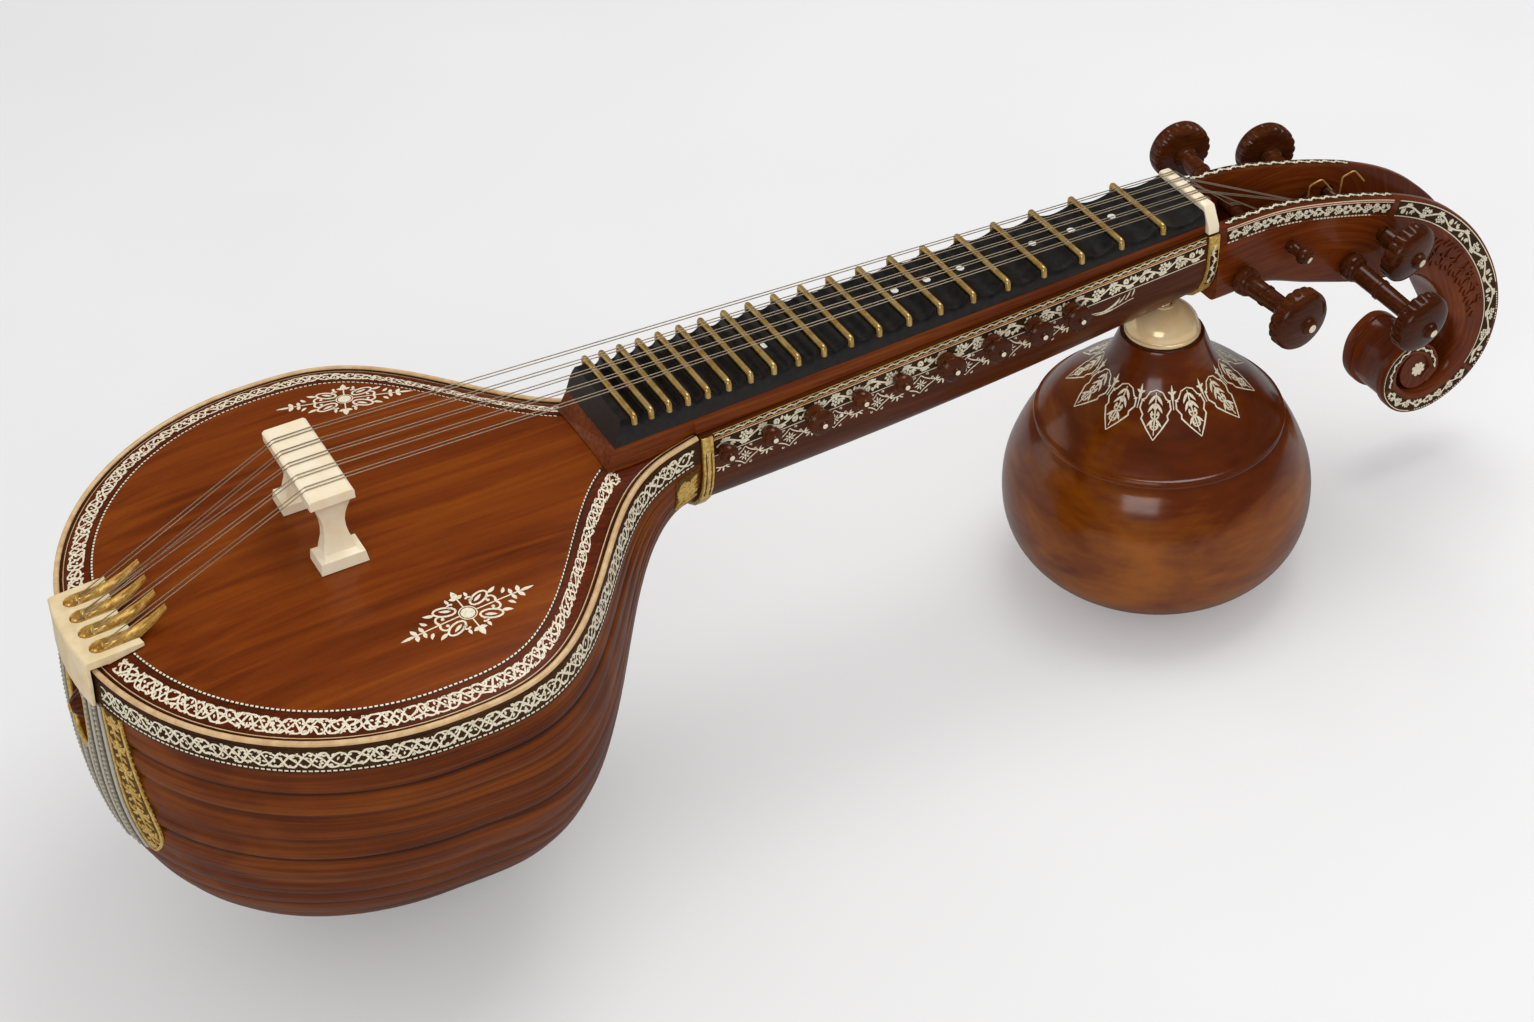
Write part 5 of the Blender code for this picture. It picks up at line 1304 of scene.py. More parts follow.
def knotShape(pitch, width, kind=0):
    # freely cut stems that cross one another, leaves in every gap; each kind is cut differently
    chance = Random(40 + kind)
    shape = startShape()
    middle, swing = width / 2, width / 2 - 0.0009
    for strand in range(3):
        phase = strand * 2 * pi / 3
        drift = [[0, 0]] + [[chance.uniform(-1, 1) * pitch * 0.06, chance.uniform(-1, 1) * width * 0.19]
                            for _ in range(4)] + [[0, 0]]
        drift = smoothThrough(drift, 4)
        path = []
        for k in range(21):
            y = swing * sin(2 * pi * k / 20 + phase) + drift[k][1]
            path.append((pitch * k / 20 + drift[k][0], middle + min(swing, max(-swing, y))))
        rough = chance.uniform(0, 6)
        addRibbon(shape, path, [0.0011 + 0.0007 * abs(sin(rough + 0.7 * k)) * sin(pi * k / 20) for k in range(21)])
    for k in range(6):
        x = pitch * (k + 0.5 + chance.uniform(-0.22, 0.22)) / 6
        side = 1 if chance.random() < 0.5 else -1
        root = middle + side * width * chance.uniform(0.20, 0.32)
        for fan in (-1.1, -0.2, 0.8) if (k + kind) % 2 else (-0.6, 0.6):
            turn = side * pi / 2 + fan * side + chance.uniform(-0.3, 0.3)
            addLeaf(shape, x + 0.0009 * fan, root, turn, width * chance.uniform(0.20, 0.29),
                    chance.uniform(0.0014, 0.0021), fan * 0.5, 3)
        heart = middle - side * width * chance.uniform(-0.05, 0.25)
        turn = side * 0.9 + chance.uniform(-0.7, 0.7)
        for step in (0, pi) if k % 2 else (0.3, 2.2, 4.2):
            addLeaf(shape, x + 0.0007 * cos(turn + step), heart + 0.0007 * sin(turn + step), turn + step,
                    width * chance.uniform(0.18, 0.27), chance.uniform(0.0014, 0.0019), 0.5 * side, 3)
    return shape


def leafyShape(pitch, width, kind=0, stem=0.0010):
    # a waving stem, its hollows filled with a flower or a curl, and fat leaves on both sides
    chance = Random(80 + kind)
    shape = startShape()
    middle, swing = width / 2, width * 0.22
    fat = max(width * 0.18, stem * 1.5)
    path = [(pitch * k / 16, middle + swing * sin(2 * pi * k / 16)) for k in range(17)]
    addRibbon(shape, path, stem * 1.15)
    for place, side in ((pitch * 0.25, -1), (pitch * 0.75, 1)):
        heart = middle + side * width * 0.14
        if (kind + (side > 0)) % 2:
            addDisc(shape, place, heart, width * 0.085, 8)
            for k in range(6):
                turn = k * pi / 3 + 0.3 * kind
                addLeaf(shape, place + cos(turn) * width * 0.11, heart + sin(turn) * width * 0.11, turn,
                        width * 0.23, fat * 1.1, 0.3, 3)
        else:
            addCurl(shape, place - pitch * 0.10, heart - side * width * 0.18, side * 0.5, width * 0.22, side * 0.85,
                    stem * 1.6, 9)
            addLeaf(shape, place, heart, side * 1.1, width * 0.32, fat, side * 0.4, 4)
        for reach, turn in ((0.38, 0.25), (0.40, 0.95), (0.34, 1.75)):
            turn += chance.uniform(-0.15, 0.15)
            addLeaf(shape, place + pitch * 0.12, middle + side * width * 0.02, side * turn, width * reach, fat,
                    side * 0.5, 4)
        outer = middle - side * (swing + stem * 0.4)
        for turn in (-0.30, -1.0, -1.6, -2.2, -2.85):
            addLeaf(shape, place + pitch * 0.02 * (turn + 1.6), outer, side * turn, width * 0.28, fat * 0.85,
                    -side * 0.4, 3)
    return shape


def vineShape(pitch, width, stem=0.0009):
    # a small waving stem with a leaf on each side of every bend
    shape = startShape()
    middle, swing = width / 2, width * 0.24
    path = [(pitch * k / 10, middle + swing * sin(2 * pi * k / 10)) for k in range(11)]
    addRibbon(shape, path, stem)
    for place, side in ((pitch * 0.25, -1), (pitch * 0.75, 1)):
        root = middle - side * swing
        for reach, turn in ((0.52, 0.45), (0.50, 1.25), (0.42, 2.2)):
            addLeaf(shape, place, root, side * turn, width * reach, width * 0.20, side * 0.4, 3)
        for turn in (-0.6, -2.5):
            addLeaf(shape, place, root, side * turn, width * 0.30, width * 0.16, -side * 0.4, 3)
    return shape


def diamondShape(length, width):
    # a foliate rhombus: four ribs, a flower inside, a curl on each flank
    shape = startShape()
    a, b = length / 2, width / 2
    corners = [(-a, 0), (0, b), (a, 0), (0, -b)]
    for (x1, y1), (x2, y2) in zip(corners, corners[1:] + corners[:1]):
        path = [(mix(x1, x2, t), mix(y1, y2, t) * (1 - 0.22 * sin(pi * t))) for t in (k / 4 for k in range(5))]
        addRibbon(shape, path, [0.0006, 0.0009, 0.0011, 0.0009, 0.0006])
    addDisc(shape, 0, 0, 0.0010, 8)
    for k in range(8):
        turn = k * pi / 4
        addLeaf(shape, cos(turn) * 0.0012, sin(turn) * 0.0012, turn, 0.0034 if k % 2 else 0.0044, 0.0013, 0.25, 3)
    for side in (1, -1):
        addLeaf(shape, side * a, 0, 0.0 if side > 0 else pi, 0.0045, 0.0016, 0.0, 3)
        for up in (1, -1):
            addLeaf(shape, side * a, 0, (0.7 if side > 0 else pi - 0.7) * up, 0.0042, 0.0013, 0.5 * up * side, 3)
            addCurl(shape, side * a * 0.45, up * b * 0.85, up * (0.5 if side > 0 else pi - 0.5), 0.0013,
                    up * side * 0.7, 0.0008, 7)
    return shape


def lozengeShape():
    # the soundboard's ornament: a disc on a long axis, open scrolls on both sides, a trefoil near each tip
    shape = startShape()
    addDisc(shape, 0, 0, 0.0050, 24)
    addLoop(shape, 0, 0, 0.0062, 0.0062, 0, 0.0008, 24)
    for side in (1, -1):
        face = 0.0 if side > 0 else pi
        addRibbon(shape, [(side * mix(0.0066, 0.047, k / 8), 0) for k in range(9)], 0.0010)
        addLeaf(shape, side * 0.0400, 0, face, 0.0110, 0.0026, 0.0, 4)
        for up in (1, -1):
            bend = up * side

            def go(turn):
                return up * (turn if side > 0 else pi - turn)
            addLeaf(shape, side * 0.0385, up * 0.0004, go(0.95), 0.0062, 0.0034, 0.4 * bend, 4)
            addLeaf(shape, side * 0.0335, up * 0.0004, go(1.2), 0.0056, 0.0030, 0.4 * bend, 4)
            # a closed loop with a leaf in it, then an open one, getting smaller outwards
            addLoop(shape, side * 0.0132, up * 0.0090, 0.0078, 0.0042, bend * 0.42, 0.0016)
            addLeaf(shape, side * 0.0090, up * 0.0075, go(0.4), 0.0085, 0.0026, 0.2 * bend, 4)
            addCurl(shape, side * 0.0215, up * 0.0006, go(0.7), 0.0046, bend * 0.72, 0.0018, 12)
            addLeaf(shape, side * 0.0205, up * 0.0100, go(0.15), 0.0080, 0.0030, 0.5 * bend, 4)
            addLeaf(shape, side * 0.0285, up * 0.0045, go(0.6), 0.0060, 0.0026, 0.6 * bend, 4)
            addCurl(shape, side * 0.0050, up * 0.0125, go(1.0), 0.0030, -bend * 0.7, 0.0016, 9)
            addLeaf(shape, side * 0.0070, up * 0.0140, go(1.35), 0.0052, 0.0026, 0.3 * bend, 3)
    for up in (1, -1):
        addRibbon(shape, [(0, up * 0.0064), (0, up * 0.0110), (0, up * 0.0165)], 0.0010)
        addLeaf(shape, 0, up * 0.0150, up * pi / 2, 0.0090, 0.0046, 0.0, 4)
        for side in (1, -1):
            addLeaf(shape, 0, up * 0.0155, up * (pi / 2 + side * 1.05), 0.0056, 0.0034, 0.3 * side * up, 3)
    return shape


def gourdLeafShape(length, width):
    # a pointed leaf with a scalloped outline, hanging down, with tracery inside; u goes round, v down
    shape = startShape()
    for side in (1, -1):
        path = [(0, 0), (side * width * 0.22, length * 0.05), (side * width * 0.34, length * 0.18),
                (side * width * 0.44, length * 0.22), (side * width * 0.46, length * 0.38),
                (side * width * 0.34, length * 0.50), (side * width * 0.36, length * 0.58),
                (side * width * 0.18, length * 0.78), (0, length)]
        addRibbon(shape, path, [0.0008, 0.0011, 0.0013, 0.0013, 0.0014, 0.0013, 0.0013, 0.0011, 0.0006])
        addCurl(shape, side * width * 0.06, length * 0.66, side * -0.9 + pi / 2, width * 0.13, side * 0.7, 0.0012, 8)
        addCurl(shape, side * width * 0.08, length * 0.42, side * -0.8 + pi / 2, width * 0.16, side * 0.75,
                0.0014, 8)
        addLeaf(shape, 0, length * 0.10, pi / 2 - side * 0.9, width * 0.36, 0.0026, side * 0.5, 4)
        addLeaf(shape, side * width * 0.02, length * 0.26, pi / 2 - side * 0.8, width * 0.34, 0.0024, side * 0.4, 4)
        addLeaf(shape, side * width * 0.02, length * 0.56, pi / 2 - side * 0.6, width * 0.30, 0.0022, 0, 3)
        addLeaf(shape, side * width * 0.36, length * 0.24, -side * 0.4 + (0 if side > 0 else pi), width * 0.14,
                0.0018, 0, 3)
    addRibbon(shape, [(0, length * 0.05), (0, length * 0.3), (0, length * 0.6), (0, length * 0.9)],
              [0.0009, 0.0012, 0.0011, 0.0006])
    addDisc(shape, 0, length * 0.34, 0.0019, 8)
    return shape


def dashShape(length, width):
    shape = startShape()
    addStrip(shape, [(0, 0), (length, 0)], [(0, width), (length, width)])
    return shape


def inlayTree():
    # copies of a cut shape along a line in the strip's own map, then laid on the strip
    tree, start, end = startTree("inlayOnSurface", [
        ("Strip", "Object"), ("Count", "Int"), ("Pitch", "Float"), ("Start", "Float"), ("Finish", "Material")])
    step = addNode(tree, "ShaderNodeCombineXYZ", feeds={"X": start.outputs["Pitch"]})
    first = addNode(tree, "ShaderNodeCombineXYZ", feeds={"X": start.outputs["Start"]})
    line = addNode(tree, "GeometryNodeMeshLine", feeds={"Count": start.outputs["Count"], "Offset": step.outputs[0],
                                                        "Start Location": first.outputs[0]}, mode="OFFSET")
    copies = addNode(tree, "GeometryNodeInstanceOnPoints", feeds={"Points": line.outputs[0],
                                                                  "Instance": start.outputs["Geometry"]})
    real = addNode(tree, "GeometryNodeRealizeInstances", feeds={"Geometry": copies.outputs[0]})
    info = addNode(tree, "GeometryNodeObjectInfo", feeds={"Object": start.outputs["Strip"]},
                   transform_space="ORIGINAL")
    where = addNode(tree, "GeometryNodeInputPosition")
    sourceMap = addNode(tree, "GeometryNodeInputNamedAttribute", {"Name": "stripMap"}, data_type="FLOAT_VECTOR")
    outward = addNode(tree, "GeometryNodeInputNamedAttribute", {"Name": "outward"}, data_type="FLOAT_VECTOR")
    onto = addNode(tree, "GeometryNodeInputPosition")
    laid = addNode(tree, "GeometryNodeSampleUVSurface", feeds={
        "Mesh": info.outputs["Geometry"], "Value": onto.outputs[0], "Source UV Map": sourceMap.outputs[0],
        "Sample UV": where.outputs[0]}, data_type="FLOAT_VECTOR")
    lift = addNode(tree, "GeometryNodeSampleUVSurface", feeds={
        "Mesh": info.outputs["Geometry"], "Value": outward.outputs[0], "Source UV Map": sourceMap.outputs[0],
        "Sample UV": where.outputs[0]}, data_type="FLOAT_VECTOR")
    apart = addNode(tree, "ShaderNodeSeparateXYZ", feeds={"Vector": where.outputs[0]})
    off = addNode(tree, "ShaderNodeVectorMath", operation="SCALE")
    tree.links.new(lift.outputs[0], off.inputs[0])
    tree.links.new(apart.outputs["Z"], off.inputs["Scale"])
    onSurface = addNode(tree, "ShaderNodeVectorMath", operation="ADD")
    tree.links.new(laid.outputs[0], onSurface.inputs[0])
    tree.links.new(off.outputs[0], onSurface.inputs[1])
    outside = lawNode(tree, "SUBTRACT", 1.0, laid.outputs[1])
    kept = addNode(tree, "GeometryNodeDeleteGeometry", feeds={"Geometry": real.outputs[0], "Selection": outside},
                   domain="POINT")
    placed = addNode(tree, "GeometryNodeSetPosition", feeds={"Geometry": kept.outputs[0],
                                                             "Position": onSurface.outputs[0]})
    dressed = addNode(tree, "GeometryNodeSetMaterial", feeds={"Geometry": placed.outputs[0],
                                                              "Material": start.outputs["Finish"]})
    tree.links.new(dressed.outputs[0], end.inputs[0])
    return tree


inlayOnSurface = inlayTree()


def surfaceStrip(rows, facing, scaleU=None):
    # rows of points, each from v = 0 outwards; the map is in metres along and across
    count = len(rows[0])
    points = [p for row in rows for p in row]
    mesh = bpy.data.meshes.new("strip")
    mesh.from_pydata([tuple(p) for p in points], [], gridFaces(len(rows), count))
    mesh.update()
    middle = count // 2
    travel, uv = [0.0], []
    for a, b in zip(rows, rows[1:]):
        travel.append(travel[-1] + (b[middle] - a[middle]).length * (scaleU or 1.0))
    for r, row in enumerate(rows):
        wide = 0.0
        for c, p in enumerate(row):
            if c:
                wide += (p - row[c - 1]).length
            uv.append((travel[r], wide))
    layer = mesh.uv_layers.new(name="stripMap")
    corners = [0] * len(mesh.loops)
    mesh.loops.foreach_get("vertex_index", corners)
    layer.data.foreach_set("uv", [value for corner in corners for value in uv[corner]])
    outward = mesh.attributes.new("outward", "FLOAT_VECTOR", "POINT")
    normals = [v.normal.copy() for v in mesh.vertices]
    sign = 1 if sum(n.dot(facing(v.co)) for n, v in zip(normals, mesh.vertices)) > 0 else -1
    outward.data.foreach_set("vector", [value * sign for n in normals for value in n])
    strip = bpy.data.objects.new("stripHelper", mesh)
    bpy.context.scene.collection.objects.link(strip)
    return strip, travel[-1]


inlayResults = {}


def layInlay(group, strip, shape, count, pitch, start, material):
    # results that share a group become one piece
    mesh = runTree("inlay", shapeMesh(shape), inlayOnSurface, {
        "Strip": strip, "Count": count, "Pitch": pitch, "Start": start, "Finish": material})
    if not len(mesh.polygons):
        print("no inlay laid:", group, strip.name)
        return
    inlayResults.setdefault(group, []).append(mesh)


def layGround(group, rows, material, facing, proud=0.00005, sunk=0.0004):
    # a plain thin sheet let in over the whole strip, which carries the cut work
    strip, length = surfaceStrip(rows, facing)
    mesh = strip.data
    outward = [0.0] * (3 * len(mesh.vertices))
    mesh.attributes["outward"].data.foreach_get("vector", outward)
    columns = len(rows[0])
    points = []
    for sign in (proud, -sunk):
        for k, v in enumerate(mesh.vertices):
            points.append(v.co + Vector(outward[3 * k:3 * k + 3]) * sign)
    half = len(mesh.vertices)
    faces = gridFaces(len(rows), columns)
    under = [tuple(half + k for k in reversed(face)) for face in faces]
    rim = list(range(columns)) + [r * columns + columns - 1 for r in range(1, len(rows))]
    rim += [(len(rows) - 1) * columns + c for c in range(columns - 2, -1, -1)]
    rim += [r * columns for r in range(len(rows) - 2, 0, -1)]
    walls = [(a, b, b + half, a + half) for a, b in zip(rim, rim[1:] + rim[:1])]
    made = meshFrom("ground", points, faces + under + walls, material)
    closeUp(made)
    inlayResults.setdefault(group, []).append(made)
    return strip, length


def layBand(group, strip, length, shapeMaker, pitch, material, margin=0.001, kinds=1):
    # as many whole copies as fit, the pitch stretched to fill the length; kinds take turns along the band
    count = max(kinds, int((length - 2 * margin) / pitch) // kinds * kinds)
    fitted = (length - 2 * margin) / count
    for kind in range(kinds):
        layInlay(group, strip, shapeMaker(fitted, kind), count // kinds, fitted * kinds, margin + kind * fitted,
                 material)


def gatherInlay(group, body, slot):
    work = bmesh.new()
    materials = []
    for mesh in inlayResults[group]:
        used = [one for one in mesh.materials if one][0]
        if used not in materials:
            materials.append(used)
        before = len(work.faces)
        work.from_mesh(mesh)
        work.faces.ensure_lookup_table()
        for k in range(before, len(work.faces)):
            work.faces[k].material_index = materials.index(used)
    bmesh.ops.recalc_face_normals(work, faces=work.faces)
    whole = bpy.data.meshes.new(group)
    work.to_mesh(whole)
    work.free()
    for obj in [obj for obj in bpy.data.objects if obj.name.startswith("stripHelper")]:
        if obj.data.attributes.get("outward"):
            bpy.data.objects.remove(obj)
    for one in materials:
        whole.materials.append(one)
    return finishPiece(group, whole, body, slot, sharp=40)


upward = Vector((0, 0, 1))


def awayFromMiddle(point):
    return Vector((point.x - bodyX, point.y, 0)) if point.x < bodyX + 0.1 else Vector((0, point.y, 0))


# --- soundboard: a braided band and a row of dashes that follow the rim, two lozenges ---

boardBands = {"outer": 0.0090, "inner": 0.0222, "dash": 0.0268, "saddleNear": -0.0400, "saddleFar": 0.0300}


def boardPath(side):
    # stations from the neck to the tail saddle on one side
    out = []
    for part, u in reversed(stations):
        if part == "tail":
            x = -(body["rimTail"] - 0.0195) * cos(pi / 2 * u)
            y = side * (body["rimHalf"] - 0.0195) * sin(pi / 2 * u)
            limit = boardBands["saddleNear"] if side < 0 else boardBands["saddleFar"]
            if abs(y) < abs(limit):
                break
        out.append((part, u))
    return out


def bandInsets(x, outer, inner):
    # beside the plinth the band draws in towards the bead and thins out
    if x > 0.12:
        outer = mix(outer, 0.0082, ease((x - 0.12) / 0.08))
        plinth = fretHalf(max(x, 0.194)) + 0.0056 if x > 0.178 else 0.0
        room = rimHalf(x) - plinth
        inner = min(inner, room)
    return outer, inner


for side in (-1, 1):
    rows, dashRows = [], []
    for station in boardPath(side):
        x = body["jointX"] * station[1] if station[0] == "neck" else -0.1
        outer, inner = bandInsets(x, boardBands["outer"], boardBands["inner"])
        if inner - outer > 0.0095:
            rows.append([boardPoint(station, side, mix(inner, outer, k / 6)) for k in range(7)])
        if rimHalf(max(x, 0)) - boardBands["dash"] > 0.047 or station[0] == "tail":
            dashRows.append([boardPoint(station, side, boardBands["dash"] + 0.0014 - 0.0028 * k / 2)
                             for k in range(3)])
    strip, length = surfaceStrip(rows, lambda p: upward)
    layBand("soundboard_inlay", strip, length, lambda pitch, kind: knotShape(pitch, 0.0132, kind), 0.0230, inlaidBone,
            0.0015, 7)
    strip, length = surfaceStrip(dashRows, lambda p: upward)
    layBand("soundboard_inlay", strip, length, lambda pitch, kind: dashShape(pitch * 0.62, 0.0013), 0.0036,
            inlaidBone)

lozenges = {
    # centre, direction of the long axis and half length, in millimetres from the bowl's middle
    "near": (41.0, -131.0, 0.112, 46.0), "far": (58.0, 146.0, -0.285, 46.0),
}
for x, y, turn, half in lozenges.values():
    rows = []
    for i in range(13):
        row = []
        for j in range(9):
            a, b = (i / 12 - 0.5) * 0.130, (j / 8 - 0.5) * 0.060
            px, py = x / 1000 + a * cos(turn) - b * sin(turn), y / 1000 + a * sin(turn) + b * cos(turn)
            row.append(Vector((px + bodyX, py, boardZ(px, py))))
        rows.append(row)
    strip, length = surfaceStrip(rows, lambda p: upward)
    shape = lozengeShape()
    shape["points"] = [(a, b + 0.030, c) for a, b, c in shape["points"]]
    layInlay("soundboard_inlay", strip, shape, 1, 0.1, length / 2, inlaidBone)
gatherInlay("soundboard_inlay", "body", "bone")
print("soundboard inlaid")


def raised(shape, proud):
    # the same shape, standing higher
    shape["points"] = [(x, y, proud if z > 0 else z) for x, y, z in shape["points"]]
    return shape


def moved(shape, dx, dy, turn=0.0):
    shape["points"] = [(x * cos(turn) - y * sin(turn) + dx, x * sin(turn) + y * cos(turn) + dy, z)
                       for x, y, z in shape["points"]]
    return shape


# --- bowl's side: a leafy band on a dark ground and a row of dashes under it, from the neck to the tail ---

sideBand = {"top": 0.0050, "bottom": 0.0190, "dash": 0.0206, "dashHigh": 0.0012, "strapNear": -0.0450,
            "strapFar": 0.0300}


def sidePath(side):
    out = []
    for station in reversed(stations):
        if station[0] == "tail":
            p = bowlPoint(station, side, sideShare(station, 0.012))
            limit = sideBand["strapNear"] if side < 0 else sideBand["strapFar"]
            if abs(p.y) < abs(limit):
                break
        elif body["jointX"] * station[1] > body["jointX"] - 0.0012:
            continue
        out.append(station)
    return out


for side in (-1, 1):
    rows, dashRows = [], []
    for station in sidePath(side):
        rows.append([bowlPoint(station, side, sideShare(station, mix(sideBand["bottom"], sideBand["top"], k / 8)))
                     for k in range(9)])
        dashRows.append([bowlPoint(station, side, sideShare(station, sideBand["dash"] + sideBand["dashHigh"] * (1 - k)))
                         for k in range(2)])
    strip, length = surfaceStrip(rows, awayFromMiddle)
    layBand("bowl_inlay", strip, length, lambda pitch, kind: knotShape(pitch, 0.0140, kind + 7), 0.0240, inlaidBone,
            0.0015, 7)
    strip, length = surfaceStrip(dashRows, awayFromMiddle)
    layBand("bowl_inlay", strip, length, lambda pitch, kind: dashShape(pitch * 0.66, 0.0012), 0.0040, inlaidBone)

# a chased gilt plate on each flank, where the bowl meets the neck
for side in (-1, 1):
    rows = []
    for k in range(9):
        station = ("neck", mix(0.915, 0.993, k / 8))
        rows.append([bowlPoint(station, side, sideShare(station, mix(0.0560, 0.0262, j / 8))) for j in range(9)])
    strip, length = layGround("bowl_gilt", rows, antiqueGilt, awayFromMiddle, 0.0006, 0.0030)
    layInlay("bowl_gilt", strip, raised(vineShape(length / 2, 0.0280, 0.0016), 0.0013), 2, length / 2, 0.0002,
             gildedBrass)
    border = startShape()
    addStrip(border, [(0, 0.0001), (length, 0.0001)], [(0, 0.0016), (length, 0.0016)])
    layInlay("bowl_gilt", strip, raised(border, 0.0014), 1, 1.0, 0.0, gildedBrass)
gatherInlay("bowl_inlay", "body", "bone")
print("bowl's side inlaid")


# --- tail: a ribbed silver apron with gilt straps at its sides and a gilt rim round the pocket ---

strapRows = [
    # z, then the strap's inner and outer edge, as distances from the pocket's middle
    (0.2788, 0.0480, 0.0690), (0.2700, 0.0490, 0.0708), (0.2550, 0.0515, 0.0740), (0.2290, 0.0545, 0.0800),
    (0.2030, 0.0560, 0.0845), (0.1840, 0.0575, 0.0850), (0.1700, 0.0590, 0.0800), (0.1580, 0.0610, 0.0700),
    (0.1540, 0.0620, 0.0650)]
strapPath = smoothThrough(strapRows, 5)
tailMiddle = recess["y"]


def towardTail(point):
    return Vector((-1, 0.3 * point.y / 0.1, 0))


for side in (-1, 1):
    rows = [[tailAt(tailMiddle + side * mix(inner, outer, k / 10), z) for k in range(11)]
            for z, inner, outer in strapPath]
    strip, length = layGround("bowl_gilt", rows, antiqueGilt, towardTail, 0.0009, 0.0055)
    for k in (0, 1):
        # a raised border along each edge
        edgeRows = [[tailAt(tailMiddle + side * (edge + step * j / 2), z) for j in range(3)]
                    for z, edge, step in ((z, inner if k == 0 else outer - 0.0024, 0.0024)
                                          for z, inner, outer in strapPath)]
        layGround("bowl_gilt", edgeRows, gildedBrass, towardTail, 0.0017, 0.0050)
    # scrolls that fill the strap's width, which changes down its length
    travel = 0.0
    for k in range(7):
        z = mix(0.2740, 0.1640, k / 6)
        inner = min(strapPath, key=lambda row: abs(row[0] - z))
        room = inner[2] - inner[1] - 0.0060
        motif = startShape()
        for up in (1, -1):
            addCurl(motif, 0.0010, room * 0.30 * up, -0.5 * up, min(0.0050, room * 0.16), -up * 0.8, 0.0016, 9)
            addLeaf(motif, 0.0030, room * 0.08 * up, 0.9 * up, min(0.012, room * 0.40), 0.0030, 0.4 * up, 4)
            addLeaf(motif, 0.0100, room * 0.10 * up, 1.2 * up, min(0.011, room * 0.34), 0.0026, -0.5 * up, 4)
            addLeaf(motif, 0.0040, room * 0.30 * up, 2.4 * up, 0.0070, 0.0024, 0.5 * up, 3)
        addLeaf(motif, -0.0015, 0, 0, 0.0170, 0.0034, 0, 5)
        addDisc(motif, -0.0020, 0, 0.0017, 8)
        here = (0.2788 - z) * length / (0.2788 - 0.1540)
        wide = sum((rows[0][j + 1] - rows[0][j]).length for j in range(10))
        row = min(rows, key=lambda r: abs(r[5].z - z))
        wide = sum((row[j + 1] - row[j]).length for j in range(10))
        layInlay("bowl_gilt", strip, raised(moved(motif, 0, wide / 2), 0.0016), 1, 1.0, here, gildedBrass)

apron = {"top": 0.2786, "bottom": 0.1500, "ribs": 13, "rows": 150, "perRib": 6, "high": 0.0030, "sag": 0.014}


def apronHalf(z):
    # the apron reaches the straps' inner edges
    z0 = min(strapPath, key=lambda row: abs(row[0] - z))
    return z0[1] - 0.0006


def apronMesh():
    across = apron["ribs"] * apron["perRib"] + 1
    rows, hollowShadeAndGrime = [], []
    for r in range(apron["rows"] + 1):
        straight = mix(apron["top"], apron["bottom"], r / apron["rows"])
        half = apronHalf(straight) if straight > 0.1545 else 0.0590
        thin = ease((1 - r / apron["rows"]) / 0.035)
        row, under, cuts = [], [], []
        for c in range(across):
            t = c / (across - 1)
            rib = t * apron["ribs"]
            index, part = int(rib), rib % 1.0
            y = tailMiddle + mix(-half, half, t)
            z = straight - apron["sag"] * (r / apron["rows"]) ** 2 * (1 - (2 * t - 1) ** 2)
            crest = max(0.0, sin(pi * part)) ** 0.55
            # every second rib is twisted like a rope, the others are plain
            twist = 0.82 + 0.18 * sin(2 * pi * (z / 0.0042 + part * 0.9)) if index % 2 else 1.0
            normal = (tailAt(y, z) - Vector((bodyX - 0.10, y * 0.3, z + 0.02))).normalized()
            p = tailAt(y, z)
            row.append(p + normal * (0.0004 + thin * apron["high"] * crest * twist * (1.0 if index % 2 else 0.7)))
            under.append(p - normal * 0.0040)
            cuts.append(1 - crest * twist)
        rows.append(row + list(reversed(under)))
        hollowShadeAndGrime.append(cuts + cuts[::-1] + cuts[:1])
    return loftMesh("apron", rows, embossedSilver, hollowShadeAndGrime=hollowShadeAndGrime)


apronCut = joinWith(apronMesh(), loftMesh("pocketCutter", [
    [Vector((x + bodyX, y, z)) for y, z in recessOutline(0.0022)] for x in (-0.26, -0.150)], embossedSilver),
    "DIFFERENCE")
inlayResults.setdefault("bowl_gilt", []).append(apronCut)


def rimOfPocket():
    # the path of a gilt bead that follows the bowl round the pocket
    points = []
    for y, z in recessOutline(0.0016, 28):
        points.append(tailAt(y, z))
    return points


outline = rimOfPocket()
loop = bpy.data.meshes.new("rimPath")
loop.from_pydata([tuple(p) for p in outline], [(k, (k + 1) % len(outline)) for k in range(len(outline))], [])
rim = runTree("pocketRim", loop, rodAlongPath, {"Radius": 0.0020, "Sides": 12, "Bend": 0.0, "Finish": gildedBrass})
inlayResults["bowl_gilt"].append(rim)
outline = [tailAt(y, z) for y, z in recessOutline(0.0050, 28)]
loop = bpy.data.meshes.new("rimPath")
loop.from_pydata([tuple(p) for p in outline], [(k, (k + 1) % len(outline)) for k in range(len(outline))], [])
rim = runTree("pocketRim", loop, rodAlongPath, {"Radius": 0.0014, "Sides": 10, "Bend": 0.0, "Finish": gildedBrass})
inlayResults["bowl_gilt"].append(rim)
gatherInlay("bowl_gilt", "body", "gilt_brass")
print("tail dressed")


# --- neck: lines, a leafy band and lozenges on each flank ---

def alongSection(x, side, reach):
    # the point so far down round the neck's side from its top edge
    ring = neckSection(x)
    ring = ring if side < 0 else list(reversed(ring))
    for a, b in zip(ring, ring[1:]):
        step = (b - a).length
        if reach <= step:
            return a.lerp(b, reach / step)
        reach -= step
    return ring[-1]


def sidewards(point):
    return Vector((0, point.y, 0))


def neckRows(side, first, last, top, bottom, count=40, columns=5):
    return [[alongSection(mix(first, last, k / count), side, mix(bottom, top, c / (columns - 1)))
             for c in range(columns)] for k in range(count + 1)]


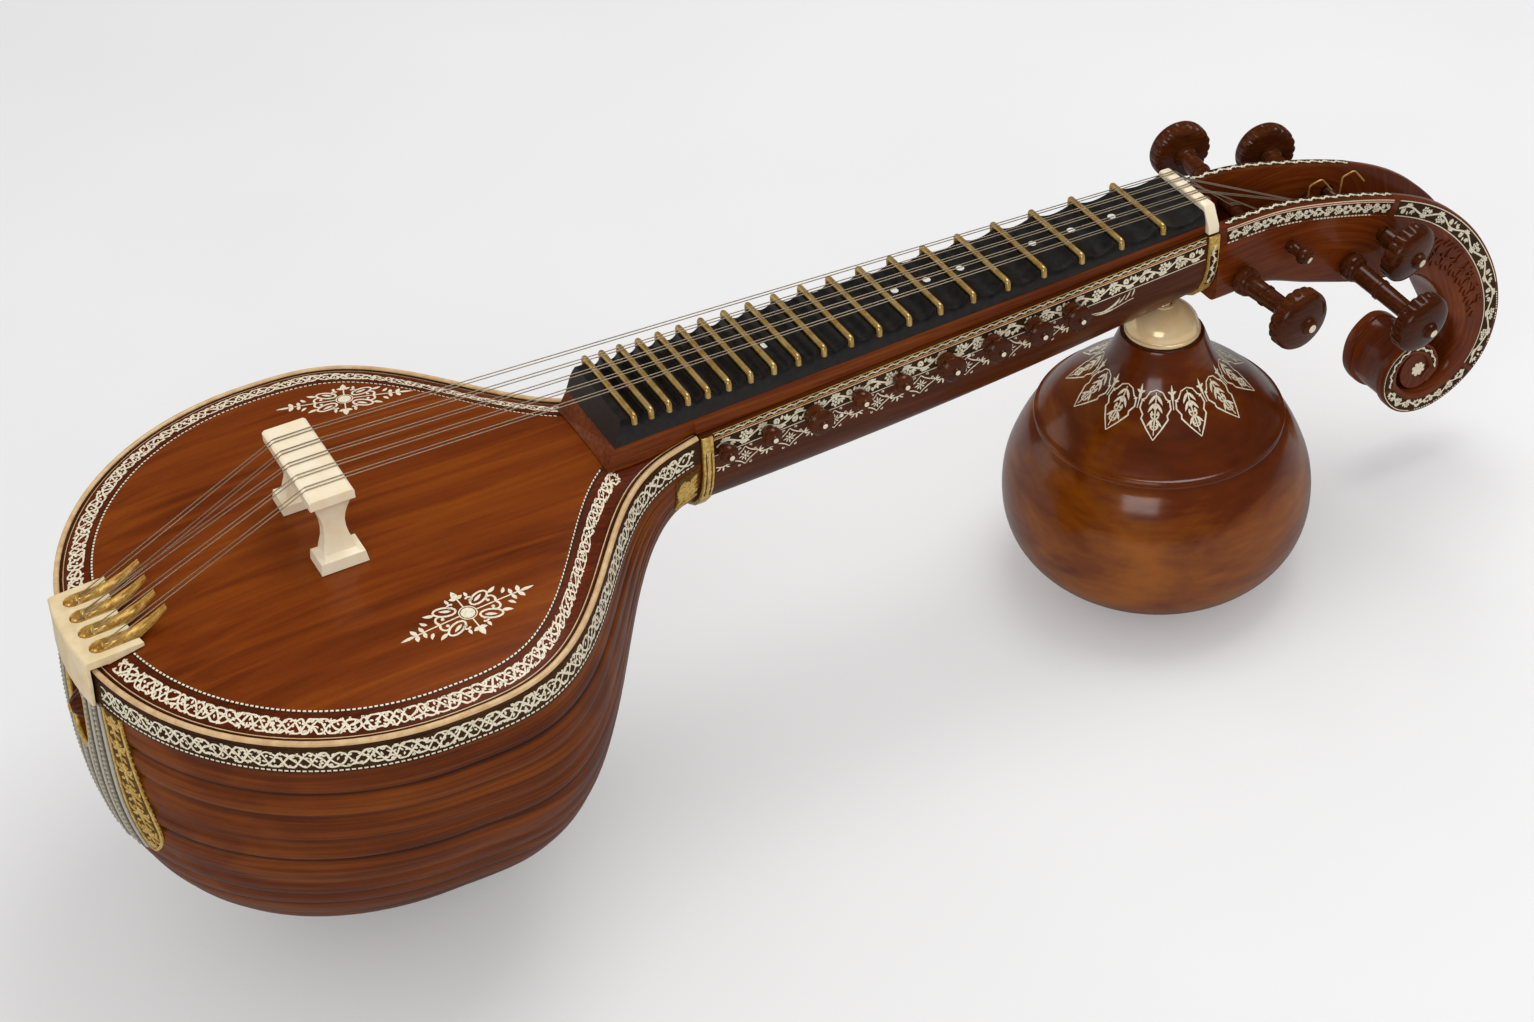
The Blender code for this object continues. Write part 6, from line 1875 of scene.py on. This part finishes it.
neckEnds = (body["jointX"] + 0.0108, body["nutX"] - 0.0012)
neckLines = [
    # how far down the flank each line begins and ends, and what it is made of
    (0.0002, 0.0008, gildedBrass), (0.0008, 0.0046, woods["bandEbony"]), (0.0046, 0.0052, gildedBrass),
    (0.0054, 0.0062, redStripe), (0.0064, 0.0070, inlaidBone), (0.0072, 0.0204, woods["bandEbony"]),
    (0.0206, 0.0213, inlaidBone)]
pegBow = {"radius": 0.0098}
buttons = [(0.3744, -0.0432, 0.2926), (0.4846, -0.0418, 0.3046)]
pegX = sorted(joints["side_peg_%d" % n][0].x - bodyX for n in range(1, 10))
for side in (-1, 1):
    for top, bottom, finish in neckLines:
        layGround("neck_inlay", neckRows(side, *neckEnds, top, bottom, 40, 3), finish, sidewards)
    strip, length = surfaceStrip(neckRows(side, *neckEnds, 0.0010, 0.0045, 40, 4), sidewards)
    layBand("neck_inlay", strip, length, lambda pitch, kind: vineShape(pitch, 0.0035, 0.0009), 0.0085, inlaidBone)
    strip, length = surfaceStrip(neckRows(side, *neckEnds, 0.0074, 0.0202, 40, 7), sidewards)
    layBand("neck_inlay", strip, length, lambda pitch, kind: leafyShape(pitch, 0.0128, kind, 0.0013), 0.0290,
            inlaidBone, 0.002, 2)
    strip, length = surfaceStrip(neckRows(side, *neckEnds, 0.0212, 0.0440, 40, 9), sidewards)
    for a, b in zip(pegX, pegX[1:]):
        if b - a > 0.024:
            motif = diamondShape(min(0.032, b - a - 0.014), 0.0176)
            layInlay("neck_inlay", strip, moved(motif, 0, 0.0122), 1, 1.0, (a + b) / 2 - neckEnds[0], inlaidBone)
    spray = startShape()
    for k, turn in enumerate((-0.35, -0.12, 0.12, 0.35, 0.62)):
        addLeaf(spray, 0.004 * k, 0, turn, 0.019 - 0.002 * k, 0.0013, 0.5, 5)
        addLeaf(spray, 0.010 + 0.006 * k, 0.001 * k, turn + 0.5, 0.009, 0.0012, 0.4, 4)
    addRibbon(spray, [(-0.012 + 0.006 * k, 0.0016 * sin(k)) for k in range(9)], 0.0007)
    room = neckEnds[1] - pegX[-1]
    if room > 0.050:
        layInlay("neck_inlay", strip, moved(spray, 0, 0.0115), 1, 1.0, pegX[-1] - neckEnds[0] + 0.024, inlaidBone)
# a bow of thin line under each side peg, with a curl at both ends
deepStrip, length = surfaceStrip(neckRows(-1, *neckEnds, 0.0212, 0.0520, 40, 11), sidewards)
for n in range(1, 10):
    pegPlace = joints["side_peg_%d" % n][0]
    pegDown = min((k / 2000 for k in range(50, 90)),
                  key=lambda down: abs(alongSection(pegPlace.x - bodyX, -1, down).z - pegPlace.z))
    bow = startShape()
    ring = pegBow["radius"]
    addRibbon(bow, [(ring * cos(a), ring * sin(a)) for a in (mix(-2.75, -0.4, k / 14) for k in range(15))],
              [mix(0.0005, 0.0011, sin(pi * k / 14)) for k in range(15)])
    for end in (-1, 1):
        addCurl(bow, end * ring * 0.93, -ring * 0.34, 1.2 if end > 0 else pi - 1.2, 0.0011, -end * 0.7, 0.0007, 7)
        addLeaf(bow, end * 0.0022, -ring * 1.02, -pi / 2 + end * 0.7, 0.0040, 0.0014, end * 0.4, 4)
    addLeaf(bow, 0, -ring * 1.02, -pi / 2, 0.0048, 0.0016, 0.0, 4)
    layInlay("neck_inlay", deepStrip, moved(bow, 0, 0.0520 - pegDown), 1, 1.0, pegPlace.x - bodyX - neckEnds[0],
             inlaidBone)
for x, y, z in buttons:
    place = Vector((x + bodyX, y, z))
    out = Vector((0, -1, -0.15)).normalized()
    inlayResults["neck_inlay"].append(rodMesh(place - out * 0.002, place + out * 0.0009, 0.0016, 16, pearl))
gatherInlay("neck_inlay", "body", "bone")

dots = [0.6446, 0.6087, 0.5722, 0.5068, 0.4761, 0.4499, 0.3378]
fretPlaces = [fretX(n) for n in range(1, 21)]
for x in dots:
    after = min((f for f in fretPlaces if f > x - 0.004), default=x)
    before = max((f for f in fretPlaces if f < after), default=x)
    place = Vector(((before + after) / 2 + bodyX, 0.0068 if x > 0.4 else -0.0047,
                    fretPlan["blockTop"] - fretPlan["dip"]))
    inlayResults.setdefault("board_dots", []).append(
        rodMesh(place - upward * 0.002, place + upward * 0.0004, 0.0032, 24, pearl))
gatherInlay("board_dots", "body", "bone")

def ringRows(nodeName, side, first, last, down, columns=5):
    # a strip round the outside of a neck ring, between two shares of its width
    ringLow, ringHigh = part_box(nodeName)
    middle = Vector((0, 0, (ringLow.z + ringHigh.z) / 2))
    proud = (ringHigh.y - ringLow.y) / 2 - neckHalf((ringLow.x + ringHigh.x) / 2 - bodyX) + 0.0002
    rows = []
    for k in range(25):
        row = []
        for c in range(columns):
            x = mix(ringLow.x, ringHigh.x, mix(first, last, c / (columns - 1)))
            near = alongSection(x - bodyX, side, mix(0.006, down, k / 24))
            middle.x = near.x
            row.append(near + (near - middle).normalized() * proud)
        rows.append(row)
    return rows


for side in (-1, 1):
    strip, length = layGround("nut_inlay", ringRows("nut_ring", side, 0.12, 0.88, 0.048), woods["bandEbony"],
                              sidewards, 0.00006, 0.0002)
    layBand("nut_inlay", strip, length, lambda pitch, kind: raised(vineShape(pitch, 0.0068, 0.0009), 0.0002), 0.0140,
            inlaidBone)
    for first, last, finish in ((0.22, 0.30, woods["bandEbony"]), (0.45, 0.56, agedBone),
                                (0.70, 0.78, woods["bandEbony"])):
        layGround("nut_inlay", ringRows("joint_ring", side, first, last, 0.060, 3), finish, sidewards, 0.00008,
                  0.0002)
gatherInlay("nut_inlay", "body", "bone")
print("neck inlaid")


# --- pegbox and scroll: bands that follow the outer edge down into the volute ---

bandTurn = 24      # the station at which the pegbox's banding ends and the scroll's begins
curlEnd = 138


def faceRows(side, first, last, outer, inner, columns=5):
    # outer and inner are distances from the edge, or functions of the station
    rows = []
    for i in range(first, last + 1):
        edge, inward, half, thick, deep = scrollFrame(i)
        a = outer(i) if callable(outer) else outer
        b = inner(i) if callable(inner) else inner
        rows.append([edge + Vector((0, side * half, 0)) + inward * mix(b, a, c / (columns - 1))
                     for c in range(columns)])
    return rows


def bandDepth(i):
    # how deep the curl's band runs: it narrows as the curl tightens
    thick = scrollFrame(i)[3]
    return max(0.0030, min(0.0155, mix(0.42, 0.66, ease((i - 70) / 30)) * thick))


for side in (-1, 1):
    layGround("scroll_inlay", faceRows(side, 1, bandTurn, 0.0022, 0.0030, 3), inlaidBone, sidewards)
    layGround("scroll_inlay", faceRows(side, 1, bandTurn, 0.0030, 0.0042, 3), redStripe, sidewards)
    layGround("scroll_inlay", faceRows(side, 1, bandTurn, 0.0042, 0.0048, 3), inlaidBone, sidewards)
    strip, length = layGround("scroll_inlay", faceRows(side, 1, bandTurn, 0.0048, 0.0146, 7), woods["bandEbony"],
                              sidewards)
    layBand("scroll_inlay", strip, length, lambda pitch, kind: moved(leafyShape(pitch, 0.0094, kind), 0, 0.0002), 0.0180,
            inlaidBone, 0.002, 2)
    strip, length = surfaceStrip(faceRows(side, 1, bandTurn, 0.0152, 0.0163, 3), sidewards)
    layBand("scroll_inlay", strip, length, lambda pitch, kind: dashShape(pitch * 0.66, 0.0011), 0.0036, inlaidBone)
    # from the turn on
    layGround("scroll_inlay", faceRows(side, bandTurn + 1, 56, 0.0022, 0.0030, 3), inlaidBone, sidewards)
    strip, length = surfaceStrip(faceRows(side, 57, 92, 0.0022, 0.0033, 3), sidewards)
    layBand("scroll_inlay", strip, length, lambda pitch, kind: dashShape(pitch * 0.5, 0.0011), 0.0026, inlaidBone)
    layGround("scroll_inlay", faceRows(side, 93, 118, 0.0020, 0.0027, 3), inlaidBone, sidewards)
    strip, length = layGround("scroll_inlay", faceRows(side, bandTurn + 1, 76, 0.0034, bandDepth, 7),
                              woods["bandEbony"], sidewards)
    layBand("scroll_inlay", strip, length, lambda pitch, kind: moved(leafyShape(pitch, 0.0114, kind, 0.0014), 0, 0.0003),
            0.0320, inlaidBone, 0.002, 2)
    layGround("scroll_inlay", faceRows(side, bandTurn + 1, 76, lambda i: bandDepth(i), lambda i: bandDepth(i) + 0.0008,
                                       3), inlaidBone, sidewards)
    strip, length = layGround("scroll_inlay", faceRows(side, 77, 104, 0.0032, bandDepth, 7), woods["bandEbony"],
                              sidewards)
    layBand("scroll_inlay", strip, length, lambda pitch, kind: moved(leafyShape(pitch, 0.0086, kind, 0.0012), 0, 0.0003),
            0.0170, inlaidBone, 0.001, 2)
    strip, length = layGround("scroll_inlay", faceRows(side, 105, curlEnd, 0.0024, bandDepth, 5),
                              woods["bandEbony"], sidewards)
    layBand("scroll_inlay", strip, length, lambda pitch, kind: moved(vineShape(pitch, 0.0048, 0.0010), 0, 0.0002),
            0.0100, inlaidBone)
    # the top of the pegbox's wall
    rows = []
    for i in range(1, bandTurn + 1):
        edge, inward, half, thick, deep = scrollFrame(i)
        outer, inner = half - 0.0016, half - min(scroll["wall"], half * 0.36) + 0.0014
        rows.append([edge + Vector((0, side * mix(inner, outer, c / 4), 0)) for c in range(5)])
    strip, length = layGround("scroll_inlay", rows, woods["bandEbony"], lambda p: upward)
    layBand("scroll_inlay", strip, length, lambda pitch, kind: moved(vineShape(pitch, 0.0066, 0.0012), 0, 0.0002), 0.0130,
            inlaidBone)
    # the eye of the curl: a cream rosette
    place = Vector((eyeX, side * 0.0262, eyeZ))
    out = Vector((0, side, 0))
    rosette = lobedMesh("rosette", [(0.0, 0.0010), (0.0016, 0.0010), (0.0021, 0.0004), (0.0028, 0.0004, 0.3),
                                    (0.0052, 0.0008, 1.0), (0.0068, 0.0004, 1.0), (0.0070, -0.0010, 1.0),
                                    (0.0, -0.0010)], 64, 8, 0.30, [inlaidBone], place, out)
    inlayResults["scroll_inlay"].append(rosette)
gatherInlay("scroll_inlay", "body", "bone")

# leaves carved in low relief between the band and the curl's inner edge
for side in (-1, 1):
    strip, length = surfaceStrip(faceRows(side, 30, 62, lambda i: bandDepth(i) + 0.0030,
                                          lambda i: scrollFrame(i)[3] - 0.0110, 9), sidewards)
    motif = startShape()
    for k in range(9):
        x = 0.010 + k * 0.0145
        addRibbon(motif, [(x - 0.007 + 0.0036 * j, 0.016 + 0.003 * sin(j * 0.8 + k)) for j in range(6)], 0.0012)
        for turn, reach in ((0.55, 0.018), (1.0, 0.015), (1.5, 0.011), (-0.45, 0.017), (-0.9, 0.014), (-1.4, 0.010)):
            addLeaf(motif, x, 0.016, turn, reach, 0.0040, 0.5 if turn > 0 else -0.5, 5)
    layInlay("scroll_relief", strip, raised(motif, 0.0015), 1, 1.0, 0.0, woods["scrollRosewood"])
gatherInlay("scroll_relief", "body", "scroll_wood")

# two small brass hooks on the channel's floor, by which the strings run to the far pegs
hookMeshes = []
for x, y, z in ((0.8380, 0.0150, 0.2700), (0.8680, 0.0120, 0.2640)):
    top = scrollFrame(10)[0].z
    place = Vector((x + bodyX, y, top - 0.040))
    path = [place + Vector((-0.004, 0, -0.020)), place + Vector((0, 0, 0.012)), place + Vector((0.010, -0.002, 0.016)),
            place + Vector((0.019, -0.004, 0.004))]
    hookMeshes.append(runTree("hook", pathMesh(path), rodAlongPath, {
        "Radius": 0.0008, "Sides": 10, "Bend": 0.003, "Finish": clipBrass}))
inlayResults["channel_hooks"] = hookMeshes
gatherInlay("channel_hooks", "body", "polished_brass")
print("scroll inlaid")


# --- gourd: pointed leaves hang round its shoulder ---

leaves = {"count": 12, "top": 0.0425, "bottom": 0.0765}


def shoulderHeight(radius):
    profile = smoothThrough(gourd["outer"], 3)
    for (r1, z1), (r2, z2) in zip(profile, profile[1:]):
        if r1 <= radius <= r2:
            return mix(z1, z2, (radius - r1) / max(1e-9, r2 - r1))
    return profile[-1][1]


rows = []
for k in range(121):
    turn = 2 * pi * k / 120 + 0.12
    row = []
    for c in range(13):
        radius = mix(leaves["top"], leaves["bottom"], c / 12)
        row.append(Vector((gourdPlace[0] + radius * cos(turn), gourdPlace[1] + radius * sin(turn),
                           shoulderHeight(radius))))
    rows.append(row)
strip, length = surfaceStrip(rows, lambda p: upward)
pitch = length / leaves["count"]
high = sum((rows[0][c + 1] - rows[0][c]).length for c in range(12))
layInlay("gourd_inlay", strip, moved(gourdLeafShape(high * 0.86, pitch * 0.92), 0, high * 0.12), leaves["count"],
         pitch, pitch / 2, inlaidBone)
fleur = startShape()
addLeaf(fleur, 0, high * 0.34, -pi / 2, high * 0.30, 0.0030, 0.0, 4)
addLeaf(fleur, 0, high * 0.20, -pi / 2 + 0.9, 0.0050, 0.0022, 0.4, 3)
addLeaf(fleur, 0, high * 0.20, -pi / 2 - 0.9, 0.0050, 0.0022, -0.4, 3)
addRibbon(fleur, [(0, high * 0.22), (0, high * 0.34), (0, high * 0.46)], 0.0008)
layInlay("gourd_inlay", strip, fleur, leaves["count"] - 1, pitch, pitch, inlaidBone)
gatherInlay("gourd_inlay", "gourd", "bone")
print("gourd inlaid")


# --- floor, light and camera ---

studio = {"seenShare": 0.89, "glow": 0.24, "worldStrength": 0.78, "glossShare": 0.94, "keyWatts": 22.0,
          "fillWatts": 14.0, "backWatts": 3.0, "mirroredFloor": 0.42}


def paperSweep():
    # seamless studio paper: matt, with the faintest change of tone. The eye sees it lit through from
    # behind, so that it stays pale and keeps a soft shadow; what it gives the object is plain paper light
    material, tree, shader = startMaterial("paperSweep")
    place = addNode(tree, "ShaderNodeTexCoord")
    tone = addNode(tree, "ShaderNodeTexNoise", {"Scale": 2.5, "Detail": 2.0}, {"Vector": place.outputs["Object"]})
    ramp = addNode(tree, "ShaderNodeValToRGB", feeds={"Fac": tone.outputs["Fac"]})
    setRamp(ramp, [(0.3, "E4E3E2"), (0.7, "E8E7E6")])
    path = addNode(tree, "ShaderNodeLightPath")
    seen = lawNode(tree, "MAXIMUM", path.outputs["Is Camera Ray"], path.outputs["Is Transmission Ray"])
    dim = addNode(tree, "ShaderNodeMix", data_type="RGBA", blend_type="MULTIPLY")
    tree.links.new(seen, dim.inputs["Factor"])
    tree.links.new(ramp.outputs["Color"], dim.inputs["A"])
    # the light falls off slowly over the paper, from the near right to the far left
    across = addNode(tree, "ShaderNodeVectorMath", feeds={0: place.outputs["Object"]}, operation="DOT_PRODUCT")
    across.inputs[1].default_value = (0.5, -0.86, 0.0)
    fall = addNode(tree, "ShaderNodeMapRange", {"From Min": -2.6, "From Max": 1.2, "To Min": 0.82, "To Max": 1.0},
                   {"Value": across.outputs["Value"]})
    share = lawNode(tree, "MULTIPLY", fall.outputs["Result"], studio["seenShare"])
    grey = addNode(tree, "ShaderNodeCombineColor", feeds={"Red": share, "Green": share, "Blue": share})
    tree.links.new(grey.outputs["Color"], dim.inputs["B"])
    # what shines mirrors a darker floor, as if black cloth lay outside the picture
    flag = addNode(tree, "ShaderNodeMix", data_type="RGBA", blend_type="MULTIPLY")
    tree.links.new(path.outputs["Is Glossy Ray"], flag.inputs["Factor"])
    tree.links.new(dim.outputs["Result"], flag.inputs["A"])
    flag.inputs["B"].default_value = (studio["mirroredFloor"],) * 3 + (1.0,)
    tree.links.new(flag.outputs["Result"], shader.inputs["Base Color"])
    shader.inputs["Roughness"].default_value = 0.9
    shader.inputs["Specular IOR Level"].default_value = 0.1
    shader.inputs["Emission Color"].default_value = toLinear("F6F5F5")
    shine = lawNode(tree, "MULTIPLY", seen, studio["glow"])
    tree.links.new(lawNode(tree, "MULTIPLY", shine, fall.outputs["Result"]), shader.inputs["Emission Strength"])
    return material


floorMesh = bpy.data.meshes.new("studio_floor")
floorMesh.from_pydata([(-12, -12, -0.0004), (12, -12, -0.0004), (12, 12, -0.0004), (-12, 12, -0.0004)], [],
                      [(0, 1, 2, 3)])
floor = bpy.data.objects.new("studio_floor", floorMesh)
bpy.context.scene.collection.objects.link(floor)
floorMesh.materials.append(paperSweep())
floor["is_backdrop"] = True

world = bpy.data.worlds.new("studio")
bpy.context.scene.world = world
world.use_nodes = True
world.node_tree.nodes["Background"].inputs["Color"].default_value = toLinear("F4F5F7")
# dark flags stand round the set: what shines mirrors them and the lamps, not a white room
sky = world.node_tree
mirrored = addNode(sky, "ShaderNodeLightPath").outputs["Is Glossy Ray"]
drop = lawNode(sky, "MULTIPLY", mirrored, studio["glossShare"])
share = lawNode(sky, "SUBTRACT", 1.0, drop)
sky.links.new(lawNode(sky, "MULTIPLY", share, studio["worldStrength"]), sky.nodes["Background"].inputs["Strength"])


def softbox(name, place, target, size, watts):
    lamp = bpy.data.lights.new(name, "AREA")
    lamp.shape = "RECTANGLE"
    lamp.size, lamp.size_y = size
    lamp.energy = watts
    made = bpy.data.objects.new(name, lamp)
    bpy.context.scene.collection.objects.link(made)
    made.location = place
    made.rotation_euler = (Vector(target) - Vector(place)).to_track_quat("-Z", "Y").to_euler()


softbox("keyLight", (0.66, 0.25, 2.48), (0.0, 0, 0.2), (1.5, 1.15), studio["keyWatts"])
softbox("fillLight", (-1.7, -1.9, 1.5), (0, 0, 0.15), (1.4, 1.2), studio["fillWatts"])
softbox("backLight", (-1.7, 2.1, 0.8), (0.1, 0, 0.2), (1.4, 1.4), studio["backWatts"])

view = {"place": (-0.7913608, -1.5165708, 1.5223867), "right": (0.8844362, -0.4639172, -0.0505318),
        "up": (0.3240355, 0.5325921, 0.7818866), "focalPx": 2800.0}
cameraData = bpy.data.cameras.new("photoCamera")
camera = bpy.data.objects.new("photoCamera", cameraData)
bpy.context.scene.collection.objects.link(camera)
right, up = Vector(view["right"]), Vector(view["up"])
turn = Matrix((right, up, right.cross(up))).transposed().to_4x4()
camera.matrix_world = Matrix.Translation(view["place"]) @ turn
cameraData.sensor_width = 36.0
cameraData.lens = view["focalPx"] / 1534 * 36
bpy.context.scene.camera = camera
bpy.context.scene.view_settings.view_transform = "Standard"
print("floor, light and camera set")

low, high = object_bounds()
{"cad": [list(cadLow), list(cadHigh)], "visual": [list(low), list(high)]}
